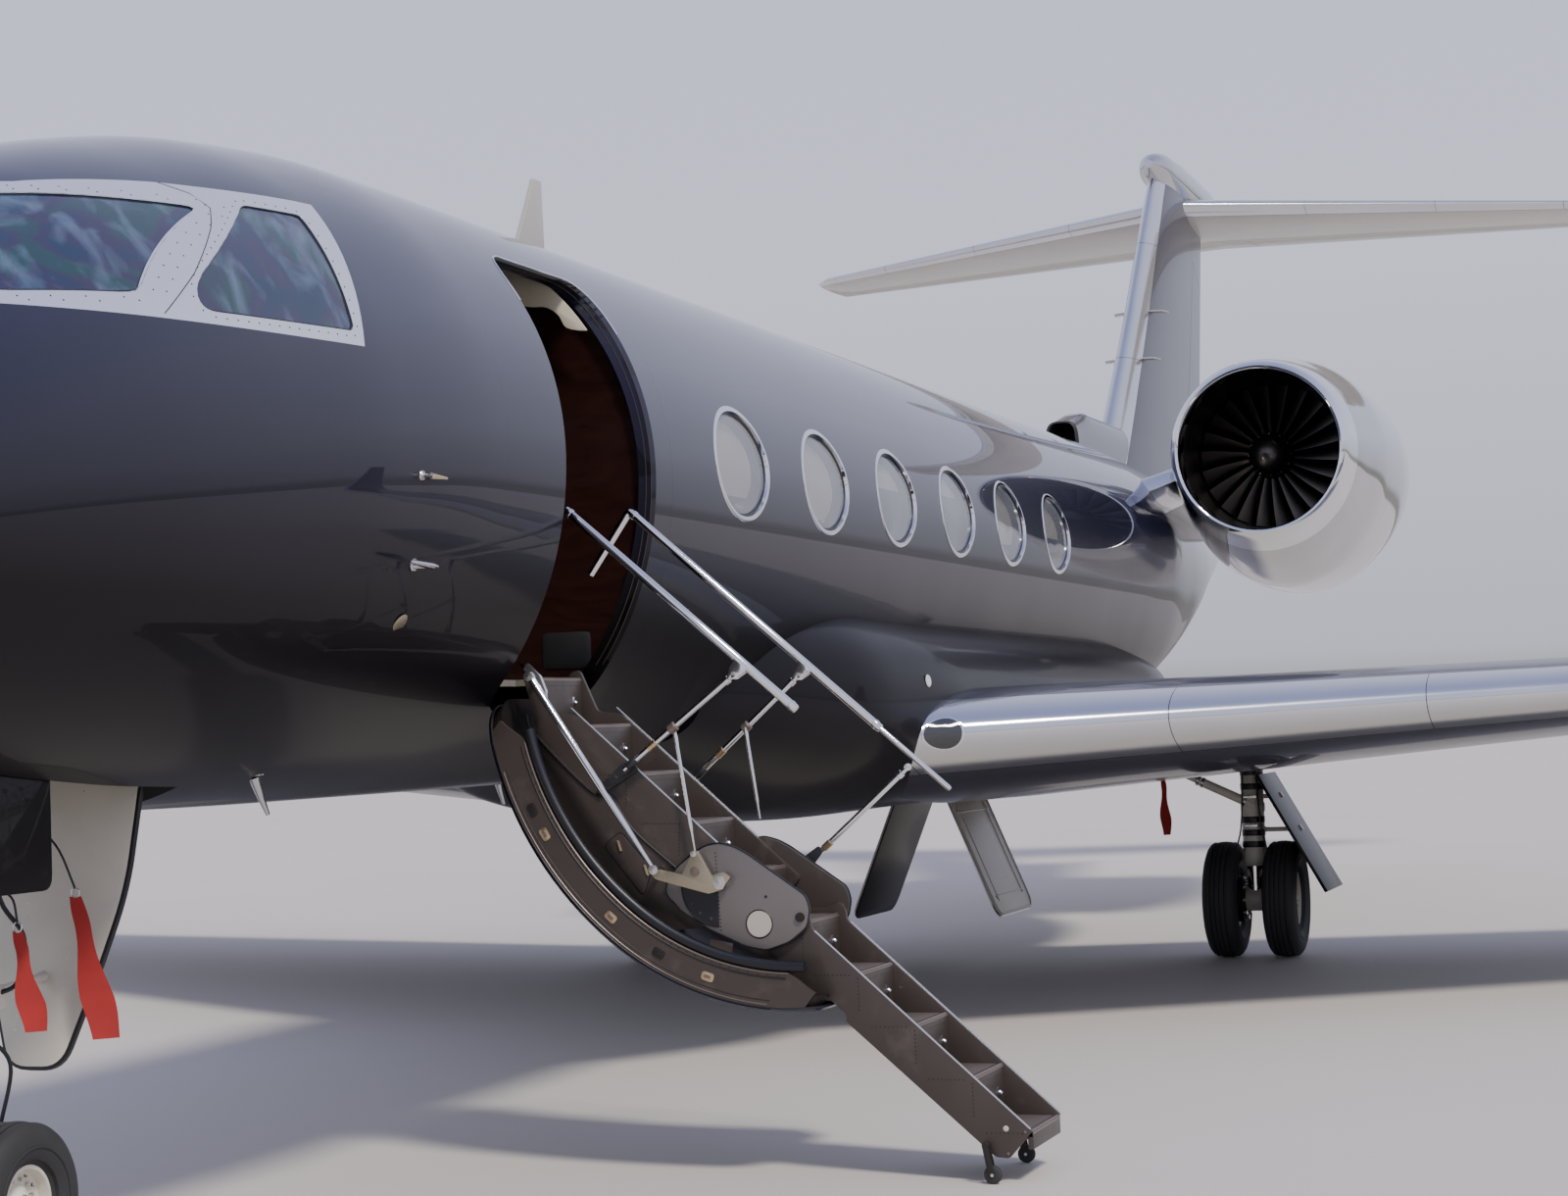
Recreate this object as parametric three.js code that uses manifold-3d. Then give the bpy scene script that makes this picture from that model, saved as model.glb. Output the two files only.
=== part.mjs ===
// Business jet, parked on its gear with the airstair down and the gear doors open.
// Millimetres. +X is the aircraft's left side (port), +Y points aft and +Z up. The origin is on the
// ground, under the middle of the length and of the span.
import * as THREE from "three";
import { mergeVertices } from "three/addons/utils/BufferGeometryUtils.js";
import Module from "manifold-3d";

const wasm = await Module();
wasm.setup();

// Driving dimensions

const M = 1000;                  // millimetres in a metre
const LENGTH = 26.92 * M;        // nose tip to the tailplane's trailing tips
const TOUCH = 0.4;               // gap between pieces that rest on each other
const CLEAR = 8;                 // gap round a piece that moves
const NOSE_CLEAR = 13;           // gap round the nose of a control surface
const WALL = 80;                 // cabin wall with its lining
const DOOR_WALL = 55;            // airstair door, skin to inner face
const BODY_SIDES = 28;           // points round a fuselage section

const CABIN_FLOOR = 1.93 * M;    // underside of the cabin's floor panel
const COCKPIT_FLOOR = 2.12 * M;
const FLOOR_THICK = 28;

const RADOME_END = 1.1;          // stations, metres aft of the nose tip
const BARREL_START = 5.95;
const BARREL_END = 15.0;
const TAIL_END = 24.7;

// A station in metres aft of the nose tip, as a place along Y.
const along = (station) => station * M - LENGTH / 2;

// Finishes

const FINISH = {
  navy: { color: 0x14182b, roughness: 0.18, metalness: 0.35 },
  polished: { color: 0xc9ccd2, roughness: 0.12, metalness: 1.0 },
  cream: { color: 0xd9d3c4, roughness: 0.45, metalness: 0.1 },
  glass: { color: 0x20304a, roughness: 0.05, metalness: 0.0 },
  paleGlass: { color: 0xc8ccc8, roughness: 0.08, metalness: 0.0 },
  stair: { color: 0x5b524c, roughness: 0.55, metalness: 0.3 },
  chrome: { color: 0xdcdfe2, roughness: 0.1, metalness: 1.0 },
  wood: { color: 0x3a1710, roughness: 0.3, metalness: 0.0 },
  carpet: { color: 0x6e665c, roughness: 0.9, metalness: 0.0 },
  leather: { color: 0xb9a88c, roughness: 0.6, metalness: 0.0 },
  rubber: { color: 0x141414, roughness: 0.8, metalness: 0.0 },
  fanBlade: { color: 0x3b3836, roughness: 0.35, metalness: 0.8 },
  castIron: { color: 0x5a5c5e, roughness: 0.7, metalness: 0.6 },
};

const jet = new THREE.Group();

// Solids: closed triangle meshes that can be joined and cut

function toSolid(geometry) {
  const bare = geometry.clone();
  for (const extra of Object.keys(bare.attributes)) {
    if (extra !== "position") bare.deleteAttribute(extra);
  }
  const merged = mergeVertices(bare, 1e-3);
  const at = merged.attributes.position.array;
  const corners = Array.from(merged.index.array);
  const faces = [];
  let volume = 0;
  for (let i = 0; i < corners.length; i += 3) {
    const [a, b, c] = corners.slice(i, i + 3);
    if (a === b || b === c || c === a) continue;
    faces.push(a, b, c);
    const [ax, ay, az] = at.slice(3 * a, 3 * a + 3);
    const [bx, by, bz] = at.slice(3 * b, 3 * b + 3);
    const [cx, cy, cz] = at.slice(3 * c, 3 * c + 3);
    volume += ax * (by * cz - bz * cy) + ay * (bz * cx - bx * cz) + az * (bx * cy - by * cx);
  }
  if (volume < 0) faces.reverse();
  return new wasm.Manifold(new wasm.Mesh({
    numProp: 3,
    vertProperties: Float32Array.from(at),
    triVerts: Uint32Array.from(faces),
  }));
}

function fromSolid(solid) {
  const { numProp, vertProperties, triVerts } = solid.getMesh();
  const positions = [];
  for (let i = 0; i < vertProperties.length; i += numProp) {
    positions.push(vertProperties[i], vertProperties[i + 1], vertProperties[i + 2]);
  }
  const geometry = new THREE.BufferGeometry();
  geometry.setAttribute("position", new THREE.Float32BufferAttribute(positions, 3));
  geometry.setIndex(Array.from(triVerts));
  geometry.computeVertexNormals();
  return geometry;
}

const join = (first, ...others) => others.reduce((sum, solid) => sum.add(solid), first);
const cut = (first, ...others) => others.reduce((rest, solid) => rest.subtract(solid), first);
const moved = (solid, matrix) => toSolid(fromSolid(solid).applyMatrix4(matrix));
const mirrored = (solid) => moved(solid, new THREE.Matrix4().makeScale(-1, 1, 1));

// The largest of the separate pieces that a cut leaves.
function largest(solid) {
  const pieces = solid.decompose();
  return pieces.reduce((best, piece) => (piece.volume() > best.volume() ? piece : best));
}

// Puts a finished piece in the model.
function place(name, solid, finish, parent = jet) {
  const mesh = new THREE.Mesh(fromSolid(solid), new THREE.MeshStandardMaterial(FINISH[finish]));
  mesh.name = name;
  parent.add(mesh);
  return mesh;
}

// A skin over rings with equal numbers of points, closed by a fan at each end. Its faces mirror
// each other across the centre line.
function loft(rings) {
  const count = rings[0].length;
  const positions = rings.flat(2);
  const faces = [];
  for (let r = 0; r + 1 < rings.length; r++) {
    for (let k = 0; k < count; k++) {
      const a = r * count + k;
      const b = r * count + ((k + 1) % count);
      const leftSide = rings[r][k][0] + rings[r][(k + 1) % count][0] >= 0;
      faces.push(...(leftSide
        ? [a, b, b + count, a, b + count, a + count]
        : [a, b, a + count, b, b + count, a + count]));
    }
  }
  for (const [ring, turn] of [[0, 1], [rings.length - 1, -1]]) {
    const middle = [0, 1, 2].map((axis) => rings[ring].reduce((sum, p) => sum + p[axis], 0) / count);
    const centre = positions.length / 3;
    positions.push(...middle);
    for (let k = 0; k < count; k++) {
      const a = ring * count + k;
      const b = ring * count + ((k + 1) % count);
      faces.push(...(turn > 0 ? [centre, b, a] : [centre, a, b]));
    }
  }
  const geometry = new THREE.BufferGeometry();
  geometry.setAttribute("position", new THREE.Float32BufferAttribute(positions, 3));
  geometry.setIndex(faces);
  return toSolid(geometry);
}

// An outline pushed along one axis. The outline's pairs are (Y, Z) for axis x, (X, Z) for y
// and (X, Y) for z.
function prism(axis, outline, from, to) {
  const shape = new THREE.Shape(outline.map(([u, v]) => new THREE.Vector2(u, v)));
  const geometry = new THREE.ExtrudeGeometry(shape, { depth: to - from, bevelEnabled: false });
  const [u, v, w] = {
    x: [[0, 1, 0], [0, 0, 1], [1, 0, 0]],
    y: [[1, 0, 0], [0, 0, 1], [0, 1, 0]],
    z: [[1, 0, 0], [0, 1, 0], [0, 0, 1]],
  }[axis].map((direction) => new THREE.Vector3(...direction));
  const turn = new THREE.Matrix4().makeBasis(u, v, w);
  turn.setPosition(w.clone().multiplyScalar(from));
  return toSolid(geometry.applyMatrix4(turn));
}

function block([x0, x1], [y0, y1], [z0, z1]) {
  const geometry = new THREE.BoxGeometry(x1 - x0, y1 - y0, z1 - z0);
  return toSolid(geometry.translate((x0 + x1) / 2, (y0 + y1) / 2, (z0 + z1) / 2));
}

// A round bar or cone between two points.
function rod(from, to, radius, endRadius = radius, sides = 12) {
  const start = new THREE.Vector3(...from);
  const end = new THREE.Vector3(...to);
  const geometry = new THREE.CylinderGeometry(endRadius, radius, start.distanceTo(end), sides);
  const turn = new THREE.Quaternion().setFromUnitVectors(
    new THREE.Vector3(0, 1, 0), end.clone().sub(start).normalize());
  geometry.applyQuaternion(turn);
  const middle = start.add(end).multiplyScalar(0.5);
  return toSolid(geometry.translate(middle.x, middle.y, middle.z));
}

// A turned piece. Its profile's pairs are radius and distance along the axis, which runs from
// the centre along X, Y or Z.
function turned(axis, profile, [x, y, z], sides) {
  const points = profile.map(([radius, reach]) => new THREE.Vector2(radius, reach));
  const geometry = new THREE.LatheGeometry(points, sides);
  if (axis === "x") geometry.rotateZ(-Math.PI / 2);
  if (axis === "z") geometry.rotateX(Math.PI / 2);
  return toSolid(geometry.translate(x, y, z));
}

// Rounds the corners of an outline with short straight steps.
function rounded(outline, radius, steps = 4) {
  const result = [];
  outline.forEach((corner, i) => {
    const here = new THREE.Vector2(...corner);
    const before = new THREE.Vector2(...outline[(i + outline.length - 1) % outline.length]);
    const after = new THREE.Vector2(...outline[(i + 1) % outline.length]);
    const start = before.sub(here).setLength(radius).add(here);
    const end = after.sub(here).setLength(radius).add(here);
    for (let k = 0; k <= steps; k++) {
      const t = k / steps;
      const u = (1 - t) * (1 - t) * start.x + 2 * t * (1 - t) * here.x + t * t * end.x;
      const v = (1 - t) * (1 - t) * start.y + 2 * t * (1 - t) * here.y + t * t * end.y;
      result.push([u, v]);
    }
  });
  return result;
}

function ellipse([u, v], halfWidth, halfHeight, sides = 12) {
  return Array.from({ length: sides }, (_, k) => {
    const angle = (2 * Math.PI * k) / sides;
    return [u + halfWidth * Math.cos(angle), v + halfHeight * Math.sin(angle)];
  });
}

// Fuselage

// Columns, in metres: station, half width, top, bottom, height of the widest level.
const BODY = [
  [0.0, 0.04, 2.34, 2.26, 2.3],
  [0.12, 0.21, 2.5, 2.11, 2.3],
  [0.35, 0.37, 2.64, 1.98, 2.31],
  [0.7, 0.53, 2.79, 1.85, 2.33],
  [1.1, 0.67, 2.92, 1.75, 2.36],
  [1.55, 0.8, 3.06, 1.66, 2.42],
  [2.0, 0.91, 3.37, 1.6, 2.5],
  [2.5, 1.01, 3.66, 1.55, 2.58],
  [3.0, 1.08, 3.82, 1.515, 2.66],
  [3.6, 1.145, 3.94, 1.5, 2.74],
  [4.3, 1.185, 4.0, 1.495, 2.8],
  [5.0, 1.195, 4.005, 1.495, 2.81],
  [15.5, 1.195, 4.005, 1.495, 2.81],
  [16.6, 1.175, 4.005, 1.57, 2.83],
  [18.0, 1.06, 3.99, 1.82, 2.91],
  [19.5, 0.88, 3.95, 2.16, 3.03],
  [21.5, 0.58, 3.84, 2.66, 3.22],
  [23.5, 0.28, 3.68, 3.13, 3.4],
  [24.7, 0.08, 3.53, 3.4, 3.47],
];

function between(table, key) {
  const after = Math.max(1, table.findIndex((row) => row[0] >= key));
  const [low, high] = [table[after - 1], table[after]];
  const t = (key - low[0]) / (high[0] - low[0]);
  return low.map((value, i) => value + t * (high[i] - value));
}

function bodyRing([station, half, top, bottom, waist], inset) {
  return Array.from({ length: BODY_SIDES }, (_, k) => {
    const angle = (2 * Math.PI * k) / BODY_SIDES;
    const rise = Math.sin(angle) >= 0 ? top - waist : waist - bottom;
    return [
      (half * M - inset) * Math.cos(angle),
      along(station),
      waist * M + (rise * M - inset) * Math.sin(angle),
    ];
  });
}

function bodyPiece(from, to, inset = 0) {
  const inner = BODY.filter(([station]) => station > from + 0.01 && station < to - 0.01);
  const rows = [between(BODY, from), ...inner, between(BODY, to)];
  return loft(rows.map((row) => bodyRing(row, inset)));
}

const SEAM = TOUCH / M;
const halfSpaceAbove = (z, from, to) => block([-2 * M, 2 * M], [along(from), along(to)], [z, 6 * M]);

// Airstair doorway: an outline on the port wall, Y and Z.
const DOORWAY = { front: 4.85, rear: 5.765, sill: 1.82, top: 3.635, corner: 0.14 };

function doorwayOutline(inset) {
  const y0 = along(DOORWAY.front) + inset;
  const y1 = along(DOORWAY.rear) - inset;
  const z0 = DOORWAY.sill * M + inset;
  const z1 = DOORWAY.top * M - inset;
  return rounded([[y0, z0], [y1, z0], [y1, z1], [y0, z1]], DOORWAY.corner * M - inset);
}

// Cockpit windows. The frame's outline and the side panes are seen from the side (station,
// height), the front panes from ahead (distance off the centre line, height). Metres.
const WINDOW_BAND_SIDE = [[1.2, 3.05], [3.45, 3.075], [3.65, 3.64], [1.2, 3.64]];
const WINDOW_BAND_FRONT = [
  [-1.3, 3.05], [1.3, 3.05], [1.3, 3.64], [0.76, 3.63], [0.6, 3.6], [0.4, 3.535], [0, 3.5],
  [-0.4, 3.535], [-0.6, 3.6], [-0.76, 3.63], [-1.3, 3.64],
];
const FRONT_PANE = [[0.035, 3.105], [0.66, 3.105], [0.84, 3.14], [0.725, 3.515], [0.42, 3.48], [0.035, 3.455]];
const SIDE_PANE = [[2.67, 3.11], [3.42, 3.125], [3.5, 3.565], [3.22, 3.56], [2.69, 3.2]];
const FRAME_THICK = 45;
const PANE_INSET = 10;
const PANE_THICK = 22;

const metres = (outline) => outline.map(([u, v]) => [u * M, v * M]);
const sideView = (outline) => outline.map(([station, z]) => [along(station), z * M]);

function shrunk(outline, margin) {
  const u0 = outline.reduce((sum, [u]) => sum + u, 0) / outline.length;
  const v0 = outline.reduce((sum, [, v]) => sum + v, 0) / outline.length;
  return outline.map(([u, v]) => {
    const reach = Math.hypot(u - u0, v - v0);
    const scale = (reach - margin) / reach;
    return [u0 + (u - u0) * scale, v0 + (v - v0) * scale];
  });
}

function windowBand(margin) {
  const side = prism("x", sideView(WINDOW_BAND_SIDE).map(([y, z]) => [y, z]), -1.4 * M, 1.4 * M);
  const front = prism("y", metres(WINDOW_BAND_FRONT), along(1.1), along(3.9));
  const band = side.intersect(front);
  if (margin === 0) return band;
  const box = band.boundingBox();
  const centre = [0, 1, 2].map((i) => (box.min[i] + box.max[i]) / 2);
  const scale = [0, 1, 2].map((i) => 1 - (2 * margin) / (box.max[i] - box.min[i]));
  const shrink = new THREE.Matrix4()
    .makeTranslation(...centre)
    .multiply(new THREE.Matrix4().makeScale(...scale))
    .multiply(new THREE.Matrix4().makeTranslation(...centre.map((c) => -c)));
  return moved(band, shrink);
}

// The openings of the port cockpit panes, or the panes' own edges with a margin.
function cockpitOpenings(margin) {
  const front = prism("y", shrunk(metres(FRONT_PANE), margin), along(1.3), along(3.05));
  const side = prism("x", shrunk(sideView(SIDE_PANE), margin), 0.5 * M, 1.4 * M);
  return front.add(side);
}

// Cabin windows: oval, six a side.
const CABIN_WINDOWS = { first: 6.832, pitch: 1.184, count: 6, height: 2.93, halfWidth: 330, halfHeight: 245 };

function cabinOpenings(margin) {
  const { first, pitch, count, height, halfWidth, halfHeight } = CABIN_WINDOWS;
  const ovals = Array.from({ length: count }, (_, k) =>
    prism("x", ellipse([along(first + k * pitch), height * M], halfWidth - margin, halfHeight - margin),
      0.9 * M, 1.4 * M));
  return join(...ovals);
}

// Blade antenna on the roof: station and height, metres.
const ROOF_ANTENNA = [[6.93, 3.97], [7.3, 3.97], [7.3, 4.12], [7.285, 4.44], [7.2, 4.44], [7.12, 4.3]];
const ANTENNA_HALF = 14;

// Nose gear bay and the two main wheel wells
const NOSE_BAY = { half: 400, from: 1.68, to: 3.28, top: 2.05 };
const WHEEL_WELL = { inner: 160, outer: 1120, from: 13.28, to: 14.27, top: 1.8 };

function buildFuselage() {
  place("radome", bodyPiece(0, RADOME_END - SEAM), "navy");

  const cockpitRoom = bodyPiece(1.6, 4.25, WALL).intersect(halfSpaceAbove(COCKPIT_FLOOR, 1.5, 4.25));
  const vestibule = bodyPiece(4.15, BARREL_START, WALL)
    .intersect(halfSpaceAbove(CABIN_FLOOR, 4.15, BARREL_START));
  const doorway = prism("x", doorwayOutline(0), 0.72 * M, 1.4 * M);
  const noseBay = block([-NOSE_BAY.half, NOSE_BAY.half], [along(NOSE_BAY.from), along(NOSE_BAY.to)],
    [1 * M, NOSE_BAY.top * M]);
  const sillRecess = block([0.52 * M, 1.3 * M], [along(DOORWAY.front), along(DOORWAY.rear)],
    [1.812 * M, 1.99 * M]);
  const headRecess = block([0.6 * M, 0.8 * M], [along(STAIR.front - 0.03), along(STAIR.rear + 0.03)],
    [3.5 * M, 3.675 * M]);
  const forward = cut(bodyPiece(RADOME_END, BARREL_START - SEAM), cockpitRoom, vestibule, doorway,
    noseBay, sillRecess, headRecess, windowBand(0));
  place("forward_fuselage", largest(forward), "navy");

  const skin = cut(bodyPiece(1.2, 4.2), bodyPiece(1.25, 4.25, FRAME_THICK));
  const frame = cut(skin.intersect(windowBand(TOUCH)), cockpitOpenings(0), mirrored(cockpitOpenings(0)));
  place("windshield_frame", largest(frame), "polished");

  const paneSkin = cut(bodyPiece(1.2, 4.2, PANE_INSET), bodyPiece(1.25, 4.25, PANE_INSET + PANE_THICK));
  const backing = cut(bodyPiece(1.3, 4.2, FRAME_THICK + TOUCH), bodyPiece(1.35, 4.25, FRAME_THICK + 12));
  const reach = block([40, 1.3 * M], [along(1.4), along(3.44)], [3.14 * M, 3.3 * M]);
  const plug = cut(bodyPiece(1.2, 4.2, PANE_INSET), bodyPiece(1.25, 4.25, FRAME_THICK + 12));
  const panes = join(
    paneSkin.intersect(cockpitOpenings(3)),
    plug.intersect(cockpitOpenings(3)).intersect(reach),
    backing.intersect(reach),
  );
  place("cockpit_glass_port", largest(panes), "glass");
  place("cockpit_glass_starboard", mirrored(largest(panes)), "glass");

  const cabin = bodyPiece(BARREL_START - 0.1, BARREL_END - 0.15, WALL)
    .intersect(halfSpaceAbove(CABIN_FLOOR, BARREL_START - 0.1, BARREL_END));
  const openings = cabinOpenings(0);
  const barrel = cut(bodyPiece(BARREL_START, BARREL_END - SEAM), cabin, openings, mirrored(openings));
  const antenna = prism("x", sideView(ROOF_ANTENNA), -ANTENNA_HALF, ANTENNA_HALF);
  place("cabin_barrel", largest(barrel.add(antenna)), "navy");

  const { first, pitch, count, height } = CABIN_WINDOWS;
  const liner = cut(bodyPiece(6, 14.5, WALL + TOUCH), bodyPiece(5.9, 14.6, WALL + 6));
  const strip = block([0.9 * M, 1.3 * M],
    [along(first - 0.45), along(first + (count - 1) * pitch + 0.45)],
    [(height - 0.34) * M, (height + 0.34) * M]);
  const plugs = cut(bodyPiece(6, 14.5, PANE_INSET), bodyPiece(5.9, 14.6, WALL + 6)).intersect(cabinOpenings(2));
  const windows = liner.intersect(strip).add(plugs);
  place("cabin_windows_port", largest(windows), "paleGlass");
  place("cabin_windows_starboard", mirrored(largest(windows)), "paleGlass");

  place("aft_fuselage", bodyPiece(BARREL_END, TAIL_END), "navy");
}

// Wing fairing under the cabin. Columns, in metres: station, half width, top, bottom, waist.
const FAIRING = [
  [7.2, 0.8, 2.3, 1.6, 1.9],
  [7.8, 1.12, 2.42, 1.42, 1.86],
  [8.5, 1.34, 2.45, 1.26, 1.8],
  [9.6, 1.42, 2.4, 1.19, 1.78],
  [14.6, 1.42, 2.35, 1.19, 1.76],
  [15.5, 1.32, 2.3, 1.25, 1.8],
  [16.3, 1.12, 2.25, 1.4, 1.86],
  [17.0, 0.8, 2.2, 1.62, 1.9],
];
const FAIRING_POWER = 2.6;

function fairingLoft(grow = 0) {
  return loft(FAIRING.map(([station, half, top, bottom, waist]) =>
    Array.from({ length: BODY_SIDES }, (_, k) => {
      const angle = (2 * Math.PI * k) / BODY_SIDES;
      const [c, s] = [Math.cos(angle), Math.sin(angle)];
      const rise = s >= 0 ? top - waist : waist - bottom;
      const squared = (value) => Math.sign(value) * Math.abs(value) ** (2 / FAIRING_POWER);
      return [(half * M + grow) * squared(c), along(station), waist * M + (rise * M + grow) * squared(s)];
    })));
}

function buildFairing() {
  const well = block([WHEEL_WELL.inner, WHEEL_WELL.outer],
    [along(WHEEL_WELL.from), along(WHEEL_WELL.to)], [1 * M, WHEEL_WELL.top * M]);
  const fairing = cut(fairingLoft(), bodyPiece(6.5, 18, -TOUCH), well, mirrored(well));
  place("wing_fairing", largest(fairing), "navy");
}

// Wings and tail surfaces

// Half thickness of a wing section at a share of its chord, as a share of the chord.
function halfThickness(share, ratio) {
  const t = share;
  return 5 * ratio * (0.2969 * Math.sqrt(t) - 0.126 * t - 0.3516 * t ** 2 + 0.2843 * t ** 3 - 0.1036 * t ** 4);
}

const CHORD_SHARES = [0, 0.012, 0.05, 0.15, 0.35, 0.6, 0.8, 1];
const EDGE_HALF = 4;             // half thickness of a trailing edge

// Points round a wing section: distance aft of its leading edge and height off its chord.
function sectionPoints(chord, ratio, grow) {
  const upper = CHORD_SHARES.map((share) =>
    [share * chord, halfThickness(share, ratio) * chord + EDGE_HALF * share + grow]);
  const lower = upper.slice(1).map(([aft, high]) => [aft, -high]);
  upper[0] = [-grow, 0];
  return [...upper.slice().reverse(), ...lower];
}

// Columns: distance off the centre line, leading edge station, height at the middle of the
// chord and chord, in metres; thickness ratio; twist and lean of the section, in degrees.
const SWEEP = 0.6155;
const WING = [
  [0.75, 8.03 + SWEEP * 0.75, 1.53, 5.67, 0.115, 2.5, 3],
  [1.4, 8.03 + SWEEP * 1.4, 1.55, 5.43, 0.115, 2.5, 3],
  [4.4, 8.03 + SWEEP * 4.4, 1.71, 4.35, 0.105, 1.5, 3],
  [10.9, 8.03 + SWEEP * 10.9, 2.06, 2.0, 0.095, 0, 4],
  [11.35, 14.98, 2.12, 1.85, 0.09, 0, 25],
  [11.62, 15.3, 2.34, 1.5, 0.085, 0, 60],
  [11.86, 16.2, 3.38, 0.75, 0.08, 0, 76],
];

function wingLoft(grow = 0) {
  return loft(WING.map(([x, lead, z, chord, ratio, twist, lean]) => {
    const [tilt, cant] = [THREE.MathUtils.degToRad(twist), THREE.MathUtils.degToRad(lean)];
    return sectionPoints(chord * M, ratio, grow).map(([aft, high]) => [
      x * M - high * Math.sin(cant),
      along(lead) + aft * Math.cos(tilt),
      z * M + high * Math.cos(cant) - (aft - 0.4 * chord * M) * Math.sin(tilt),
    ]);
  }));
}

// A point on the wing's chord plane at a distance off the centre line and a share of the chord.
function wingPoint(x, share) {
  const [, lead, z, chord, , twist] = between(WING, x);
  const drop = (share - 0.4) * chord * Math.sin(THREE.MathUtils.degToRad(twist));
  return new THREE.Vector3(x * M, along(lead + share * chord), (z - drop) * M);
}

// Splits a control surface off its parent along a hinge line. `rear` points aft.
function splitSurface(parent, [start, end], rear, reach, [startRadius, endRadius]) {
  const axis = end.clone().sub(start).normalize();
  const up = new THREE.Vector3().crossVectors(axis, rear).normalize();
  const back = new THREE.Vector3().crossVectors(up, axis).normalize();
  const span = start.distanceTo(end);
  const slab = (margin) => {
    const geometry = new THREE.BoxGeometry(span + 2 * margin, reach, 2 * M);
    geometry.translate(span / 2, reach / 2, 0);
    geometry.applyMatrix4(new THREE.Matrix4().makeBasis(axis, back, up).setPosition(start));
    return toSolid(geometry);
  };
  const nose = (margin) => {
    const low = start.clone().addScaledVector(axis, -margin);
    const high = end.clone().addScaledVector(axis, margin);
    return rod(low.toArray(), high.toArray(), startRadius + margin, endRadius + margin, 20);
  };
  return {
    surface: largest(parent.intersect(slab(0).add(nose(0)))),
    rest: largest(cut(parent, slab(CLEAR), nose(NOSE_CLEAR))),
  };
}

const WING_ROOT = 1.2 * M;
const AILERON = { inner: 7.7, outer: 10.55, share: 0.75 };

function buildWings() {
  const outboard = block([WING_ROOT, 12 * M], [along(7), along(18)], [0, 4 * M]);
  const whole = cut(wingLoft().intersect(outboard), fairingLoft(TOUCH), bodyPiece(7, 18, -TOUCH));
  const points = [AILERON.inner, AILERON.outer].map((x) => wingPoint(x, AILERON.share));
  const radii = [AILERON.inner, AILERON.outer].map((x) => {
    const [, , , chord, ratio] = between(WING, x);
    return halfThickness(AILERON.share, ratio) * chord * M + EDGE_HALF * 0.7;
  });
  const { surface, rest } = splitSurface(largest(whole), points, new THREE.Vector3(0, 1, 0), 1.2 * M, radii);
  place("port_wing", rest, "navy");
  place("port_aileron", surface, "navy");
  place("starboard_wing", mirrored(rest), "navy");
  place("starboard_aileron", mirrored(surface), "navy");
}

// Fin. Columns, in metres: height, leading edge station, trailing edge station, thickness ratio.
const FIN = [
  [3.8, 19.0, 23.8, 0.085],
  [4.43, 19.67, 23.95, 0.085],
  [5.45, 20.65, 24.21, 0.085],
  [6.9, 21.91, 24.58, 0.09],
  [7.25, 22.25, 24.67, 0.09],
];
const RUDDER = { low: 4.35, high: 6.5, share: 0.74 };
// Fairing on top of the fin. Columns, in metres: station, radius.
const BULLET = [[21.98, 0.04], [22.1, 0.12], [22.4, 0.18], [23.2, 0.2], [24.4, 0.19], [25.1, 0.12], [25.4, 0.03]];
const BULLET_HEIGHT = 7.24;
const SCOOP = { from: 17.85, to: 20.2, half: 0.15, top: 4.36, mouth: 0.1 };

// Tailplane, from tip to tip. Columns as for the fin, along the span.
const TAILPLANE_HEIGHT = 7.0;
const TAILPLANE_HALF = [
  [0, 23.04, 26.01, 0.09],
  [4.7, 25.62, 26.89, 0.09],
  [4.875, 25.86, 26.92, 0.05],
];
const ELEVATOR = { inner: 0.42, outer: 4.55, share: 0.68 };

function finRing([z, lead, trail, ratio], grow = 0) {
  return sectionPoints((trail - lead) * M, ratio, grow)
    .map(([aft, side]) => [side, along(lead) + aft, z * M]);
}

function tailRing([x, lead, trail, ratio], side, grow) {
  return sectionPoints((trail - lead) * M, ratio, grow)
    .map(([aft, high]) => [side * x * M, along(lead) + aft, TAILPLANE_HEIGHT * M + high]);
}

function tailplaneLoft(grow = 0) {
  const port = TAILPLANE_HALF.map((row) => tailRing(row, 1, grow));
  const starboard = TAILPLANE_HALF.slice(1).reverse().map((row) => tailRing(row, -1, grow));
  return loft([...starboard, ...port]);
}

function hingeOn(table, low, high, share, point) {
  const rows = [low, high].map((key) => between(table, key));
  return {
    points: rows.map(([key, lead, trail]) => point(key, along(lead + share * (trail - lead)))),
    radii: rows.map(([, lead, trail, ratio]) =>
      halfThickness(share, ratio) * (trail - lead) * M + EDGE_HALF * share),
  };
}

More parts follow.
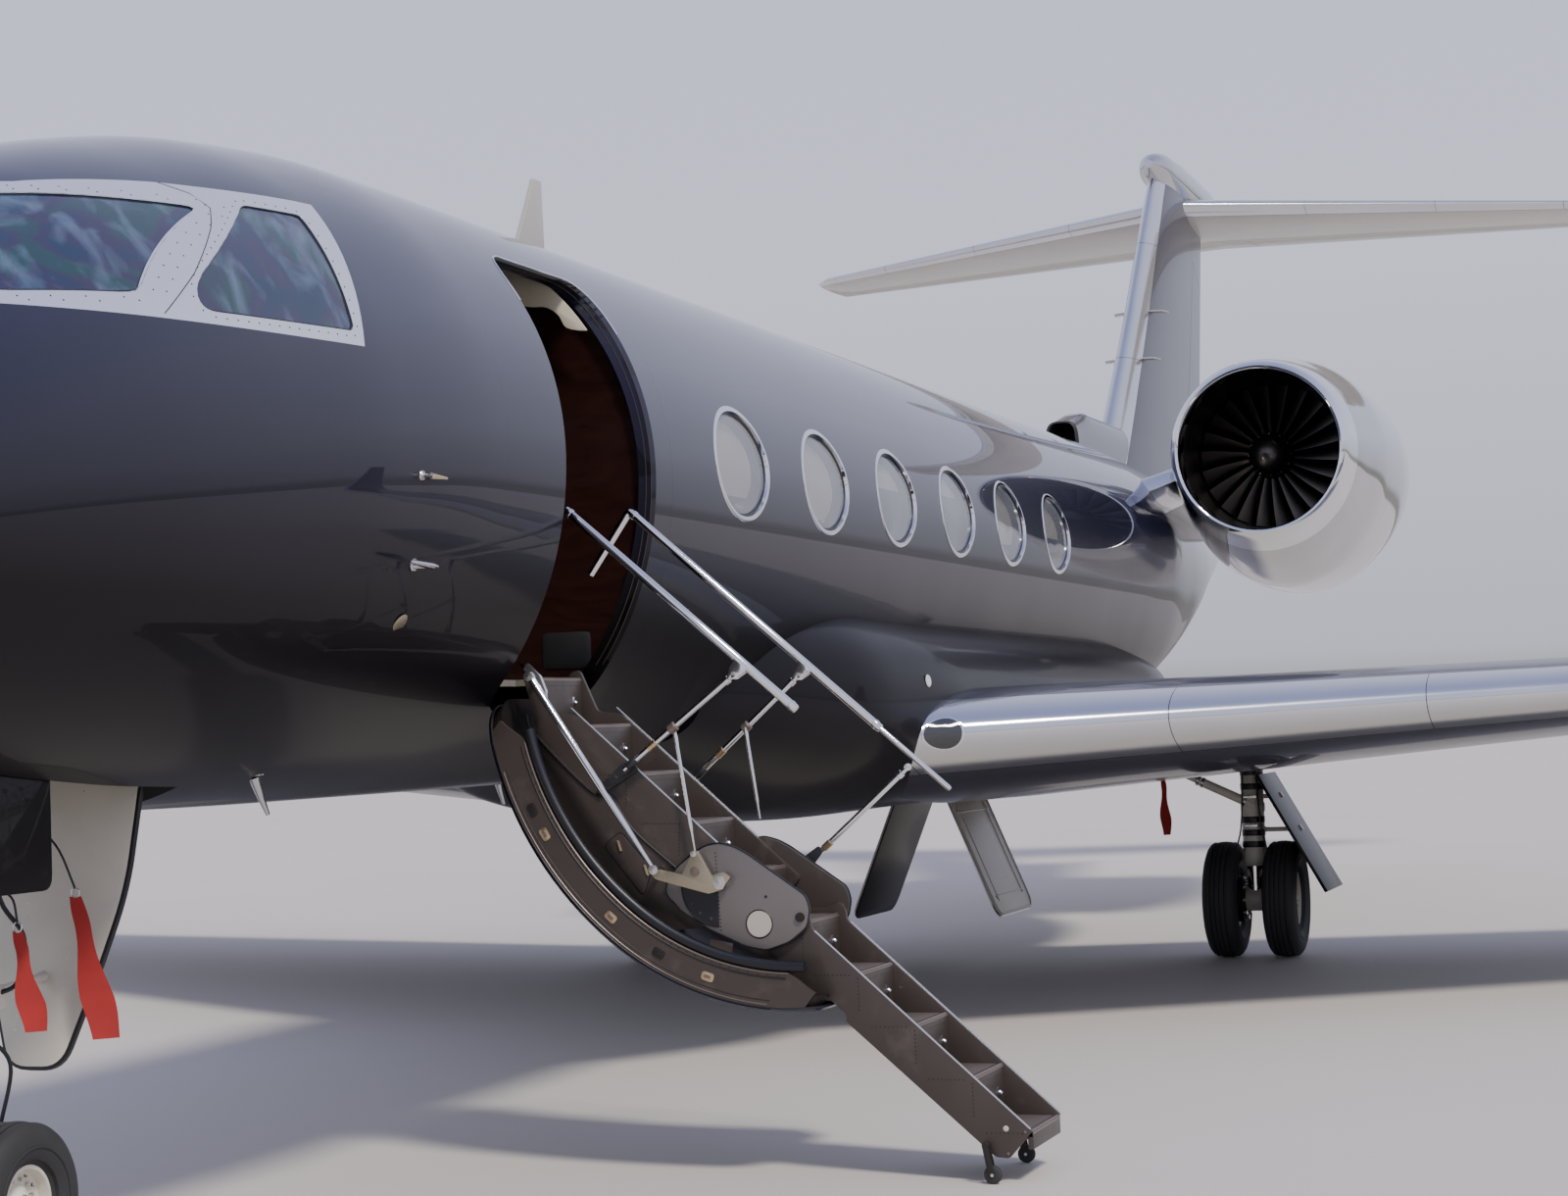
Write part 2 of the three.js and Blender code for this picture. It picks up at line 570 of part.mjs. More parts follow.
function buildTail() {
  const bullet = loft(BULLET.map(([station, radius]) =>
    ellipse([0, BULLET_HEIGHT * M], radius * M, radius * M, 12).map(([x, z]) => [x, along(station), z])));
  const { from, to, half, top, mouth } = SCOOP;
  const scoopBody = prism("x", [[along(from), 3.9 * M], [along(to), 3.9 * M], [along(to), (top + 0.1) * M],
    [along(from + 0.15), top * M], [along(from), (top - 0.05) * M]], -half * M, half * M);
  const scoopMouth = block([-mouth * M, mouth * M], [along(from - 0.1), along(from + 0.5)], [4.09 * M, 4.28 * M]);
  const tailplane = tailplaneLoft();
  const finWhole = cut(join(loft(FIN.map((row) => finRing(row))), bullet, cut(scoopBody, scoopMouth)),
    bodyPiece(15.5, TAIL_END, -TOUCH), tailplaneLoft(TOUCH));
  const rudderHinge = hingeOn(FIN, RUDDER.low, RUDDER.high, RUDDER.share,
    (z, y) => new THREE.Vector3(0, y, z * M));
  const fin = splitSurface(largest(finWhole), rudderHinge.points, new THREE.Vector3(0, 1, 0), 1.4 * M,
    rudderHinge.radii);
  place("fin", fin.rest, "navy");
  place("rudder", fin.surface, "navy");

  const elevatorHinge = hingeOn(TAILPLANE_HALF, ELEVATOR.inner, ELEVATOR.outer, ELEVATOR.share,
    (x, y) => new THREE.Vector3(x * M, y, TAILPLANE_HEIGHT * M));
  const port = splitSurface(tailplane, elevatorHinge.points, new THREE.Vector3(0, 1, 0), 1.4 * M,
    elevatorHinge.radii);
  const mirrorPoints = elevatorHinge.points.map(({ x, y, z }) => new THREE.Vector3(-x, y, z));
  const both = splitSurface(port.rest, mirrorPoints, new THREE.Vector3(0, 1, 0), 1.4 * M, elevatorHinge.radii);
  place("tailplane", both.rest, "cream");
  place("port_elevator", port.surface, "cream");
  place("starboard_elevator", mirrored(port.surface), "cream");
}

// Engines

// Cowl sections about the inlet's axis. Columns, in metres: station, half width, rise, drop.
const COWL = [
  [16.66, 0.665, 0.665, 0.665],
  [16.7, 0.7, 0.7, 0.7],
  [16.85, 0.735, 0.735, 0.76],
  [17.3, 0.8, 0.79, 0.93],
  [17.9, 0.865, 0.86, 1.06],
  [18.7, 0.88, 0.87, 1.08],
  [19.6, 0.83, 0.82, 0.95],
  [20.5, 0.69, 0.69, 0.74],
  [21.2, 0.55, 0.55, 0.57],
];
const COWL_SIDES = 26;
const ENGINE = { x: 1.875 * M, z: 3.78 * M };
const INLET = { lip: 16.66, throat: 630, fanFace: 17.25, bore: 600 };
const CORE_RADIUS = 594;
const CORE_STATION = { front: 17.62, rear: 20.95 };
const FAN = { blades: 22, tip: 582, hub: 190, station: 17.3 };

function cowlLoft(grow = 0) {
  return loft(COWL.map(([station, half, rise, drop]) =>
    Array.from({ length: COWL_SIDES }, (_, k) => {
      const angle = (2 * Math.PI * k) / COWL_SIDES;
      const high = Math.sin(angle) >= 0 ? rise : drop;
      return [ENGINE.x + (half * M + grow) * Math.cos(angle), along(station),
        ENGINE.z + (high * M + grow) * Math.sin(angle)];
    })));
}

function fanSolid(centre) {
  const hub = turned("y", [[0, -260], [90, -215], [160, -90], [FAN.hub, 0], [FAN.hub, 190], [0, 190]],
    centre, 16);
  const [x, y, z] = centre;
  const blades = Array.from({ length: FAN.blades }, (_, k) => {
    const angle = (2 * Math.PI * k) / FAN.blades;
    const ring = (radius, twist, chord, thick) => {
      const [c, s] = [Math.cos(twist), Math.sin(twist)];
      return [[-chord / 2, 0], [0, thick / 2], [chord / 2, 0], [0, -thick / 2]].map(([a, t]) => {
        const side = a * s + t * c;
        return [
          x + radius * Math.cos(angle) - side * Math.sin(angle),
          y + 100 + a * c - t * s,
          z + radius * Math.sin(angle) + side * Math.cos(angle),
        ];
      });
    };
    return loft([ring(FAN.hub - 25, 0.45, 160, 20), ring(FAN.tip, 1.0, 205, 10)]);
  });
  return join(hub, ...blades);
}

function buildEngines() {
  const inletProfile = [
    [0, -50], [680, -50], [680, 0], [655, 20], [INLET.throat, 90], [INLET.throat, 200],
    [INLET.bore, (INLET.fanFace - INLET.lip) * M], [INLET.bore, 3.9 * M], [430, 4.6 * M], [0, 4.6 * M],
  ];
  const axisPoint = (station) => [ENGINE.x, along(station), ENGINE.z];
  const cowl = cut(cowlLoft(), turned("y", inletProfile, axisPoint(INLET.lip), COWL_SIDES));
  const { front, rear } = CORE_STATION;
  const core = turned("y", [[0, 0], [CORE_RADIUS, 0], [CORE_RADIUS, 260], [430, 340],
    [400, 2.7 * M], [120, (rear - front) * M], [0, (rear - front) * M]], axisPoint(front), COWL_SIDES);
  const fan = fanSolid(axisPoint(FAN.station));
  const pylonRing = (x, lead, trail, z, half) =>
    [[-0, 0.25], [0.04, 0.8], [0.16, 1], [0.6, 1], [0.9, 0.45], [1, 0.05], [1, -0.05], [0.9, -0.45],
      [0.6, -1], [0.16, -1], [0.04, -0.8], [0, -0.25]]
      .map(([share, high]) => [x * M, along(lead + share * (trail - lead)), (z + high * half) * M]);
  const pylon = cut(
    loft([pylonRing(0.55, 16.85, 21.6, 3.4, 0.17), pylonRing(1.0, 16.88, 21.5, 3.53, 0.16),
      pylonRing(1.6, 17.0, 21.0, 3.7, 0.15)]),
    bodyPiece(15.5, TAIL_END, -TOUCH), cowlLoft(TOUCH));
  for (const [side, turn] of [["port", (solid) => solid], ["starboard", mirrored]]) {
    place(`${side}_nacelle`, turn(largest(cowl)), "polished");
    place(`${side}_pylon`, turn(largest(pylon)), "navy");
    place(`${side}_fan`, turn(fan), "fanBlade");
    place(`${side}_engine_core`, turn(core), "castIron");
  }
}

// Landing gear

const MAIN = {
  x: 2170, station: 14.1, tyreRadius: 400, tyreHalfWidth: 117, wheelOffset: 205, rimRadius: 205,
  legRadius: 80, pistonRadius: 58, axleRadius: 42,
};
const NOSE = {
  station: 2.65, tyreRadius: 266, tyreHalfWidth: 92, wheelOffset: 150, rimRadius: 130,
  legRadius: 72, pistonRadius: 45, axleRadius: 28,
};

const TYRE_SIDES = 28;
const WHEEL_SIDES = 18;

function tyreSolid({ tyreRadius: r, tyreHalfWidth: w, rimRadius: rim }, centre) {
  const inner = rim / Math.cos(Math.PI / TYRE_SIDES) + TOUCH;
  const wall = r - inner;
  const side = [[inner, 0.62 * w], [inner + 0.45 * wall, w], [inner + 0.86 * wall, 0.84 * w], [r, 0.5 * w]];
  const other = side.slice().reverse().map(([radius, reach]) => [radius, -reach]);
  const profile = [...side, ...other, side[0]];
  return turned("x", profile, centre, TYRE_SIDES);
}

// Two rims on one axle.
function wheelPair({ rimRadius: rim, tyreHalfWidth: w, wheelOffset: off, axleRadius: axle }, centre) {
  const half = 0.6 * w;
  const side = [
    [axle, off - half], [rim, off - half], [rim, off + half], [0.86 * rim, off + half],
    [0.8 * rim, off + 0.1 * w], [0.3 * rim, off + 0.3 * w], [0.2 * rim, off + 0.6 * w], [0, off + 0.6 * w],
  ];
  const other = side.slice().reverse().map(([radius, reach]) => [radius, -reach]);
  return turned("x", [...other, ...side], centre, WHEEL_SIDES);
}

function buildMainGear() {
  const { x, station, tyreRadius, wheelOffset, legRadius, pistonRadius, axleRadius } = MAIN;
  const y = along(station);
  const axle = [x, y, tyreRadius];
  const sleeveHalf = 62;
  const leg = cut(join(
    rod([x, y, 640], [x, y, 1.75 * M], legRadius, legRadius, 20),
    rod([x, y, tyreRadius], [x, y, 700], pistonRadius, pistonRadius, 16),
    rod([x - sleeveHalf, y, tyreRadius], [x + sleeveHalf, y, tyreRadius], 84, 84, 20),
    rod([1.35 * M, y - 60, 1.45 * M], [x, y - 60, 1.06 * M], 32, 32, 10),
    rod([x, y + 80, 1.0 * M], [x, y + 80, 640], 22, 22, 8),
    block([x - 40, x + 40], [y + 40, y + 100], [940, 1020]),
    block([x - 40, x + 40], [y + 40, y + 100], [630, 690]),
  ),
  rod([x - 90, y, tyreRadius], [x + 90, y, tyreRadius], axleRadius + 1.5, axleRadius + 1.5, 20),
  wingLoft(TOUCH), fairingLoft(TOUCH), bodyPiece(10, 16, -TOUCH));
  const doorOutline = [[2262, 1262], [2282, 1272], [2722, 470], [2700, 462]];
  const legDoor = cut(join(
    prism("y", doorOutline, along(13.72), along(14.42)),
    rod([x + legRadius - 10, y, 1110], [2356, y, 1110], 20, 20, 8),
    rod([x + legRadius - 10, y, 880], [2484, y, 880], 20, 20, 8),
  ), rod([x, y, 600], [x, y, 1.75 * M], legRadius + TOUCH, legRadius + TOUCH, 20),
  wingLoft(TOUCH));
  const doorEdge = 930;
  const bellyDoor = block([0, doorEdge], [along(13.3), along(14.25)], [-22, 0]);
  for (const [side, turn, sign] of [["port", (solid) => solid, 1], ["starboard", mirrored, -1]]) {
    place(`${side}_main_leg`, turn(largest(leg)), "cream");
    place(`${side}_leg_door`, turn(largest(legDoor)), "navy");
    place(`${side}_main_wheels`, turn(wheelPair(MAIN, axle)), "cream");
    place(`${side}_inner_tyre`, turn(tyreSolid(MAIN, [x - wheelOffset, y, tyreRadius])), "rubber");
    place(`${side}_outer_tyre`, turn(tyreSolid(MAIN, [x + wheelOffset, y, tyreRadius])), "rubber");
    const hinge = new THREE.Group();
    hinge.position.set(sign * BELLY_HINGE.x, 0, BELLY_HINGE.z);
    hinge.rotation.y = sign * THREE.MathUtils.degToRad(BELLY_HINGE.open);
    jet.add(hinge);
    place(`${side}_belly_door`, turn(bellyDoor), "polished", hinge);
  }
}

const BELLY_HINGE = { x: 184, z: 1210, open: 67.5 };
const NOSE_DOOR = { x: 390, z: 1.66 * M, drop: 378, from: 1.7, to: 2.56 };

function buildNoseGear() {
  const { station, tyreRadius, wheelOffset, legRadius, pistonRadius, axleRadius } = NOSE;
  const y = along(station);
  const bore = pistonRadius + 6;
  const leg = join(
    turned("z", [[0, 0], [legRadius, 0], [legRadius, -1.22 * M], [bore, -1.22 * M], [bore, -0.9 * M], [0, -0.9 * M]],
      [0, y, NOSE_BAY.top * M - TOUCH], 20),
    rod([0, y + 62, 1.22 * M], [0, along(3.22), 1.85 * M], 34, 34, 10),
    rod([TOUCH - NOSE_BAY.half, y, 1.86 * M], [NOSE_BAY.half - TOUCH, y, 1.86 * M], 40, 40, 12),
  );
  const fork = cut(join(
    rod([0, y, tyreRadius], [0, y, 1.1 * M], pistonRadius, pistonRadius, 16),
    rod([0, y, 700], [0, y, 822], 78, 78, 20),
    rod([-50, y, tyreRadius], [50, y, tyreRadius], 58, 58, 20),
    rod([0, y - 78, 760], [0, y - 170, 560], 22, 22, 8),
    rod([0, y - 170, 560], [0, y - 40, 330], 22, 22, 8),
  ), rod([-80, y, tyreRadius], [80, y, tyreRadius], axleRadius + 1.5, axleRadius + 1.5, 20));
  place("nose_leg", leg, "cream");
  place("nose_fork", largest(fork), "cream");
  place("nose_wheels", wheelPair(NOSE, [0, y, tyreRadius]), "cream");
  for (const [side, sign] of [["port", 1], ["starboard", -1]]) {
    place(`nose_tyre_${side}`, tyreSolid(NOSE, [sign * wheelOffset, y, tyreRadius]), "rubber");
    const edge = sign * NOSE_DOOR.x;
    place(`${side}_nose_door`, block([Math.min(edge, edge - sign * 18), Math.max(edge, edge - sign * 18)],
      [along(NOSE_DOOR.from), along(NOSE_DOOR.to)], [NOSE_DOOR.z - NOSE_DOOR.drop, NOSE_DOOR.z]), "navy");
  }
  const lean = new THREE.Matrix4()
    .makeTranslation(0, along(3.2), 1.66 * M)
    .multiply(new THREE.Matrix4().makeRotationX(THREE.MathUtils.degToRad(-12)));
  const tongue = [[-320, 0], [320, 0], [300, -420], [215, -720], [110, -1030], [-110, -1030], [-215, -720], [-300, -420]];
  const aftDoor = cut(join(
    moved(prism("y", tongue, 0, 22), lean),
    rod([0, y + legRadius - 10, 930], [0, along(3.06), 960], 20, 20, 8),
  ), rod([0, y, 800], [0, y, 1.9 * M], legRadius + TOUCH, legRadius + TOUCH, 20));
  place("nose_aft_door", largest(cut(aftDoor, leg)), "cream");
}

// Airstair, drawn in its open position. Along the flight u runs down and out, v stands square
// to it, from the point where the top tread's nosing line starts.
const STAIR = {
  start: [1.159 * M, 1.785 * M], pitchAngle: 42, nosing: 47, pitch: 291.5, upperTreads: 4, treads: 9,
  front: 4.975, rear: 5.435, tread: 222, firstTread: 215, riser: 198, lip: 70, threshold: 50,
  pivot: [1.2 * M, 12], end: 2.38 * M,
};
// Two castors on one bar carry the flight's end. They fold up and back as the stair stows.
const CASTOR = { pivot: [2752, 142], wheel: [2778, 34], radius: 34, bar: 8, stations: [4.962, 5.448] };
const DOOR_HINGE = { x: 0.8 * M, z: 1.83 * M, open: 129 };
// The door's front and rear edges are deep beams. Its outer end is thin where the stringers rest on it.
const DOOR_RIM = { depth: 150, width: 0.035, height: [2.05 * M, 3.45 * M] };
const DOOR_SKIN = 9;
const STRINGER_SEAT = [[1400, -200], [1700, -200], [1700, 200], [1400, 200]];
// Handrails: each hangs on a post that folds down along the flight. The rear one slides into itself.
const RAIL = { radius: 16, postRadius: 12, bore: 12.5, slider: 11 };
const FRONT_RAIL = { station: 4.925, web: 4.975, start: [-551, 600], end: [690, 615], head: [410, 560], foot: [296, -20] };
const REAR_RAIL = { station: 5.495, web: 5.435, start: [-547, 640], end: [860, 652], head: [457, 598], foot: [380, -20] };
const REAR_BEND = [-515, 330];
const SLIDER = { start: [610, 650], end: [1232, 655], boreStart: [190, 646] };
const REAR_STRUT = { station: 5.535, web: 5.455, head: [1035, 600], foot: [958, -18] };
const DRIVE_ROD = { station: 4.895, top: [-240, 6], bottom: [647, -226] };

const slope = THREE.MathUtils.degToRad(STAIR.pitchAngle);
const stairPoint = ([u, v]) => [
  STAIR.start[0] + u * Math.cos(slope) + v * Math.sin(slope),
  STAIR.start[1] - u * Math.sin(slope) + v * Math.cos(slope),
];
const stairPlate = (outline, from, to) => prism("y", outline.map(stairPoint), along(from), along(to));

// A tread with the closed riser under its nosing, which ends in the back of the tread below.
// Index -1 is the short threshold step level with the cabin floor.
function stepSolid(index, from, to, depth = STAIR.tread, riser = STAIR.riser) {
  const u = STAIR.nosing + index * STAIR.pitch;
  const [x, z] = stairPoint([u, 0]);
  const foot = z - riser;
  const step = [[x - depth, z - 26], [x - 22, z - 26], [x - 22, foot], [x, foot], [x, z], [x - depth, z]];
  return prism("y", step, along(from), along(to));
}

function openDoor(solid) {
  const turn = new THREE.Matrix4()
    .makeTranslation(DOOR_HINGE.x, 0, DOOR_HINGE.z)
    .multiply(new THREE.Matrix4().makeRotationY(THREE.MathUtils.degToRad(DOOR_HINGE.open)))
    .multiply(new THREE.Matrix4().makeTranslation(-DOOR_HINGE.x, 0, -DOOR_HINGE.z));
  return moved(solid, turn);
}

function buildAirstair() {
  const wall = cut(bodyPiece(4.5, 6, 0), bodyPiece(4.4, 6.1, DOOR_WALL));
  const rims = [[DOORWAY.front, DOORWAY.front + DOOR_RIM.width], [DOORWAY.rear - DOOR_RIM.width, DOORWAY.rear]];
  const beams = cut(bodyPiece(4.5, 6, 0), bodyPiece(4.4, 6.1, DOOR_RIM.depth)).intersect(
    join(...rims.map(([from, to]) => block([0.5 * M, 1.4 * M], [along(from), along(to)], DOOR_RIM.height))));
  const shell = wall.add(beams).intersect(prism("x", doorwayOutline(10), 0.72 * M, 1.4 * M));
  const seat = stairPlate(STRINGER_SEAT, STAIR.front - 0.013, STAIR.rear + 0.013).intersect(
    openDoor(bodyPiece(4.6, 5.9, DOOR_SKIN)));
  place("airstair_door", cut(openDoor(largest(shell)), seat), "navy");

  const inside = openDoor(bodyPiece(4.6, 5.9, DOOR_WALL + TOUCH));
  const web = [[-300, -40], [-260, 30], [-60, 0], [1000, 0], [1000, -60], [960, -240], [700, -560],
    [300, -560], [0, -420], [-100, -160]];
  const pear = [[697, -180], [712, -95], [733, -33], [770, 12], [825, 40], [881, 54], [1163, 89], [1209, 60],
    [1243, 0], [1226, -89], [1178, -173], [1109, -215], [954, -265], [814, -288], [731, -285], [705, -250]];
  const pivotBar = (from, to, radius) => stairPin(STAIR.pivot, from, to, radius, 16);
  const { front, rear } = STAIR;
  const driveBar = join(
    rod(stairPlace(DRIVE_ROD.top, DRIVE_ROD.station), stairPlace(DRIVE_ROD.bottom, DRIVE_ROD.station), 12, 12, 8),
    stairPin(DRIVE_ROD.top, DRIVE_ROD.station - 0.012, front + 0.005, 11, 8),
    stairPin(DRIVE_ROD.bottom, DRIVE_ROD.station - 0.012, front + 0.005, 11, 8),
  );
  const upper = join(
    stairPlate(web, front, front + 0.02).intersect(inside),
    stairPlate(web, rear - 0.02, rear).intersect(inside),
    stairPlate(pear, front - 0.02, front + 0.001),
    stairPlate(pear, rear - 0.001, rear + 0.02),
    driveBar,
    stepSolid(-1, front + 0.01, rear - 0.01, STAIR.threshold),
    ...Array.from({ length: STAIR.upperTreads }, (_, k) => stepSolid(k, front + 0.01, rear - 0.01, STAIR.tread,
      k === STAIR.upperTreads - 1 ? STAIR.lip : STAIR.riser)),
  );
  const rails = [FRONT_RAIL, REAR_RAIL, REAR_STRUT];
  const pinHoles = rails.map(({ foot }) => stairPin(foot, front - 0.03, rear + 0.03, RAIL.postRadius + 1.5, 12));
  place("airstair_upper", largest(cut(upper, pivotBar(front - 0.03, rear + 0.03, 22), ...pinHoles)), "stair");

  const side = [[1160, -20], [1185, 34], [1225, 30], [1250, 0], [STAIR.end, 0], [2380, -136], [2338, -168],
    [1585, -177], [1570, -156], [1490, -156], [1466, -180], [1290, -182], [1090, -172], [1040, -165], [1040, -130]];
  const lowerTreads = STAIR.treads - STAIR.upperTreads;
  const lower = join(
    stairPlate(side, front + 0.006, front + 0.026),
    stairPlate(side, rear - 0.026, rear - 0.006),
    pivotBar(front - 0.018, front + 0.02, 20),
    pivotBar(rear - 0.02, rear + 0.018, 20),
    ...Array.from({ length: lowerTreads }, (_, k) => stepSolid(k + STAIR.upperTreads, front + 0.015, rear - 0.015,
      k === 0 ? STAIR.firstTread : STAIR.tread, k === lowerTreads - 1 ? STAIR.lip : STAIR.riser)),
  );
  const bar = (radius) => rod([CASTOR.pivot[0], along(CASTOR.stations[0]), CASTOR.pivot[1]],
    [CASTOR.pivot[0], along(CASTOR.stations[1]), CASTOR.pivot[1]], radius, radius, 8);
  place("airstair_lower", largest(cut(lower, bar(CASTOR.bar + 1.5))), "stair");
  place("airstair_castors", join(bar(CASTOR.bar), ...CASTOR.stations.flatMap((station) => [
    rod([CASTOR.wheel[0], along(station) - 12, CASTOR.wheel[1]],
      [CASTOR.wheel[0], along(station) + 12, CASTOR.wheel[1]], CASTOR.radius, CASTOR.radius, 16),
    rod([CASTOR.pivot[0], along(station), CASTOR.pivot[1]], [CASTOR.wheel[0], along(station), CASTOR.wheel[1]],
      CASTOR.bar, CASTOR.bar, 8),
  ])), "rubber");

  for (const [name, rail] of [["front", FRONT_RAIL], ["rear", REAR_RAIL]]) {
    place(`${name}_rail_post`, railPost(rail), "chrome");
  }
  place("rear_rail_strut", railPost(REAR_STRUT), "chrome");
  place("front_handrail", handrail(FRONT_RAIL), "chrome");
  const at = (point) => stairPlace(point, REAR_RAIL.station);
  const bore = rod(at(SLIDER.boreStart), at([REAR_RAIL.end[0] + 20, REAR_RAIL.end[1]]), RAIL.bore, RAIL.bore, 12);
  place("rear_handrail", cut(join(handrail(REAR_RAIL),
    rod(at(REAR_RAIL.start), at(REAR_BEND), RAIL.radius, RAIL.radius, 10)), bore), "chrome");
  place("rear_rail_slider", rod(at(SLIDER.start), at(SLIDER.end), RAIL.slider, RAIL.slider, 12), "chrome");
}

const stairPlace = (point, station) => {
  const [x, z] = stairPoint(point);
  return [x, along(station), z];
};

const stairPin = (point, from, to, radius, sides) =>
  rod(stairPlace(point, from), stairPlace(point, to), radius, radius, sides);

// A post with the pin that it turns on at its foot.
function railPost({ station, web, head, foot }) {
  const inward = Math.sign(web - station);
  return join(
    rod(stairPlace(foot, station), stairPlace(head, station), RAIL.postRadius, RAIL.postRadius, 10),
    stairPin(foot, station - inward * 0.01, web + inward * 0.012, RAIL.postRadius, 10),
  );
}

// A handrail with the forked bracket that takes its post's head.
function handrail({ station, start, end, head }) {
  const [u, v] = head;
  const ear = [[u - 35, v + 45], [u + 35, v + 45], [u + 18, v - 22], [u - 18, v - 22]];
  return join(
    rod(stairPlace(start, station), stairPlace(end, station), RAIL.radius, RAIL.radius, 10),
    stairPlate(ear, station - 0.019, station - 0.0135),
    stairPlate(ear, station + 0.0135, station + 0.019),
  );
}

// Inside the cabin

function buildInterior() {
  const panel = (from, to, z, margin = TOUCH) => bodyPiece(from, to, WALL + margin).intersect(
    block([-1.2 * M, 1.2 * M], [along(from), along(to)], [z + TOUCH, z + FLOOR_THICK]));
  const doorStep = block([0.5 * M, 1.3 * M], [along(DOORWAY.front - 0.02), along(DOORWAY.rear + 0.02)],
    [1.8 * M, 2.1 * M]);
  const aft = bodyPiece(14.7, 14.84, WALL + TOUCH).intersect(
    block([-1.2 * M, 1.2 * M], [along(14.75), along(14.83)], [CABIN_FLOOR + TOUCH, 4 * M]));
  const cabinFloor = cut(panel(4.16, 14.84, CABIN_FLOOR), doorStep).add(aft);

  const above = CABIN_FLOOR + FLOOR_THICK + TOUCH;
  const aisle = block([-0.26 * M, 0.26 * M], [along(5.7), along(6)], [1.9 * M, 3.72 * M]);
  const bulkhead = cut(bodyPiece(5.8, 5.85, WALL + TOUCH).intersect(
    block([-1.2 * M, 1.2 * M], [along(5.8), along(5.85)], [above, 4 * M])), aisle);
  const wardrobe = bodyPiece(4.2, 5.81, WALL + TOUCH).intersect(
    block([-1.15 * M, -0.42 * M], [along(4.35), along(5.81)], [above, 3.72 * M]));
  place("forward_bulkhead", bulkhead.add(wardrobe), "wood");

  const rows = [6.9, 8.5, 10.1, 11.7, 13.2];
  const seatBase = above + TOUCH;
  const tracks = block([-0.5 * M, 0.5 * M], [along(6.6), along(13.7)], [above, above + 8]);
  const seats = rows.flatMap((station) => [-1, 1].flatMap((sign) => {
    const y = along(station);
    const x = sign * 0.5 * M;
    return [
      block([x - 250, x + 250], [y - 290, y + 280], [seatBase, seatBase + 450]),
      block([x - 250, x + 250], [y + 160, y + 320], [seatBase + 400, seatBase + 1100]),
    ];
  }));
  place("cabin_seats", largest(join(tracks, ...seats)), "leather");

  const deck = COCKPIT_FLOOR + TOUCH;
  const cockpitStep = block([-0.55 * M, 0.55 * M], [along(4.161), along(4.18)], [CABIN_FLOOR + TOUCH, deck + 24]);
  const cockpit = join(
    bodyPiece(1.7, 4.2, WALL + TOUCH).intersect(
      block([-1.1 * M, 1.1 * M], [along(1.9), along(4.18)], [deck, deck + 24])),
    bodyPiece(1.7, 2.6, WALL + TOUCH + 6).intersect(
      block([-0.95 * M, 0.95 * M], [along(1.95), along(2.45)], [deck, 2.98 * M])),
    block([-0.14 * M, 0.14 * M], [along(2.4), along(3.5)], [deck, 2.7 * M]),
    ...[-1, 1].flatMap((sign) => [
      block([sign * 0.48 * M - 230, sign * 0.48 * M + 230], [along(3.05), along(3.6)], [deck, 2.62 * M]),
      block([sign * 0.48 * M - 220, sign * 0.48 * M + 220], [along(3.5), along(3.66)], [deck, 3.3 * M]),
    ]),
  );
  place("cabin_floor", largest(join(cabinFloor, cockpitStep, cockpit)), "carpet");
}

buildFuselage();
buildFairing();
buildWings();
buildTail();
buildEngines();
buildMainGear();
buildNoseGear();
buildAirstair();
buildInterior();

export default jet;
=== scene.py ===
"""Looks of a parked business jet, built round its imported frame: skin, glass, stair, gear and trim."""

import math
from functools import partial

import bmesh
import bpy
import numpy as np
from bpy.props import FloatProperty, FloatVectorProperty, IntProperty, PointerProperty
from mathutils import Matrix, Vector


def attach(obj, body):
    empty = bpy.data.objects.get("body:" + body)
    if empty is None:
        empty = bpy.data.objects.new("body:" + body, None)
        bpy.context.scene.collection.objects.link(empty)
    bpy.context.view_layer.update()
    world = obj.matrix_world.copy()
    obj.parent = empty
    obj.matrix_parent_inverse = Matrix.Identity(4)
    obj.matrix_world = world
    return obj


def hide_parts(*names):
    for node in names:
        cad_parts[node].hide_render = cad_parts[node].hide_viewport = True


bl_info = {
    "name": "Parked business jet",
    "version": (1, 0, 0),
    "blender": (4, 5, 0),
    "location": "3D View > Sidebar > Jet",
    "description": "Builds the skin, glass, airstair, gear, engines and cabin of a parked business jet",
    "category": "Object",
}

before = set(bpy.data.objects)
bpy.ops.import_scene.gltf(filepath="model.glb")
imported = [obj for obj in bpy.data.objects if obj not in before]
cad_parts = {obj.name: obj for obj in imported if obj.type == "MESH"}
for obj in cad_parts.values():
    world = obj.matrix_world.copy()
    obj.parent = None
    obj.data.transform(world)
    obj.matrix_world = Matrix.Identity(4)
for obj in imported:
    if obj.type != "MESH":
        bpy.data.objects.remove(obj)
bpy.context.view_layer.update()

# Stations are metres aft of the nose tip. Y is zero at half the length.
HALF_LENGTH = 13.46
OUTER, LINING, EDGE, CUT = range(4)


def along(station):
    return station - HALF_LENGTH


# Sizes and colours a user would change


def colour(label, value):
    return FloatVectorProperty(
        name=label, description=f"Colour of the {label.lower()}", subtype="COLOR",
        size=3, min=0, max=1, default=value)


def length(label, value, description):
    return FloatProperty(
        name=label, description=description, unit="LENGTH", subtype="DISTANCE", default=value)


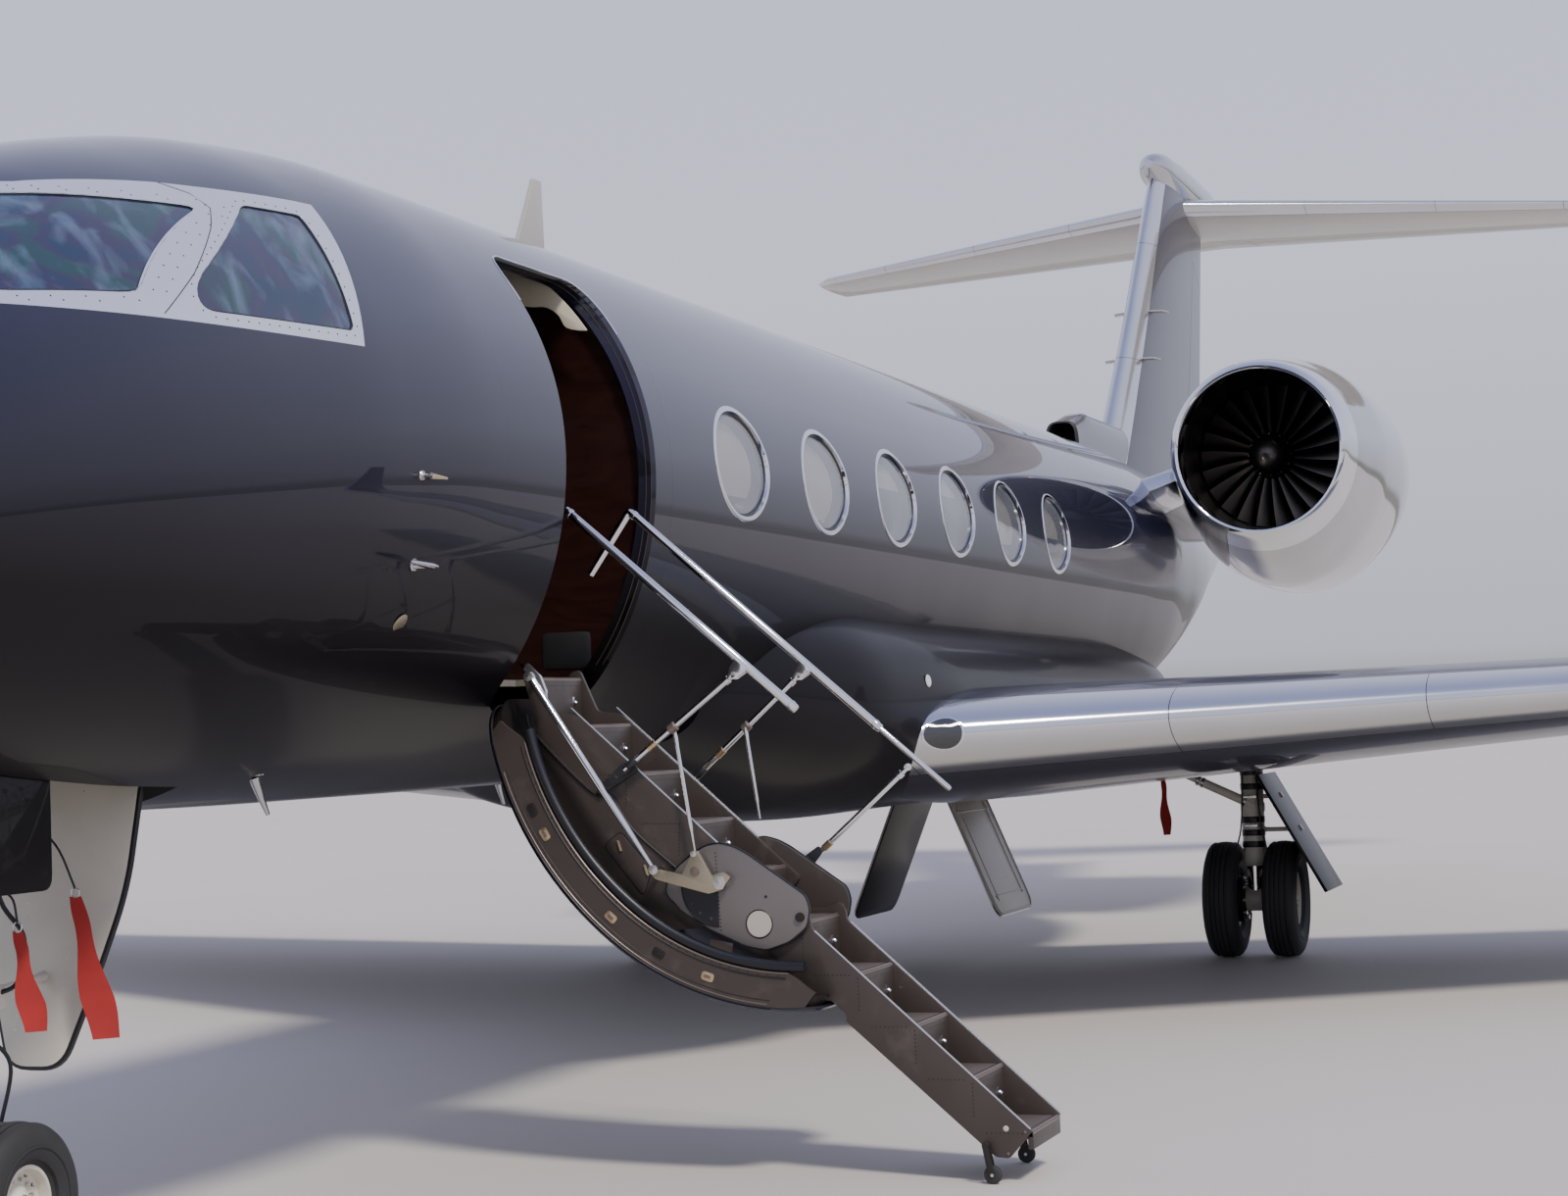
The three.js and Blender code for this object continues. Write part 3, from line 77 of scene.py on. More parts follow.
class JetSizes(bpy.types.PropertyGroup):
    """Sizes of the jet's trim"""

    skin_sides: IntProperty(name="Skin sides", description="Facets round the fuselage", default=144, min=24)
    cowl_sides: IntProperty(name="Cowl sides", description="Facets round an engine cowl", default=72, min=16)
    rail_radius: length("Handrail", 0.0175, "Radius of the handrail tube")
    rivet_radius: length("Rivet", 0.0035, "Radius of a rivet head")
    ring_width: length("Window ring", 0.024, "Width of the polished ring round a cabin window")
    groove_depth: length("Tyre groove", 0.008, "Depth of a tyre's grooves")


class JetColours(bpy.types.PropertyGroup):
    """Colours of the jet's finishes"""

    navy: colour("Body paint", (0.010, 0.010, 0.026))
    cream: colour("Gear paint", (0.80, 0.755, 0.65))
    tail: colour("Tail paint", (0.47, 0.44, 0.39))
    stair: colour("Stair paint", (0.066, 0.052, 0.045))
    ribbon: colour("Pin ribbon", (0.32, 0.012, 0.010))
    cast: colour("Cast lever", (0.50, 0.44, 0.32))
    wood: colour("Cabin veneer", (0.016, 0.005, 0.0035))
    leather: colour("Seat leather", (0.55, 0.47, 0.35))
    headliner: colour("Headliner", (0.68, 0.62, 0.48))


def sizes():
    return bpy.context.scene.jet_sizes


def colours():
    return bpy.context.scene.jet_colours


# Materials


class Value:
    """A shader output that Python maths can be written with: | is the larger value and & the smaller."""

    def __init__(self, finish, socket):
        self.finish = finish
        self.socket = socket

    def __add__(self, other):
        return self.finish.maths("ADD", self, other)

    def __sub__(self, other):
        return self.finish.maths("SUBTRACT", self, other)

    def __rsub__(self, other):
        return self.finish.maths("SUBTRACT", other, self)

    def __mul__(self, other):
        return self.finish.maths("MULTIPLY", self, other)

    def __truediv__(self, other):
        return self.finish.maths("DIVIDE", self, other)

    def __lt__(self, other):
        return self.finish.maths("LESS_THAN", self, other)

    def __gt__(self, other):
        return self.finish.maths("GREATER_THAN", self, other)

    def __abs__(self):
        return self.finish.maths("ABSOLUTE", self)

    def __mod__(self, other):
        return self.finish.maths("FLOORED_MODULO", self, other)

    def __or__(self, other):
        return self.finish.maths("MAXIMUM", self, other)

    def __and__(self, other):
        return self.finish.maths("MINIMUM", self, other)

    __radd__ = __add__
    __rmul__ = __mul__


class Finish:
    """Builds one material: a Principled shader and the nodes that feed it."""

    def __init__(self, name, **fixed):
        self.material = bpy.data.materials.new(name)
        self.material.use_nodes = True
        self.tree = self.material.node_tree
        self.tree.nodes.clear()
        output = self.tree.nodes.new("ShaderNodeOutputMaterial")
        self.shader = self.tree.nodes.new("ShaderNodeBsdfPrincipled")
        self.tree.links.new(self.shader.outputs[0], output.inputs[0])
        for key, value in fixed.items():
            self.feed(key.replace("_", " "), value)

    def feed(self, socket, value, node=None):
        """Sets or links one socket of the shader or of another node."""
        target = (node or self.shader).inputs[socket]
        if isinstance(value, Value):
            self.tree.links.new(value.socket, target)
        elif hasattr(target.default_value, "__len__"):
            value = tuple(value)
            target.default_value = value + (1.0,) * (len(target.default_value) - len(value))
        else:
            target.default_value = value

    def node(self, kind, settings, values, output=0):
        """Adds a node: its settings first, then the values or links of its sockets."""
        node = self.tree.nodes.new(kind)
        for key, value in settings.items():
            if key == "stops":
                while len(node.color_ramp.elements) < len(value):
                    node.color_ramp.elements.new(0.5)
                for element, (position, tint) in zip(node.color_ramp.elements, value):
                    element.position, element.color = position, (*tint, 1)
            else:
                setattr(node, key, value)
        for key, value in values.items():
            self.feed(key, value, node)
        return Value(self, node.outputs[output])

    def maths(self, operation, *inputs):
        return self.node("ShaderNodeMath", {"operation": operation}, dict(enumerate(inputs)))

    def mix(self, factor, low, high):
        """Mixes two colours."""
        return self.node("ShaderNodeMix", {"data_type": "RGBA"}, {0: factor, 6: low, 7: high}, 2)

    def place(self, axis):
        """The X, Y or Z of a point of the object, in metres."""
        point = self.node("ShaderNodeTexCoord", {}, {}, "Object")
        return self.node("ShaderNodeSeparateXYZ", {}, {0: point}, axis)

    def across(self, axis):
        """The piece's own surface coordinates."""
        flat = self.node("ShaderNodeUVMap", {"uv_map": "flat"}, {})
        return self.node("ShaderNodeSeparateXYZ", {}, {0: flat}, axis)

    def noise(self, scale, detail=2.0, stretch=(1, 1, 1), distortion=0.0):
        point = self.node("ShaderNodeTexCoord", {}, {}, "Object")
        mapped = self.node("ShaderNodeVectorMath", {"operation": "MULTIPLY"}, {0: point, 1: stretch})
        return self.node("ShaderNodeTexNoise", {},
                         {"Vector": mapped, "Scale": scale, "Detail": detail, "Distortion": distortion})

    def bump(self, height, distance, strength=1.0):
        values = {"Height": height, "Distance": distance, "Strength": strength}
        self.feed("Normal", self.node("ShaderNodeBump", {}, values))

    def rough(self, low, high, grain):
        """Roughness that wanders between two values."""
        self.feed("Roughness", low + (high - low) * grain)


class Air(Finish):
    """The studio's surroundings: a pale horizon under a bluer sky."""

    def __init__(self, name):
        self.world = bpy.data.worlds.new(name)
        self.world.use_nodes = True
        self.tree = self.world.node_tree
        self.tree.nodes.clear()
        output = self.tree.nodes.new("ShaderNodeOutputWorld")
        point = self.node("ShaderNodeTexCoord", {}, {}, "Generated")
        height = self.node("ShaderNodeSeparateXYZ", {}, {0: point}, "Z")
        stops = ((0.0, (0.34, 0.33, 0.32)), (0.02, (0.64, 0.65, 0.74)), (0.16, (0.80, 0.83, 1.0)),
                 (0.5, (0.74, 0.77, 1.0)), (1.0, (0.38, 0.43, 0.74)))
        sky = self.node("ShaderNodeValToRGB", {"stops": stops}, {0: height})
        light = self.node("ShaderNodeBackground", {}, {"Color": sky, "Strength": 1.0})
        self.tree.links.new(light.socket, output.inputs[0])


def scaled(tint, factor):
    return tuple(min(1.0, channel * factor) for channel in tint)


def tint_of(tint):
    """A tint as it is given, or the name of a user's colour with the factor that scales it."""
    return scaled(getattr(colours(), tint[0]), tint[1]) if isinstance(tint[0], str) else tint


# Stations of the panel seams
BODY_SEAMS = (1.1, 1.62, 4.35, 5.95, 8.95, 11.95, 15.0, 17.6, 19.8)
COWL_SEAMS = (16.95, 18.05, 19.9, 20.7)
SEAM_HALF = 0.0014
GAP_TINT = (0.001, 0.001, 0.002)
# The belly's brown-black: a painted reflection of the ground.
GROUND_REFLECTION_TINT = (0.006, 0.0048, 0.0044)


def painted_skin(name, tint, seams=(), turned=False):
    """Dark gloss paint, duller under the belly, with panel seams, a slight wave and a painted reflection:
    brown-black towards the belly, lighter above.

    A turned skin is drawn open, and takes the height that it has when it is shut, so its painted reflection
    matches the shut door.
    """
    tint = tint_of(tint)
    finish = Finish(name, Coat_Roughness=0.012, Coat_IOR=1.7, Specular_IOR_Level=0.1)
    y, z = finish.place("Y"), finish.place("Z")
    if turned:
        angle = math.radians(DOOR_HINGE["open"])
        rise = (z - DOOR_HINGE["z"]) * math.cos(angle)
        z = (finish.place("X") - DOOR_HINGE["x"]) * math.sin(angle) + rise + DOOR_HINGE["z"]
    line = y < -100
    for station in seams:
        line = line | (abs(y - along(station)) < SEAM_HALF)
    # Painted reflection: low down the paint takes the ground's brown-black, higher up a lighter navy for the
    # sky.
    high = ((z - 2.2) / 1.1 | 0.0) & 1.0
    drift = finish.noise(0.9, 2)
    base = finish.mix(high, GROUND_REFLECTION_TINT, scaled(tint, 1.6))
    base = finish.mix(drift * 0.5, base, scaled(tint, 0.6))
    finish.feed("Base Color", finish.mix(line, base, GAP_TINT))
    finish.feed("Coat Weight", high * 0.87 + 0.13)
    finish.rough(0.3, 0.4, drift)
    wave = finish.noise(2.1, 1, (1, 0.6, 1))
    finish.bump(wave - line * 0.5, 0.0016, 0.35)
    return finish


def tail_paint():
    """Greige paint, dusty and streaked along the flow."""
    finish = Finish("tail_paint", Coat_Weight=0.6, Coat_Roughness=0.08)
    dust = finish.noise(3.0, 4)
    streak = finish.noise(1.2, 3, (6, 0.6, 6))
    dirt = dust * 0.3 + streak * 0.3
    finish.feed("Base Color", finish.mix(dirt, colours().tail, scaled(colours().tail, 0.72)))
    finish.rough(0.22, 0.42, dust)
    finish.bump(streak, 0.001, 0.2)
    return finish


def edged_skin(name, tint, share):
    """Paint with a polished metal strip along the leading edge, up to a share of the chord."""
    tint = tint_of(tint)
    finish = Finish(name)
    chord = finish.across("X")
    span = finish.across("Y")
    bare = chord < share
    drift = finish.noise(1.3, 2)
    joint = (abs(chord - share) < 0.002) | ((span % 1.27) < 0.004) & bare
    paint = finish.mix(drift, scaled(tint, 0.8), scaled(tint, 1.2))
    metal = finish.mix(drift, (0.62, 0.63, 0.66), (0.72, 0.73, 0.76))
    base = finish.mix(bare, paint, metal)
    finish.feed("Base Color", finish.mix(joint, base, (0.03, 0.03, 0.035)))
    finish.feed("Metallic", bare)
    finish.feed("Roughness", 0.34 - bare * 0.24 + drift * 0.06)
    finish.feed("Coat Weight", (1.0 - bare) * 0.45)
    wave = finish.noise(2.4, 1)
    finish.bump(wave - joint * 0.4, 0.0012, 0.3)
    return finish


def metal(name, tint, low, high, grain=(1, 1, 1), scale=40, seams=(), dirt=0.0, metallic=1.0):
    """Bare metal with a brushed grain, stains and, where asked, seams."""
    tint = tint_of(tint)
    finish = Finish(name, Metallic=metallic)
    brushed = finish.noise(scale, 3, grain)
    stain = finish.noise(2.2, 4)
    base = finish.mix(brushed * 0.5 + stain * 0.3, tint, scaled(tint, 0.82 - dirt))
    line = brushed < -1
    y = finish.place("Y")
    for station in seams:
        line = line | (abs(y - along(station)) < 0.0018)
    finish.feed("Base Color", finish.mix(line, base, scaled(tint, 0.12)))
    finish.rough(low, high, brushed * 0.6 + stain * 0.4)
    finish.bump(brushed - line * 4, 0.00035, 0.25)
    return finish


def coated(name, tint, low, high, metallic=0.0, scale=30, depth=0.0006, worn=0.0, spread=0.72, coat=0.0):
    """Paint, rubber or plastic with a grain, some dirt and, where asked, worn bright patches."""
    tint = tint_of(tint)
    finish = Finish(name, Metallic=metallic, Coat_Weight=coat)
    grain = finish.noise(scale * 8, 2)
    dirt = finish.noise(scale / 6, 5, distortion=0.4)
    base = finish.mix(dirt, tint, scaled(tint, spread))
    if worn:
        patch = ((finish.noise(scale / 3, 4) - (1 - worn)) * 5 | 0.0) & 1.0
        base = finish.mix(patch * 0.5, base, scaled(tint, 1.9))
    finish.feed("Base Color", base)
    finish.rough(low, high, grain * 0.5 + dirt * 0.5)
    finish.bump(grain, depth, 0.4)
    return finish


def lining():
    """Cabin lining: headliner above, veneer below."""
    finish = Finish("cabin_lining")
    high = finish.place("Z") > 3.42
    figure = finish.noise(5.0, 6, (0.6, 0.6, 3.0), 2.2)
    wood = finish.mix(figure, scaled(colours().wood, 0.45), scaled(colours().wood, 1.9))
    finish.feed("Base Color", finish.mix(high, wood, colours().headliner))
    finish.feed("Roughness", 0.35 + high * 0.5)
    finish.feed("Coat Weight", 0.3 - high * 0.3)
    finish.bump(finish.noise(60, 2), 0.0004, 0.2)
    return finish


def veneer():
    """Glossy dark cabin wood."""
    finish = Finish("veneer", Coat_Weight=0.9, Coat_Roughness=0.05)
    figure = finish.noise(4.0, 8, (0.6, 0.6, 2.4), 3.0)
    finish.feed("Base Color", finish.mix(figure, scaled(colours().wood, 0.4), scaled(colours().wood, 2.2)))
    finish.rough(0.25, 0.4, figure)
    return finish


def leather():
    """Pale seat leather with pores."""
    finish = Finish("seat_leather", Sheen_Weight=0.1)
    pores = finish.node("ShaderNodeTexVoronoi", {}, {"Scale": 260.0})
    soft = finish.noise(3.0, 3)
    finish.feed("Base Color", finish.mix(soft, colours().leather, scaled(colours().leather, 0.75)))
    finish.rough(0.42, 0.6, soft)
    finish.bump(pores, 0.0006, 0.5)
    return finish


def carpet():
    """Short carpet pile."""
    finish = Finish("cabin_carpet", Sheen_Weight=0.2, Roughness=0.95)
    pile = finish.noise(420, 3)
    finish.feed("Base Color", finish.mix(pile, (0.13, 0.115, 0.1), (0.26, 0.235, 0.2)))
    finish.bump(pile, 0.003, 0.7)
    return finish


def ribbon():
    """Woven red ribbon, a little faded."""
    finish = Finish("pin_ribbon", Sheen_Weight=0.3)
    x, z = finish.place("X"), finish.place("Z")
    weave = abs((x * 900) % 2 - 1) * 0.5 + abs((z * 900) % 2 - 1) * 0.5
    fade = finish.noise(9, 3)
    finish.feed("Base Color", finish.mix(fade, scaled(colours().ribbon, 0.7),
                                         scaled(colours().ribbon, 1.25)))
    finish.rough(0.75, 0.9, weave)
    finish.bump(weave, 0.0006, 0.5)
    return finish


def cockpit_glass():
    """Dark glass with a coloured film and pale bluish streaks, a painted reflection of the sky."""
    finish = Finish("cockpit_glass", Coat_Weight=1.0, Coat_Roughness=0.01, Roughness=0.06, IOR=1.5)
    drift = finish.noise(2.6, 3, distortion=1.2)
    # The pale streaks are a painted reflection of clouds on the glass.
    streak = ((finish.noise(2.4, 4, (3.4, 3.4, 0.7), 0.5) - 0.5) * 4.5 | 0.0) & 1.0
    stops = ((0.0, (0.006, 0.016, 0.05)), (0.42, (0.01, 0.03, 0.075)), (0.52, (0.028, 0.02, 0.065)),
             (0.58, (0.012, 0.045, 0.055)), (1.0, (0.008, 0.024, 0.06)))
    film = finish.node("ShaderNodeValToRGB", {"stops": stops}, {"Fac": drift})
    finish.feed("Base Color", finish.mix(streak * 0.55, film, (0.15, 0.23, 0.36)))
    finish.feed("Alpha", 0.72 + drift * 0.2)
    return finish


def cabin_glass():
    """Cabin glass whose pale tint is a painted reflection of the sky, paler and less clear in patches."""
    finish = Finish("cabin_glass", Coat_Weight=1.0, Coat_Roughness=0.01, Roughness=0.05)
    painted_reflection_patch = finish.noise(2.0, 3)
    # Painted reflection: the pale tints stand in for sky seen in the glass.
    finish.feed("Base Color", finish.mix(painted_reflection_patch, (0.20, 0.21, 0.245), (0.34, 0.35, 0.39)))
    finish.feed("Alpha", 0.5 + painted_reflection_patch * 0.3)
    return finish


def screen():
    """A dark cockpit screen with faint lines."""
    finish = Finish("cockpit_screen", Coat_Weight=1.0, Roughness=0.15)
    rows = abs((finish.place("Z") * 90) % 2 - 1) > 0.8
    finish.feed("Base Color", finish.mix(rows * 0.5, (0.008, 0.01, 0.014), (0.03, 0.06, 0.05)))
    return finish


def floor_paint():
    """The studio's pale floor."""
    finish = Finish("floor_paint", Roughness=0.75)
    tone = finish.noise(0.35, 3)
    finish.feed("Base Color", finish.mix(tone, (0.54, 0.505, 0.465), (0.59, 0.555, 0.515)))
    return finish


# Each row of the tables below: material, tint, the builder's other places, then its settings by name.
METALS = {
    "polished": ("polished_metal", (0.62, 0.62, 0.64), 0.03, 0.09, dict(seams=COWL_SEAMS, scale=3)),
    "lip_chrome": ("inlet_lip", (0.86, 0.87, 0.9), 0.03, 0.09, dict(scale=5)),
    # Bare frame metal, bright in its own right; its blue tint is a painted reflection of the sky.
    "bare_frame": ("bare_frame", (0.78, 0.79, 0.87), 0.14, 0.3,
                   dict(grain=(1, 1, 14), scale=30, metallic=0.7)),
    "chrome": ("chrome_tube", (0.86, 0.86, 0.87), 0.04, 0.12, dict(scale=12)),
    "bright_edge": ("bright_edge", (0.68, 0.66, 0.64), 0.16, 0.4, dict(scale=60)),
    "fan_metal": ("fan_metal", (0.10, 0.092, 0.085), 0.28, 0.42, dict(scale=30)),
    "hot_metal": ("hot_metal", (0.34, 0.29, 0.25), 0.3, 0.5, dict(scale=14, dirt=0.2)),
    "cast_lever": ("cast_lever", ("cast", 1), 0.32, 0.5, dict(scale=90)),
    "brass": ("brass_latch", (0.66, 0.5, 0.3), 0.22, 0.4, dict(scale=60)),
}
COATINGS = {
    "stair_paint": ("stair_paint", ("stair", 1), 0.34, 0.52, dict(metallic=0.2, scale=26, worn=0.42)),
    # A lighter copy of the stair paint for the front pear plate: a painted highlight of the sky.
    "pear_paint": ("pear_paint", (0.19, 0.172, 0.168), 0.26, 0.4, dict(metallic=0.35, scale=12)),
    "worn_edge": ("worn_edge", ("stair", 3.2), 0.3, 0.45, dict(metallic=0.5)),
    "stair_dark": ("stair_dark", ("stair", 0.3), 0.4, 0.6, dict(metallic=0.2, scale=26)),
    "tread_grip": ("tread_grip", ("stair", 1.5), 0.55, 0.8, dict(metallic=0.1, scale=60, depth=0.0025)),
    "cream_paint": ("cream_paint", ("cream", 1), 0.3, 0.5, dict(scale=14, spread=0.6)),
    "door_greige": ("door_greige", (0.58, 0.53, 0.46), 0.3, 0.45, dict(scale=8, spread=0.7)),
    "bay_paint": ("bay_paint", (0.24, 0.25, 0.18), 0.5, 0.7, dict(scale=10, spread=0.5)),
    "rubber": ("tyre_rubber", (0.018, 0.018, 0.019), 0.62, 0.85, dict(scale=40, depth=0.0012, spread=1.9)),
    "seal": ("seal_rubber", (0.008, 0.009, 0.014), 0.3, 0.45, {}),
    "dark_plastic": ("dark_plastic", (0.02, 0.021, 0.023), 0.35, 0.55, dict(scale=60)),
    "white_plastic": ("white_plastic", (0.62, 0.6, 0.55), 0.35, 0.5, {}),
    "headliner": ("headliner", ("headliner", 1), 0.7, 0.9, dict(scale=50, depth=0.0008, spread=0.88)),
    "lamp_glass": ("lamp_glass", (0.03, 0.034, 0.04), 0.05, 0.12, dict(scale=12, coat=1.0)),
    "lamp": ("lamp_lens", (0.75, 0.78, 0.8), 0.05, 0.15, dict(scale=12, coat=1.0)),
}
SKINS = {
    "navy_paint": ("navy_paint", ("navy", 1), BODY_SEAMS, {}),
    "door_paint": ("door_paint", ("navy", 1), dict(turned=True)),
}
EDGED = {
    "wing_skin": ("wing_skin", ("navy", 1), 0.06, {}),
    "fin_skin": ("fin_skin", ("navy", 1), 0.1, {}),
    "tailplane_skin": ("tailplane_skin", ("tail", 1), 0.07, {}),
}
FINISHES = {builder.__name__: builder for builder in (
    tail_paint, lining, veneer, leather, carpet, ribbon, cockpit_glass, cabin_glass, screen, floor_paint)}
for builder, table in ((metal, METALS), (coated, COATINGS), (painted_skin, SKINS), (edged_skin, EDGED)):
    for name, row in table.items():
        FINISHES[name] = partial(builder, *row[:-1], **row[-1])
MADE = {}


def finish_of(name):
    """The material of that name, made the first time it is asked for."""
    if name not in MADE:
        MADE[name] = FINISHES[name]().material
    return MADE[name]


# Mesh tools

# Turn an outline's pairs into Y and Z, or into X and Z, with its depth along X or Y.
FACING_X = Matrix(((0, 0, 1, 0), (1, 0, 0, 0), (0, 1, 0, 0), (0, 0, 0, 1)))
FACING_Y = Matrix(((1, 0, 0, 0), (0, 0, 1, 0), (0, 1, 0, 0), (0, 0, 0, 1)))


def turns(count):
    """Angles at an even pitch round a full turn."""
    return np.linspace(0, math.tau, count, endpoint=False)


def between(start, end, *shares):
    """Points at shares of the way from one point to another."""
    return [start.lerp(end, share) for share in shares]


def pchip(table):
    """A smooth curve through a table's rows that doesn't overshoot them. The first column is the key."""
    rows = np.array(table, float)
    keys, values = rows[:, 0], rows[:, 1:]
    slope = np.diff(values, axis=0) / np.diff(keys)[:, None]
    tangent = np.zeros_like(values)
    tangent[0], tangent[-1] = slope[0], slope[-1]
    product = slope[:-1] * slope[1:]
    total = np.where(np.abs(slope[:-1] + slope[1:]) < 1e-9, 1, slope[:-1] + slope[1:])
    tangent[1:-1] = np.where(product > 0, 2 * product / total, 0)

    def at(key):
        key = np.atleast_1d(np.asarray(key, float))
        low = np.clip(np.searchsorted(keys, key, side="right") - 1, 0, len(keys) - 2)
        span = (keys[low + 1] - keys[low])[:, None]
        t = np.clip((key - keys[low])[:, None] / span, 0, 1)
        return ((2 * t**3 - 3 * t**2 + 1) * values[low] + (t**3 - 2 * t**2 + t) * span * tangent[low]
                + (3 * t**2 - 2 * t**3) * values[low + 1] + (t**3 - t**2) * span * tangent[low + 1])

    return at


def rounded(outline, radius, steps=6):
    """An outline with its corners rounded off."""
    result = []
    count = len(outline)
    for i, corner in enumerate(outline):
        here = Vector(corner)
        before = Vector(outline[i - 1]) - here
        after = Vector(outline[(i + 1) % count]) - here
        reach = radius[i] if hasattr(radius, "__len__") else radius
        start = here + before.normalized() * min(reach, before.length * 0.49)
        end = here + after.normalized() * min(reach, after.length * 0.49)
        for k in range(steps + 1):
            t = k / steps
            result.append(tuple((1 - t) ** 2 * start + 2 * t * (1 - t) * here + t**2 * end))
    return result


def oval(centre, half_width, half_height, count=48):
    """Points round an oval."""
    return [(centre[0] + half_width * math.cos(a), centre[1] + half_height * math.sin(a))
            for a in turns(count)]


def spread(outline, margin):
    """Moves a closed outline outwards by a margin."""
    points = [Vector(p) for p in outline]
    area = sum(a.x * b.y - b.x * a.y for a, b in zip(points, points[1:] + points[:1]))
    turn = 1 if area > 0 else -1
    result = []
    for i, point in enumerate(points):
        ahead = points[(i + 1) % len(points)] - points[i - 1]
        if ahead.length < 1e-9:
            continue
        normal = Vector((ahead.y, -ahead.x)).normalized() * turn
        result.append(tuple(point + normal * margin))
    return result


def resampled(path, pitch, closed=True):
    """Points at an even pitch along a path."""
    points = [Vector(p) for p in path] + ([Vector(path[0])] if closed else [])
    steps = [0.0]
    for a, b in zip(points, points[1:]):
        steps.append(steps[-1] + (b - a).length)
    count = max(2, round(steps[-1] / pitch))
    marks = np.linspace(0, steps[-1], count + (0 if closed else 1), endpoint=not closed)
    array = np.array([tuple(p) for p in points])
    return [tuple(np.interp(mark, steps, array[:, axis]) for axis in range(array.shape[1]))
            for mark in marks]


def facing(direction, origin=(0, 0, 0)):
    """A matrix at a point whose Z looks along a direction."""
    turn = Vector(direction).to_track_quat("Z", "Y")
    return Matrix.Translation(origin) @ turn.to_matrix().to_4x4()


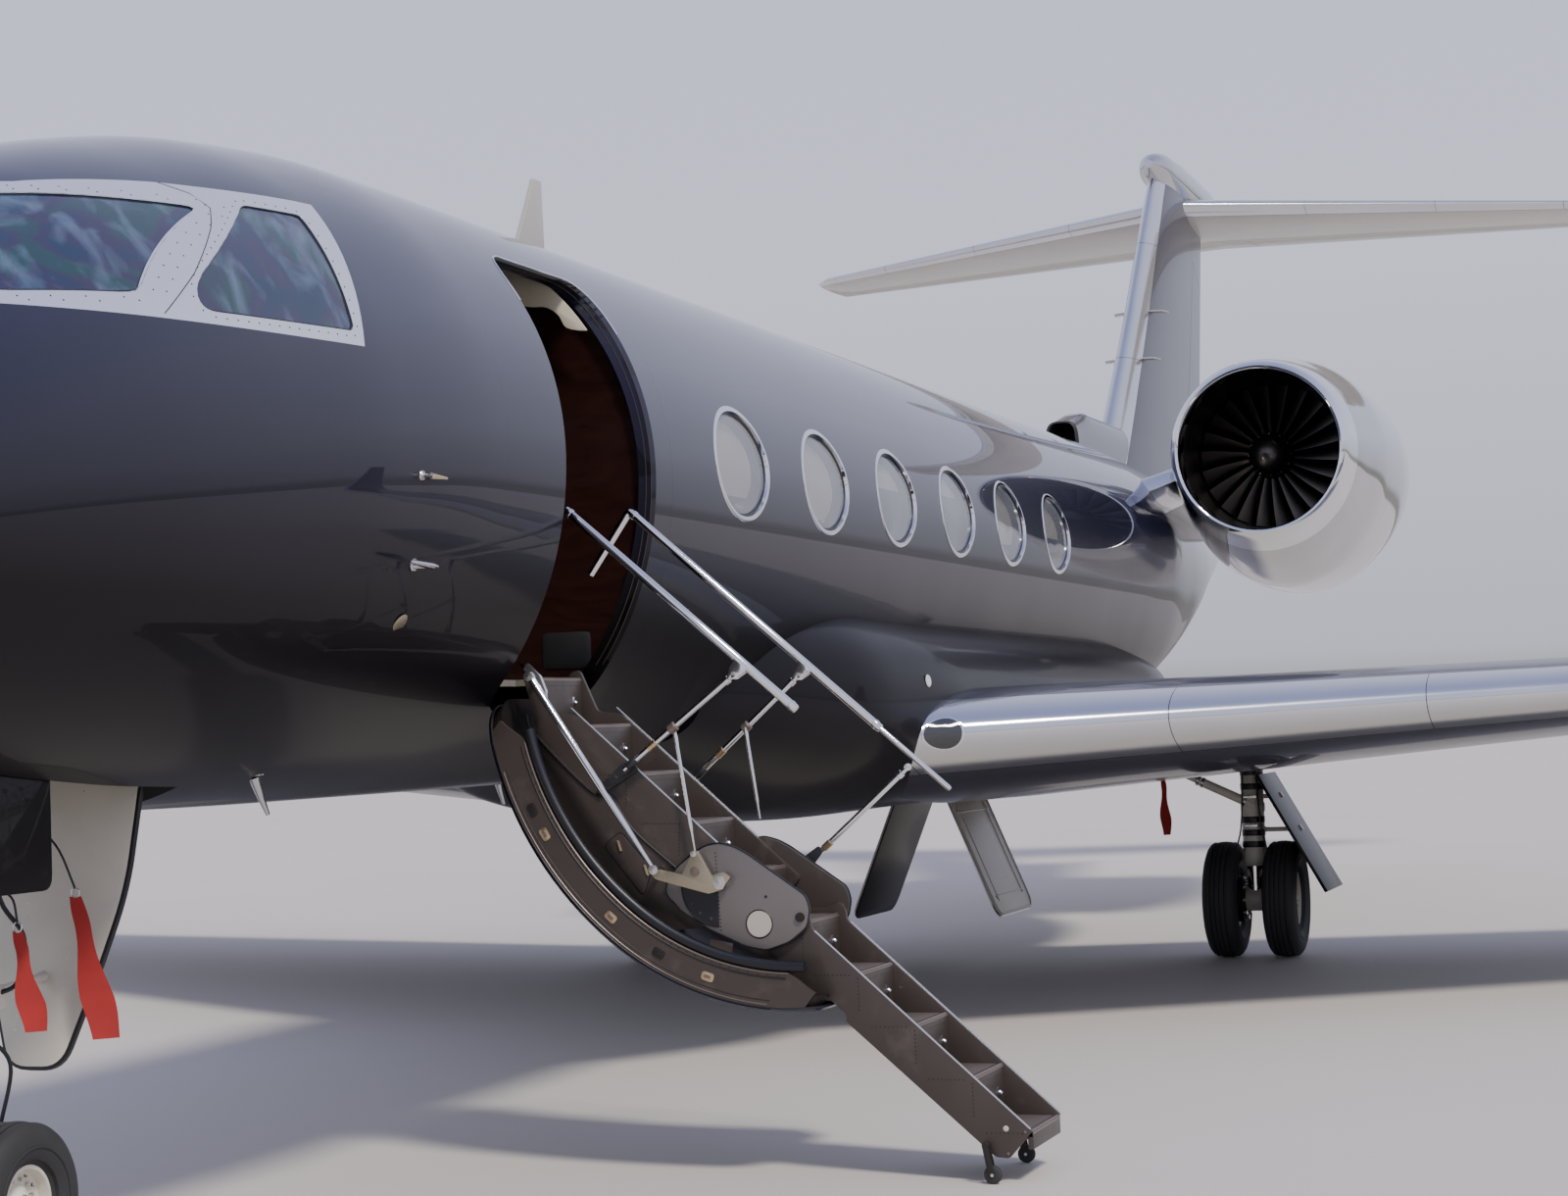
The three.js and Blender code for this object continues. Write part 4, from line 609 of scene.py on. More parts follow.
class Piece:
    """Gathers mesh parts and their materials, then makes one object that rides on a body."""

    def __init__(self, name):
        self.name = name
        self.points, self.faces, self.slots, self.smooth, self.flat = [], [], [], [], []
        self.finishes = []

    def add(self, points, faces, finish, smooth=True, flat=None):
        base = len(self.points)
        self.points += [tuple(p) for p in points]
        self.flat += [tuple(uv) for uv in flat] if flat is not None else [(0.5, 0.0)] * len(points)
        if finish not in self.finishes:
            self.finishes.append(finish)
        for face in faces:
            self.faces.append([base + i for i in face])
            self.slots.append(self.finishes.index(finish))
            self.smooth.append(smooth)

    def skin(self, rings, finish, wrap=True, caps=True, smooth=True, flat=None):
        """A surface over rings with equal numbers of points."""
        rings = np.asarray(rings, float)
        rows, count = rings.shape[:2]
        faces = []
        for r in range(rows - 1):
            for k in range(count if wrap else count - 1):
                nxt = (k + 1) % count
                faces.append((r * count + k, r * count + nxt, (r + 1) * count + nxt, (r + 1) * count + k))
        self.add(rings.reshape(-1, 3), faces, finish, smooth, flat)
        if caps and wrap:
            for ring, order in ((rings[0], -1), (rings[-1], 1)):
                uvs = None if flat is None else [(0.5, 0.0)] * count
                self.add(ring, [tuple(range(count))[::order]], finish, False, uvs)

    def tube(self, path, radius, finish, sides=12):
        """A round bar along a path. The radius is one number or one for each point."""
        points = [Vector(p) for p in path]
        last = len(points) - 1
        aheads = [(points[min(i + 1, last)] - points[max(i - 1, 0)]).normalized() for i in range(last + 1)]
        radii = radius if hasattr(radius, "__len__") else [radius] * len(points)
        self.skin(hoops(points, aheads, radii, sides), finish)

    def loop(self, path, radius, finish, sides=8):
        """A round bar along a closed path."""
        points = [Vector(p) for p in path]
        count = len(points)
        aheads = [(points[(i + 1) % count] - points[i - 1]).normalized() for i in range(count)]
        rings = np.array(hoops(points, aheads, [radius] * count, sides))
        gaps = [np.linalg.norm(np.roll(rings[0], k, axis=0) - rings[-1]) for k in range(sides)]
        rings = np.concatenate([rings, [np.roll(rings[0], int(np.argmin(gaps)), axis=0)]])
        self.skin(rings, finish, caps=False)

    def lathe(self, profile, centre, axis, finish, sides=32, caps=False):
        """A turned part. The profile's pairs are radius and distance along the axis."""
        matrix = facing(axis, centre)
        rings = [[tuple(matrix @ Vector((r * math.cos(a), r * math.sin(a), t))) for a in turns(sides)]
                 for r, t in profile]
        self.skin(rings, finish, caps=caps)

    def plate(self, outline, matrix, thickness, finish, bevel=0.0, smooth=False):
        """A flat outline with a thickness along the matrix's Z, its edges bevelled."""
        build = bmesh.new()
        floor = build.faces.new([build.verts.new(matrix @ Vector((u, v, 0))) for u, v in outline])
        moved = bmesh.ops.extrude_face_region(build, geom=[floor])["geom"]
        shift = matrix.to_3x3() @ Vector((0, 0, thickness))
        bmesh.ops.translate(build, verts=[g for g in moved if isinstance(g, bmesh.types.BMVert)], vec=shift)
        bmesh.ops.recalc_face_normals(build, faces=build.faces)
        if bevel:
            sharp = [e for e in build.edges if e.calc_face_angle(0) > 0.6]
            bmesh.ops.bevel(build, geom=sharp, offset=bevel, segments=2, profile=0.6, affect="EDGES",
                            clamp_overlap=True)
        build.verts.index_update()
        self.add([v.co for v in build.verts], [[v.index for v in f.verts] for f in build.faces], finish,
                 smooth or bevel > 0)
        build.free()

    def box(self, low, high, finish, bevel=0.004, matrix=None):
        """A box between two corners."""
        (x0, y0, z0), (x1, y1, z1) = low, high
        place = (matrix or Matrix.Identity(4)) @ Matrix.Translation((0, 0, z0))
        self.plate([(x0, y0), (x1, y0), (x1, y1), (x0, y1)], place, z1 - z0, finish, bevel)

    def dome(self, point, normal, radius, finish, height=0.45, sides=8):
        """A rivet or bolt head."""
        profile = [(radius, 0), (radius * 0.78, radius * height * 0.7), (radius * 0.05, radius * height)]
        self.lathe(profile, point, normal, finish, sides, caps=True)

    def make(self, body, replaces=(), crease=38):
        """Makes the object and sets it on its body."""
        mesh = bpy.data.meshes.new(self.name)
        mesh.from_pydata(self.points, [], self.faces)
        layer = mesh.uv_layers.new(name="flat")
        corners = np.zeros(len(mesh.loops), dtype=np.int32)
        mesh.loops.foreach_get("vertex_index", corners)
        layer.data.foreach_set("uv", np.array(self.flat, dtype=np.float32)[corners].ravel())
        for finish in self.finishes:
            mesh.materials.append(finish_of(finish))
        mesh.polygons.foreach_set("material_index", self.slots)
        mesh.polygons.foreach_set("use_smooth", self.smooth)
        face_outwards(mesh)
        mesh.set_sharp_from_angle(angle=math.radians(crease))
        mesh.update()
        return settle(placed(self.name, mesh), body, replaces)

    def make_pair(self, body, node, crease=50):
        """Makes the port piece and its twin to starboard, each in the place of its own side's node."""
        port = self.make(body, [node], crease)
        name, body, node = (word.replace("port", "starboard") for word in (self.name, body, node))
        mirrored_piece(port, name, body, [node])


def hoops(points, aheads, radii, sides):
    """Rings round the points of a path, each turned as little as can be from the one before."""
    normal = aheads[0].orthogonal().normalized()
    rings = []
    for point, ahead, radius in zip(points, aheads, radii):
        normal = (normal - ahead * normal.dot(ahead)).normalized()
        side = ahead.cross(normal)
        rings.append([tuple(point + radius * (math.cos(a) * normal + math.sin(a) * side))
                      for a in turns(sides)])
    return rings


def face_outwards(mesh):
    build = bmesh.new()
    build.from_mesh(mesh)
    bmesh.ops.recalc_face_normals(build, faces=build.faces)
    build.to_mesh(mesh)
    build.free()


def placed(name, data):
    """A new object in the scene."""
    item = bpy.data.objects.new(name, data)
    bpy.context.collection.objects.link(item)
    return item


def settle(piece, body, replaces=()):
    """Sets a piece on its body, in the place of the nodes that it replaces."""
    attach(piece, body)
    if replaces:
        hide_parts(*replaces)
    return piece


def mirrored_piece(piece, name, body, replaces=()):
    """The same piece on the other side of the centre line."""
    mesh = piece.data.copy()
    build = bmesh.new()
    build.from_mesh(mesh)
    bmesh.ops.scale(build, vec=(-1, 1, 1), verts=build.verts)
    bmesh.ops.reverse_faces(build, faces=build.faces)
    build.to_mesh(mesh)
    build.free()
    return settle(placed(name, mesh), body, replaces)


# Fuselage surface

# Columns: station, half width, top, bottom, height of the widest level.
BODY = (
    (0.0, 0.04, 2.34, 2.26, 2.3), (0.12, 0.21, 2.5, 2.11, 2.3), (0.35, 0.37, 2.64, 1.98, 2.31),
    (0.7, 0.53, 2.79, 1.85, 2.33), (1.1, 0.67, 2.92, 1.75, 2.36), (1.55, 0.8, 3.06, 1.66, 2.42),
    (2.0, 0.91, 3.37, 1.6, 2.5), (2.5, 1.01, 3.66, 1.55, 2.58), (3.0, 1.08, 3.82, 1.515, 2.66),
    (3.6, 1.145, 3.94, 1.5, 2.74), (4.3, 1.185, 4.0, 1.495, 2.8), (5.0, 1.195, 4.005, 1.495, 2.81),
    (15.5, 1.195, 4.005, 1.495, 2.81), (16.6, 1.175, 4.005, 1.57, 2.83), (18.0, 1.06, 3.99, 1.82, 2.91),
    (19.5, 0.88, 3.95, 2.16, 3.03), (21.5, 0.58, 3.84, 2.66, 3.22), (23.5, 0.28, 3.68, 3.13, 3.4),
    (24.7, 0.08, 3.53, 3.4, 3.47),
)
body_rows = pchip(BODY)
WALL = 0.08


def body_surface(stations, angles, inset=0.0):
    """Points of the fuselage at paired stations and angles."""
    stations, angles = np.broadcast_arrays(np.asarray(stations, float), np.asarray(angles, float))
    rows = body_rows(stations.ravel())
    half, top, bottom, waist = rows.T
    turn = angles.ravel()
    rise = np.where(np.sin(turn) >= 0, top - waist, waist - bottom)
    points = np.stack([(half - inset) * np.cos(turn), stations.ravel() - HALF_LENGTH,
                       waist + (rise - inset) * np.sin(turn)], axis=1)
    return points.reshape(*stations.shape, 3)


def body_angle(points, inset=0.0):
    half, top, bottom, waist = body_rows(points[:, 1] + HALF_LENGTH).T
    high = points[:, 2] - waist
    rise = np.where(high >= 0, top - waist, waist - bottom)
    return np.arctan2(high / (rise - inset), points[:, 0] / (half - inset))


def body_normals(points, inset=0.0, step=1e-3):
    stations = points[:, 1] + HALF_LENGTH
    turn = body_angle(points, inset)
    ahead = body_surface(stations + step, turn, inset) - body_surface(stations - step, turn, inset)
    round_ = body_surface(stations, turn + step, inset) - body_surface(stations, turn - step, inset)
    normal = np.cross(round_, ahead)
    normal /= np.maximum(np.linalg.norm(normal, axis=1), 1e-12)[:, None]
    outward = np.sum(normal[:, [0, 2]] * np.stack([np.cos(turn), np.sin(turn)], axis=1), axis=1)
    return normal * np.where(outward < 0, -1, 1)[:, None]


def side_x(station, z, inset=0.0):
    """Half width of the fuselage at a station and height."""
    half, top, bottom, waist = body_rows(station)[0]
    rise = (top - waist if z >= waist else waist - bottom) - inset
    share = max(0.0, 1 - ((z - waist) / rise) ** 2)
    return (half - inset) * math.sqrt(share)


def on_side(sign, station, z):
    """A point of the fuselage's side, port for a sign of 1."""
    return Vector((sign * side_x(station, z), along(station), z))


def on_front(x, z, inset=0.0):
    """The point of the nose's upper surface straight behind a place in the front view."""
    low, high = 0.3, 4.5
    for _ in range(40):  # halves the search span each time
        middle = (low + high) / 2
        top, waist = body_rows(middle)[0][[1, 3]]
        inside = z < top - inset and side_x(middle, z, inset) > abs(x)
        low, high = (low, middle) if inside else (middle, high)
    return (x, along(high), z)


def shell_object(name, start, end, step, outer=0.0, inner=WALL):
    """A closed length of fuselage wall, with its faces marked by material index."""
    count = max(2, round((end - start) / step) + 1)
    stations = np.linspace(start, end, count)
    sides = sizes().skin_sides
    around = turns(sides)[None, :]
    grid = np.concatenate([body_surface(stations[:, None], around, inset) for inset in (outer, inner)])
    faces, marks = [], []
    for layer, mark in ((0, OUTER), (count, LINING)):
        for r in range(count - 1):
            for k in range(sides):
                a, b = (layer + r) * sides, (layer + r + 1) * sides
                nxt = (k + 1) % sides
                quad = (a + k, b + k, b + nxt, a + nxt)
                faces.append(quad if mark == OUTER else quad[::-1])
                marks.append(mark)
    for r, flip in ((0, False), (count - 1, True)):
        for k in range(sides):
            a, b = r * sides, (count + r) * sides
            nxt = (k + 1) % sides
            quad = (a + k, a + nxt, b + nxt, b + k)
            faces.append(quad[::-1] if flip else quad)
            marks.append(EDGE)
    return raw_object(name, grid.reshape(-1, 3), faces, marks)


def raw_object(name, points, faces, marks):
    mesh = bpy.data.meshes.new(name)
    mesh.from_pydata([tuple(p) for p in points], [], [tuple(f) for f in faces])
    mesh.polygons.foreach_set("material_index", marks)
    face_outwards(mesh)
    return placed(name, mesh)


def cutter(outline, matrix, depth):
    """A solid to cut with: an outline pushed along the matrix's Z."""
    build = Piece("cutter")
    build.plate(outline, matrix, depth, "seal")
    return raw_object("cutter", build.points, build.faces, [CUT] * len(build.faces))


def prism(axis, outline, low, high):
    """A cutter pushed along X (its pairs are Y, Z) or along Y (its pairs are X, Z)."""
    turn = FACING_X if axis == "x" else FACING_Y
    return cutter(outline, turn @ Matrix.Translation((0, 0, low)), high - low)


def fill_slots(piece):
    """Gives a raw object a material for each of its four marks."""
    while len(piece.data.materials) <= CUT:
        piece.data.materials.append(finish_of("seal"))


def carve(piece, cutters, operation="DIFFERENCE"):
    """Cuts a raw object by others, which are used up."""
    fill_slots(piece)
    for tool in cutters:
        fill_slots(tool)
        modifier = piece.modifiers.new("cut", "BOOLEAN")
        modifier.solver = "EXACT"
        modifier.operation = operation
        modifier.material_mode = "INDEX"
        modifier.object = tool
    bpy.context.view_layer.update()
    graph = bpy.context.evaluated_depsgraph_get()
    mesh = bpy.data.meshes.new_from_object(piece.evaluated_get(graph))
    piece.modifiers.clear()
    old = piece.data
    piece.data = mesh
    bpy.data.meshes.remove(old)
    for tool in cutters:
        spare = tool.data
        bpy.data.objects.remove(tool)
        bpy.data.meshes.remove(spare)
    return piece


def dressed_shell(piece, name, body, finishes, replaces=(), inner=WALL, outer=0.0, matrix=None):
    """Gives a carved wall its materials, then true surface normals or, when a matrix is given, a turn by
    that matrix, and sets it on its body.
    """
    mesh = piece.data
    piece.name = mesh.name = name
    mesh.materials.clear()
    for finish in finishes:
        mesh.materials.append(finish_of(finish))
    mesh.polygons.foreach_set("use_smooth", [True] * len(mesh.polygons))
    mesh.set_sharp_from_angle(angle=math.radians(40))
    count = len(mesh.loops)
    normals = np.zeros(count * 3, dtype=np.float32)
    mesh.corner_normals.foreach_get("vector", normals)
    normals = normals.reshape(-1, 3)
    places = np.zeros(len(mesh.vertices) * 3, dtype=np.float32)
    mesh.vertices.foreach_get("co", places)
    places = places.reshape(-1, 3).astype(float)
    corners = np.zeros(count, dtype=np.int32)
    mesh.loops.foreach_get("vertex_index", corners)
    marks = np.zeros(count, dtype=np.int32)
    for polygon in mesh.polygons:
        start = polygon.loop_start
        marks[start:start + polygon.loop_total] = polygon.material_index
    for mark, inset, sign in ((OUTER, outer, 1), (LINING, inner, -1)):
        chosen = marks == mark
        if chosen.any():
            normals[chosen] = sign * body_normals(places[corners[chosen]], inset)
    if matrix is None:
        mesh.normals_split_custom_set([tuple(n) for n in normals.astype(float)])
    else:
        mesh.transform(matrix)
    return settle(piece, body, replaces)


# Doorway, cockpit windows and cabin windows

DOORWAY = {"front": 4.85, "rear": 5.765, "sill": 1.82, "top": 3.635, "corner": 0.14}


def doorway_outline(inset, steps=8):
    y0, y1 = along(DOORWAY["front"]) + inset, along(DOORWAY["rear"]) - inset
    z0, z1 = DOORWAY["sill"] + inset, DOORWAY["top"] - inset
    return rounded([(y0, z0), (y1, z0), (y1, z1), (y0, z1)], max(0.03, DOORWAY["corner"] - inset), steps)


BAND_SIDE = ((1.2, 3.05), (3.45, 3.075), (3.65, 3.64), (1.2, 3.64))
BAND_FRONT = ((-1.3, 3.05), (1.3, 3.05), (1.3, 3.64), (0.76, 3.63), (0.6, 3.6), (0.4, 3.535), (0, 3.5),
              (-0.4, 3.535), (-0.6, 3.6), (-0.76, 3.63), (-1.3, 3.64))
FRONT_PANE = ((0.035, 3.105), (0.66, 3.105), (0.84, 3.14), (0.725, 3.515), (0.42, 3.48), (0.035, 3.455))
SIDE_PANE = ((2.67, 3.11), (3.42, 3.125), (3.5, 3.565), (3.22, 3.56), (2.69, 3.2))
SIDE_CORNERS = (0.07, 0.03, 0.02, 0.03, 0.12)
NOSE_BAY = {"half": 0.4, "from": 1.68, "to": 3.28, "top": 2.05}
CABIN_WINDOWS = {"first": 6.832, "pitch": 1.184, "count": 6, "height": 2.93, "half_width": 0.33,
                 "half_height": 0.245}


# How far each window's blind stops above the window's foot
BLIND_GAPS = (0.1, 0.06, 0.3, 0.34, 0.12, 0.22)


def window_band(margin=0.0):
    """A cutter for the dark band round the cockpit windows."""
    side = prism("x", [(along(s), z) for s, z in BAND_SIDE], -1.4, 1.4)
    front = prism("y", spread(BAND_FRONT, -margin) if margin else BAND_FRONT, along(1.1), along(3.9))
    return carve(side, [front], "INTERSECT")


def front_pane(margin, sign=1):
    outline = spread(rounded(FRONT_PANE, 0.022, 3), margin)
    return [(sign * x, z) for x, z in outline]


def side_pane(margin):
    return spread(rounded([(along(s), z) for s, z in SIDE_PANE], SIDE_CORNERS, 5), margin)


def pane_cutters(margin, sign):
    span = (0.5, 1.4) if sign > 0 else (-1.4, -0.5)
    return [prism("y", front_pane(margin, sign), along(1.3), along(3.05)),
            prism("x", side_pane(margin), *span)]


def window_centres():
    w = CABIN_WINDOWS
    return [w["first"] + k * w["pitch"] for k in range(w["count"])]


JOINT = 0.0006
# Columns: piece, node, first and last station, pitch of the stations, wall, then the finishes of the
# outside, lining, ends and cuts.
BODY_PIECES = (
    ("radome_skin", "radome", 0.0, 1.1 - 2 * JOINT, 0.05, 0.012,
     ("navy_paint", "bay_paint", "seal", "seal")),
    ("forward_skin", "forward_fuselage", 1.1, 5.95 - JOINT, 0.07, WALL,
     ("navy_paint", "lining", "stair_dark", "stair_dark")),
    ("cabin_skin", "cabin_barrel", 5.95, 15.0 - JOINT, 0.35, WALL,
     ("navy_paint", "lining", "seal", "stair_dark")),
    ("aft_skin", "aft_fuselage", 15.0, 24.7, 0.2, 0.02, ("navy_paint", "bay_paint", "seal", "seal")),
)
ROOF_BLADE = ((6.93, 3.99), (7.3, 3.99), (7.3, 4.12), (7.285, 4.44), (7.2, 4.44), (7.12, 4.3))


class BuildFuselage(bpy.types.Operator):
    """Builds the fuselage skins with their openings, probes and roof antennas"""

    bl_idname = "jet.fuselage"
    bl_label = "Fuselage skins"

    def execute(self, context):
        cuts = {"forward_skin": self.forward_cuts, "cabin_skin": self.window_cuts}
        for name, node, start, end, step, wall, finishes in BODY_PIECES:
            skin = shell_object(name, start, end, step, 0.0, wall)
            carve(skin, cuts[name]() if name in cuts else [])
            dressed_shell(skin, name, "airframe", finishes, [node], wall)
        self.probes()
        return {"FINISHED"}

    @staticmethod
    def forward_cuts():
        half, top = NOSE_BAY["half"], NOSE_BAY["top"]
        bay = [(-half, 1.0), (half, 1.0), (half, top), (-half, top)]
        return [prism("y", bay, along(NOSE_BAY["from"]), along(NOSE_BAY["to"])),
                prism("x", doorway_outline(0), 0.7, 1.4), window_band()]

    @staticmethod
    def window_cuts():
        w = CABIN_WINDOWS
        cuts = []
        for station in window_centres():
            outline = oval((along(station), w["height"]), w["half_width"], w["half_height"])
            cuts += [prism("x", outline, 0.9, 1.4), prism("x", outline, -1.4, -0.9)]
        return cuts

    @staticmethod
    def probes():
        """Vanes, masts and static ports on the nose, and the antennas and beacon along the body."""
        trim = Piece("skin_fittings")
        for sign in (1, -1):
            vane = on_side(sign, 3.716, 2.645)
            out = Vector((sign, 0, -0.12)).normalized()
            trim.lathe([(0.0, 0.006), (0.016, 0.006), (0.019, 0.0)], vane, out, "bright_edge", 24)
            trim.tube([vane, vane + out * 0.045], 0.008, "bright_edge", 10)
            blade = [(0, -0.011), (0.13, -0.004), (0.13, 0.004), (0, 0.011)]
            trim.plate(blade, Matrix.Translation(vane + out * 0.03) @ FACING_X, 0.006 * sign, "brass", 0.001)
            mast = on_side(sign, 3.75, 2.335)
            tip = mast + out * 0.07
            trim.lathe([(0.0, 0.005), (0.022, 0.004), (0.026, 0.0)], mast, out, "polished", 24)
            trim.tube([mast, mast + out * 0.035, tip], [0.018, 0.012, 0.009], "polished", 12)
            trim.tube([tip + Vector((0, 0.05, 0)), tip, tip + Vector((0, -0.12, 0.006)),
                       tip + Vector((0, -0.16, 0.008))], [0.004, 0.013, 0.009, 0.005], "polished", 12)
            port = on_side(sign, 3.793, 2.13)
            flat = Vector((sign * 0.82, 0, -0.57))
            trim.lathe([(0.0, 0.002), (0.036, 0.002), (0.04, 0.0)], port, flat, "cast_lever", 28)
            for radius, count in ((0.012, 5), (0.022, 8)):
                for a in turns(count):
                    spot = facing(flat, port) @ Vector((radius * math.cos(a), radius * math.sin(a), 0.002))
                    trim.dome(spot, flat, 0.0018, "seal", 0.1, 6)
        for x, station, tall in ((0.45, 3.7, 0.14), (-0.3, 7.2, 0.16)):
            half, top, bottom, waist = body_rows(station)[0]
            z = waist - (waist - bottom) * math.sqrt(1 - (x / half) ** 2)
            foot = Vector((x, along(station), z + 0.01))
            trim.tube([foot, foot + Vector((0, 0.05, -tall * 0.6)), foot + Vector((0, 0.09, -tall))],
                      [0.022, 0.013, 0.008], "polished", 12)
            trim.lathe([(0.0, 0.004), (0.034, 0.004), (0.038, 0.0)], foot, (0.2, 0, -1), "polished", 20)
        blade = [(along(s), z) for s, z in ROOF_BLADE]
        for shift, drop, half in ((0.0, 0.0, 0.012), (-0.45, 0.33, 0.008)):
            outline = [(y + shift, max(3.985, z - drop)) for y, z in blade]
            trim.plate(outline, Matrix.Translation((-half, 0, 0)) @ FACING_X, 2 * half, "tail_paint", 0.006)
        beacon = [(0.06, 0.0), (0.055, 0.02), (0.05, 0.06), (0.03, 0.085), (0.0, 0.092)]
        trim.lathe(beacon, (0, along(9.3), 4.0), (0, 0, 1), "ribbon", 24)
        trim.make("airframe")


class BuildGlass(bpy.types.Operator):
    """Builds the windshield frame with its rivets, the cockpit panes and the cabin windows"""

    bl_idname = "jet.glass"
    bl_label = "Windows"

    def execute(self, context):
        shell = shell_object("windshield_trim", 1.2, 4.2, 0.07, 0.0, 0.045)
        cuts = [tool for sign in (1, -1) for tool in pane_cutters(0, sign)]
        carve(shell, [window_band(0.0006)], "INTERSECT")
        carve(shell, cuts)
        dressed_shell(shell, "windshield_trim", "airframe", ("bare_frame", "bare_frame", "seal", "seal"),
                      ["windshield_frame"], 0.045)
        for sign, side in ((1, "port"), (-1, "starboard")):
            for k, tool in enumerate(pane_cutters(-0.003, sign)):
                pane = shell_object("pane", 1.2, 4.2, 0.07, 0.006, 0.024)
                carve(pane, [tool], "INTERSECT")
                dressed_shell(pane, f"cockpit_pane_{side}_{k}", "airframe",
                              ("cockpit_glass",) * 3 + ("seal",), [f"cockpit_glass_{side}"], 0.024, 0.006)
            self.cabin_windows(sign, side)
        self.frame_trim()
        return {"FINISHED"}

    @staticmethod
    def frame_trim():
        """The panes' seals, the rivets round them and the frame's splices."""
        trim = Piece("windshield_rivets")
        for sign in (1, -1):
            def front(outline, inset):
                return [on_front(sign * abs(x), z, inset) for x, z in outline]

            def side(outline, inset):
                return [(sign * side_x(y + HALF_LENGTH, z, inset), y, z) for y, z in outline]

            trim.loop(front(resampled(front_pane(-0.001), 0.03), 0.005), 0.005, "seal", 6)
            trim.loop(side(resampled(side_pane(-0.001), 0.03), 0.005), 0.005, "seal", 6)
            for outline, lay in ((front_pane(0.02), front), (front_pane(0.036), front),
                                 (side_pane(0.02), side)):
                for point in lay(resampled(outline, 0.05), 0.0):
                    normal = body_normals(np.array([point]))[0]
                    if 3.06 < point[2] < 3.62 and abs(point[0]) > 0.02:
                        trim.dome(point, normal, sizes().rivet_radius, "stair_dark", 0.3, 6)
            seam = [(2.5, 3.08), (2.72, 3.24), (2.96, 3.44), (3.04, 3.52), (3.02, 3.57), (2.93, 3.6)]
            line = resampled(seam, 0.03, False)
            trim.tube([(sign * side_x(s, z, 0.0005), along(s), z) for s, z in line], 0.002, "seal", 6)
        centre = [on_front(0.0, z, -0.001) for z in np.linspace(3.06, 3.49, 16)]
        trim.tube(centre, 0.009, "bare_frame", 8)
        trim.make("airframe")

    @staticmethod
    def cabin_windows(sign, side):
        """Each window's polished ring, seal, reveal, pane and part-drawn blind."""
        w = CABIN_WINDOWS
        panes = Piece(f"cabin_panes_{side}")
        rings = Piece(f"window_rings_{side}")
        width = sizes().ring_width
        count = 56
        for number, station in enumerate(window_centres()):
            def ring(spread_by, inset):
                outline = oval((station, w["height"]), w["half_width"] + spread_by,
                               w["half_height"] + spread_by, count)
                return [(sign * side_x(s, z, inset), along(s), z) for s, z in outline]

            rings.skin([ring(width, -0.0002), ring(width * 0.85, -0.003), ring(width * 0.4, -0.0045),
                        ring(0.0, -0.003), ring(-0.003, 0.012)], "lip_chrome", caps=False)
            rings.skin([ring(-0.003, 0.012), ring(-0.014, 0.014), ring(-0.016, 0.02)], "seal", caps=False)
            rings.skin([ring(-0.012, 0.03), ring(-0.05, 0.078), ring(-0.06, 0.084), ring(-0.02, 0.09)],
                       "lining", caps=False)
            centre = (sign * side_x(station, w["height"], 0.018), along(station), w["height"])
            outer = ring(-0.01, 0.018)
            mids = [tuple((Vector(p) * 0.5 + Vector(centre) * 0.5)) for p in outer]
            mids = [(sign * side_x(m[1] + HALF_LENGTH, m[2], 0.018), m[1], m[2]) for m in mids]
            steps = [(k, (k + 1) % count) for k in range(count)]
            faces = [(a, b, count + b, count + a) for a, b in steps]
            faces += [(count + a, count + b, 2 * count) for a, b in steps]
            panes.add(outer + mids + [centre], faces, "cabin_glass")
            low = w["height"] - w["half_height"] + BLIND_GAPS[number]
            blind = []
            for z in np.linspace(low, w["height"] + w["half_height"] - 0.02, 7):
                rise = (z - w["height"]) / w["half_height"]
                reach = w["half_width"] * math.sqrt(max(0.02, 1 - rise**2)) - 0.03
                blind.append([(sign * side_x(station + r, z, 0.07), along(station + r), z)
                              for r in np.linspace(-reach, reach, 9)])
            panes.skin(blind, "headliner", wrap=False, caps=False)
        rings.make("airframe")
        panes.make("airframe", [f"cabin_windows_{side}"])


# Wings and tail

ROOT_LEAD = 8.03
SWEEP = 0.6155
# Columns: distance off the centre line, leading edge station, height at the middle of the chord,
# chord, thickness ratio, twist and lean in degrees.
WING = (
    (0.75, ROOT_LEAD + SWEEP * 0.75, 1.53, 5.67, 0.115, 2.5, 3),
    (1.4, ROOT_LEAD + SWEEP * 1.4, 1.55, 5.43, 0.115, 2.5, 3),
    (4.4, ROOT_LEAD + SWEEP * 4.4, 1.71, 4.35, 0.105, 1.5, 3),
    (7.7 - 0.008, ROOT_LEAD + SWEEP * 7.692, 1.887, 3.16, 0.1, 0.74, 3.5),
    (10.55, ROOT_LEAD + SWEEP * 10.55, 2.0412, 2.1266, 0.0956, 0.08, 3.95),
    (10.9, ROOT_LEAD + SWEEP * 10.9, 2.06, 2.0, 0.095, 0, 4),
    (11.35, 14.98, 2.12, 1.85, 0.09, 0, 25),
    (11.62, 15.3, 2.34, 1.5, 0.085, 0, 60),
    (11.86, 16.2, 3.38, 0.75, 0.08, 0, 76),
)
EDGE_HALF = 0.004
AILERON = {"inner": 7.7, "outer": 10.55, "share": 0.75}
GAP = 0.008
# Pairs: distance off the centre line of a flap track's fairing, and its reach.
FLAP_TRACKS = ((2.6, 0.42), (4.9, 0.38), (7.2, 0.3))
STATIC_WICKS = (7.9, 10.3)


def half_thickness(share, ratio):
    """Half the thickness of a wing section, as a share of its chord."""
    return 5 * ratio * (0.2969 * np.sqrt(share) - 0.126 * share - 0.3516 * share**2 + 0.2843 * share**3
                        - 0.1036 * share**4)


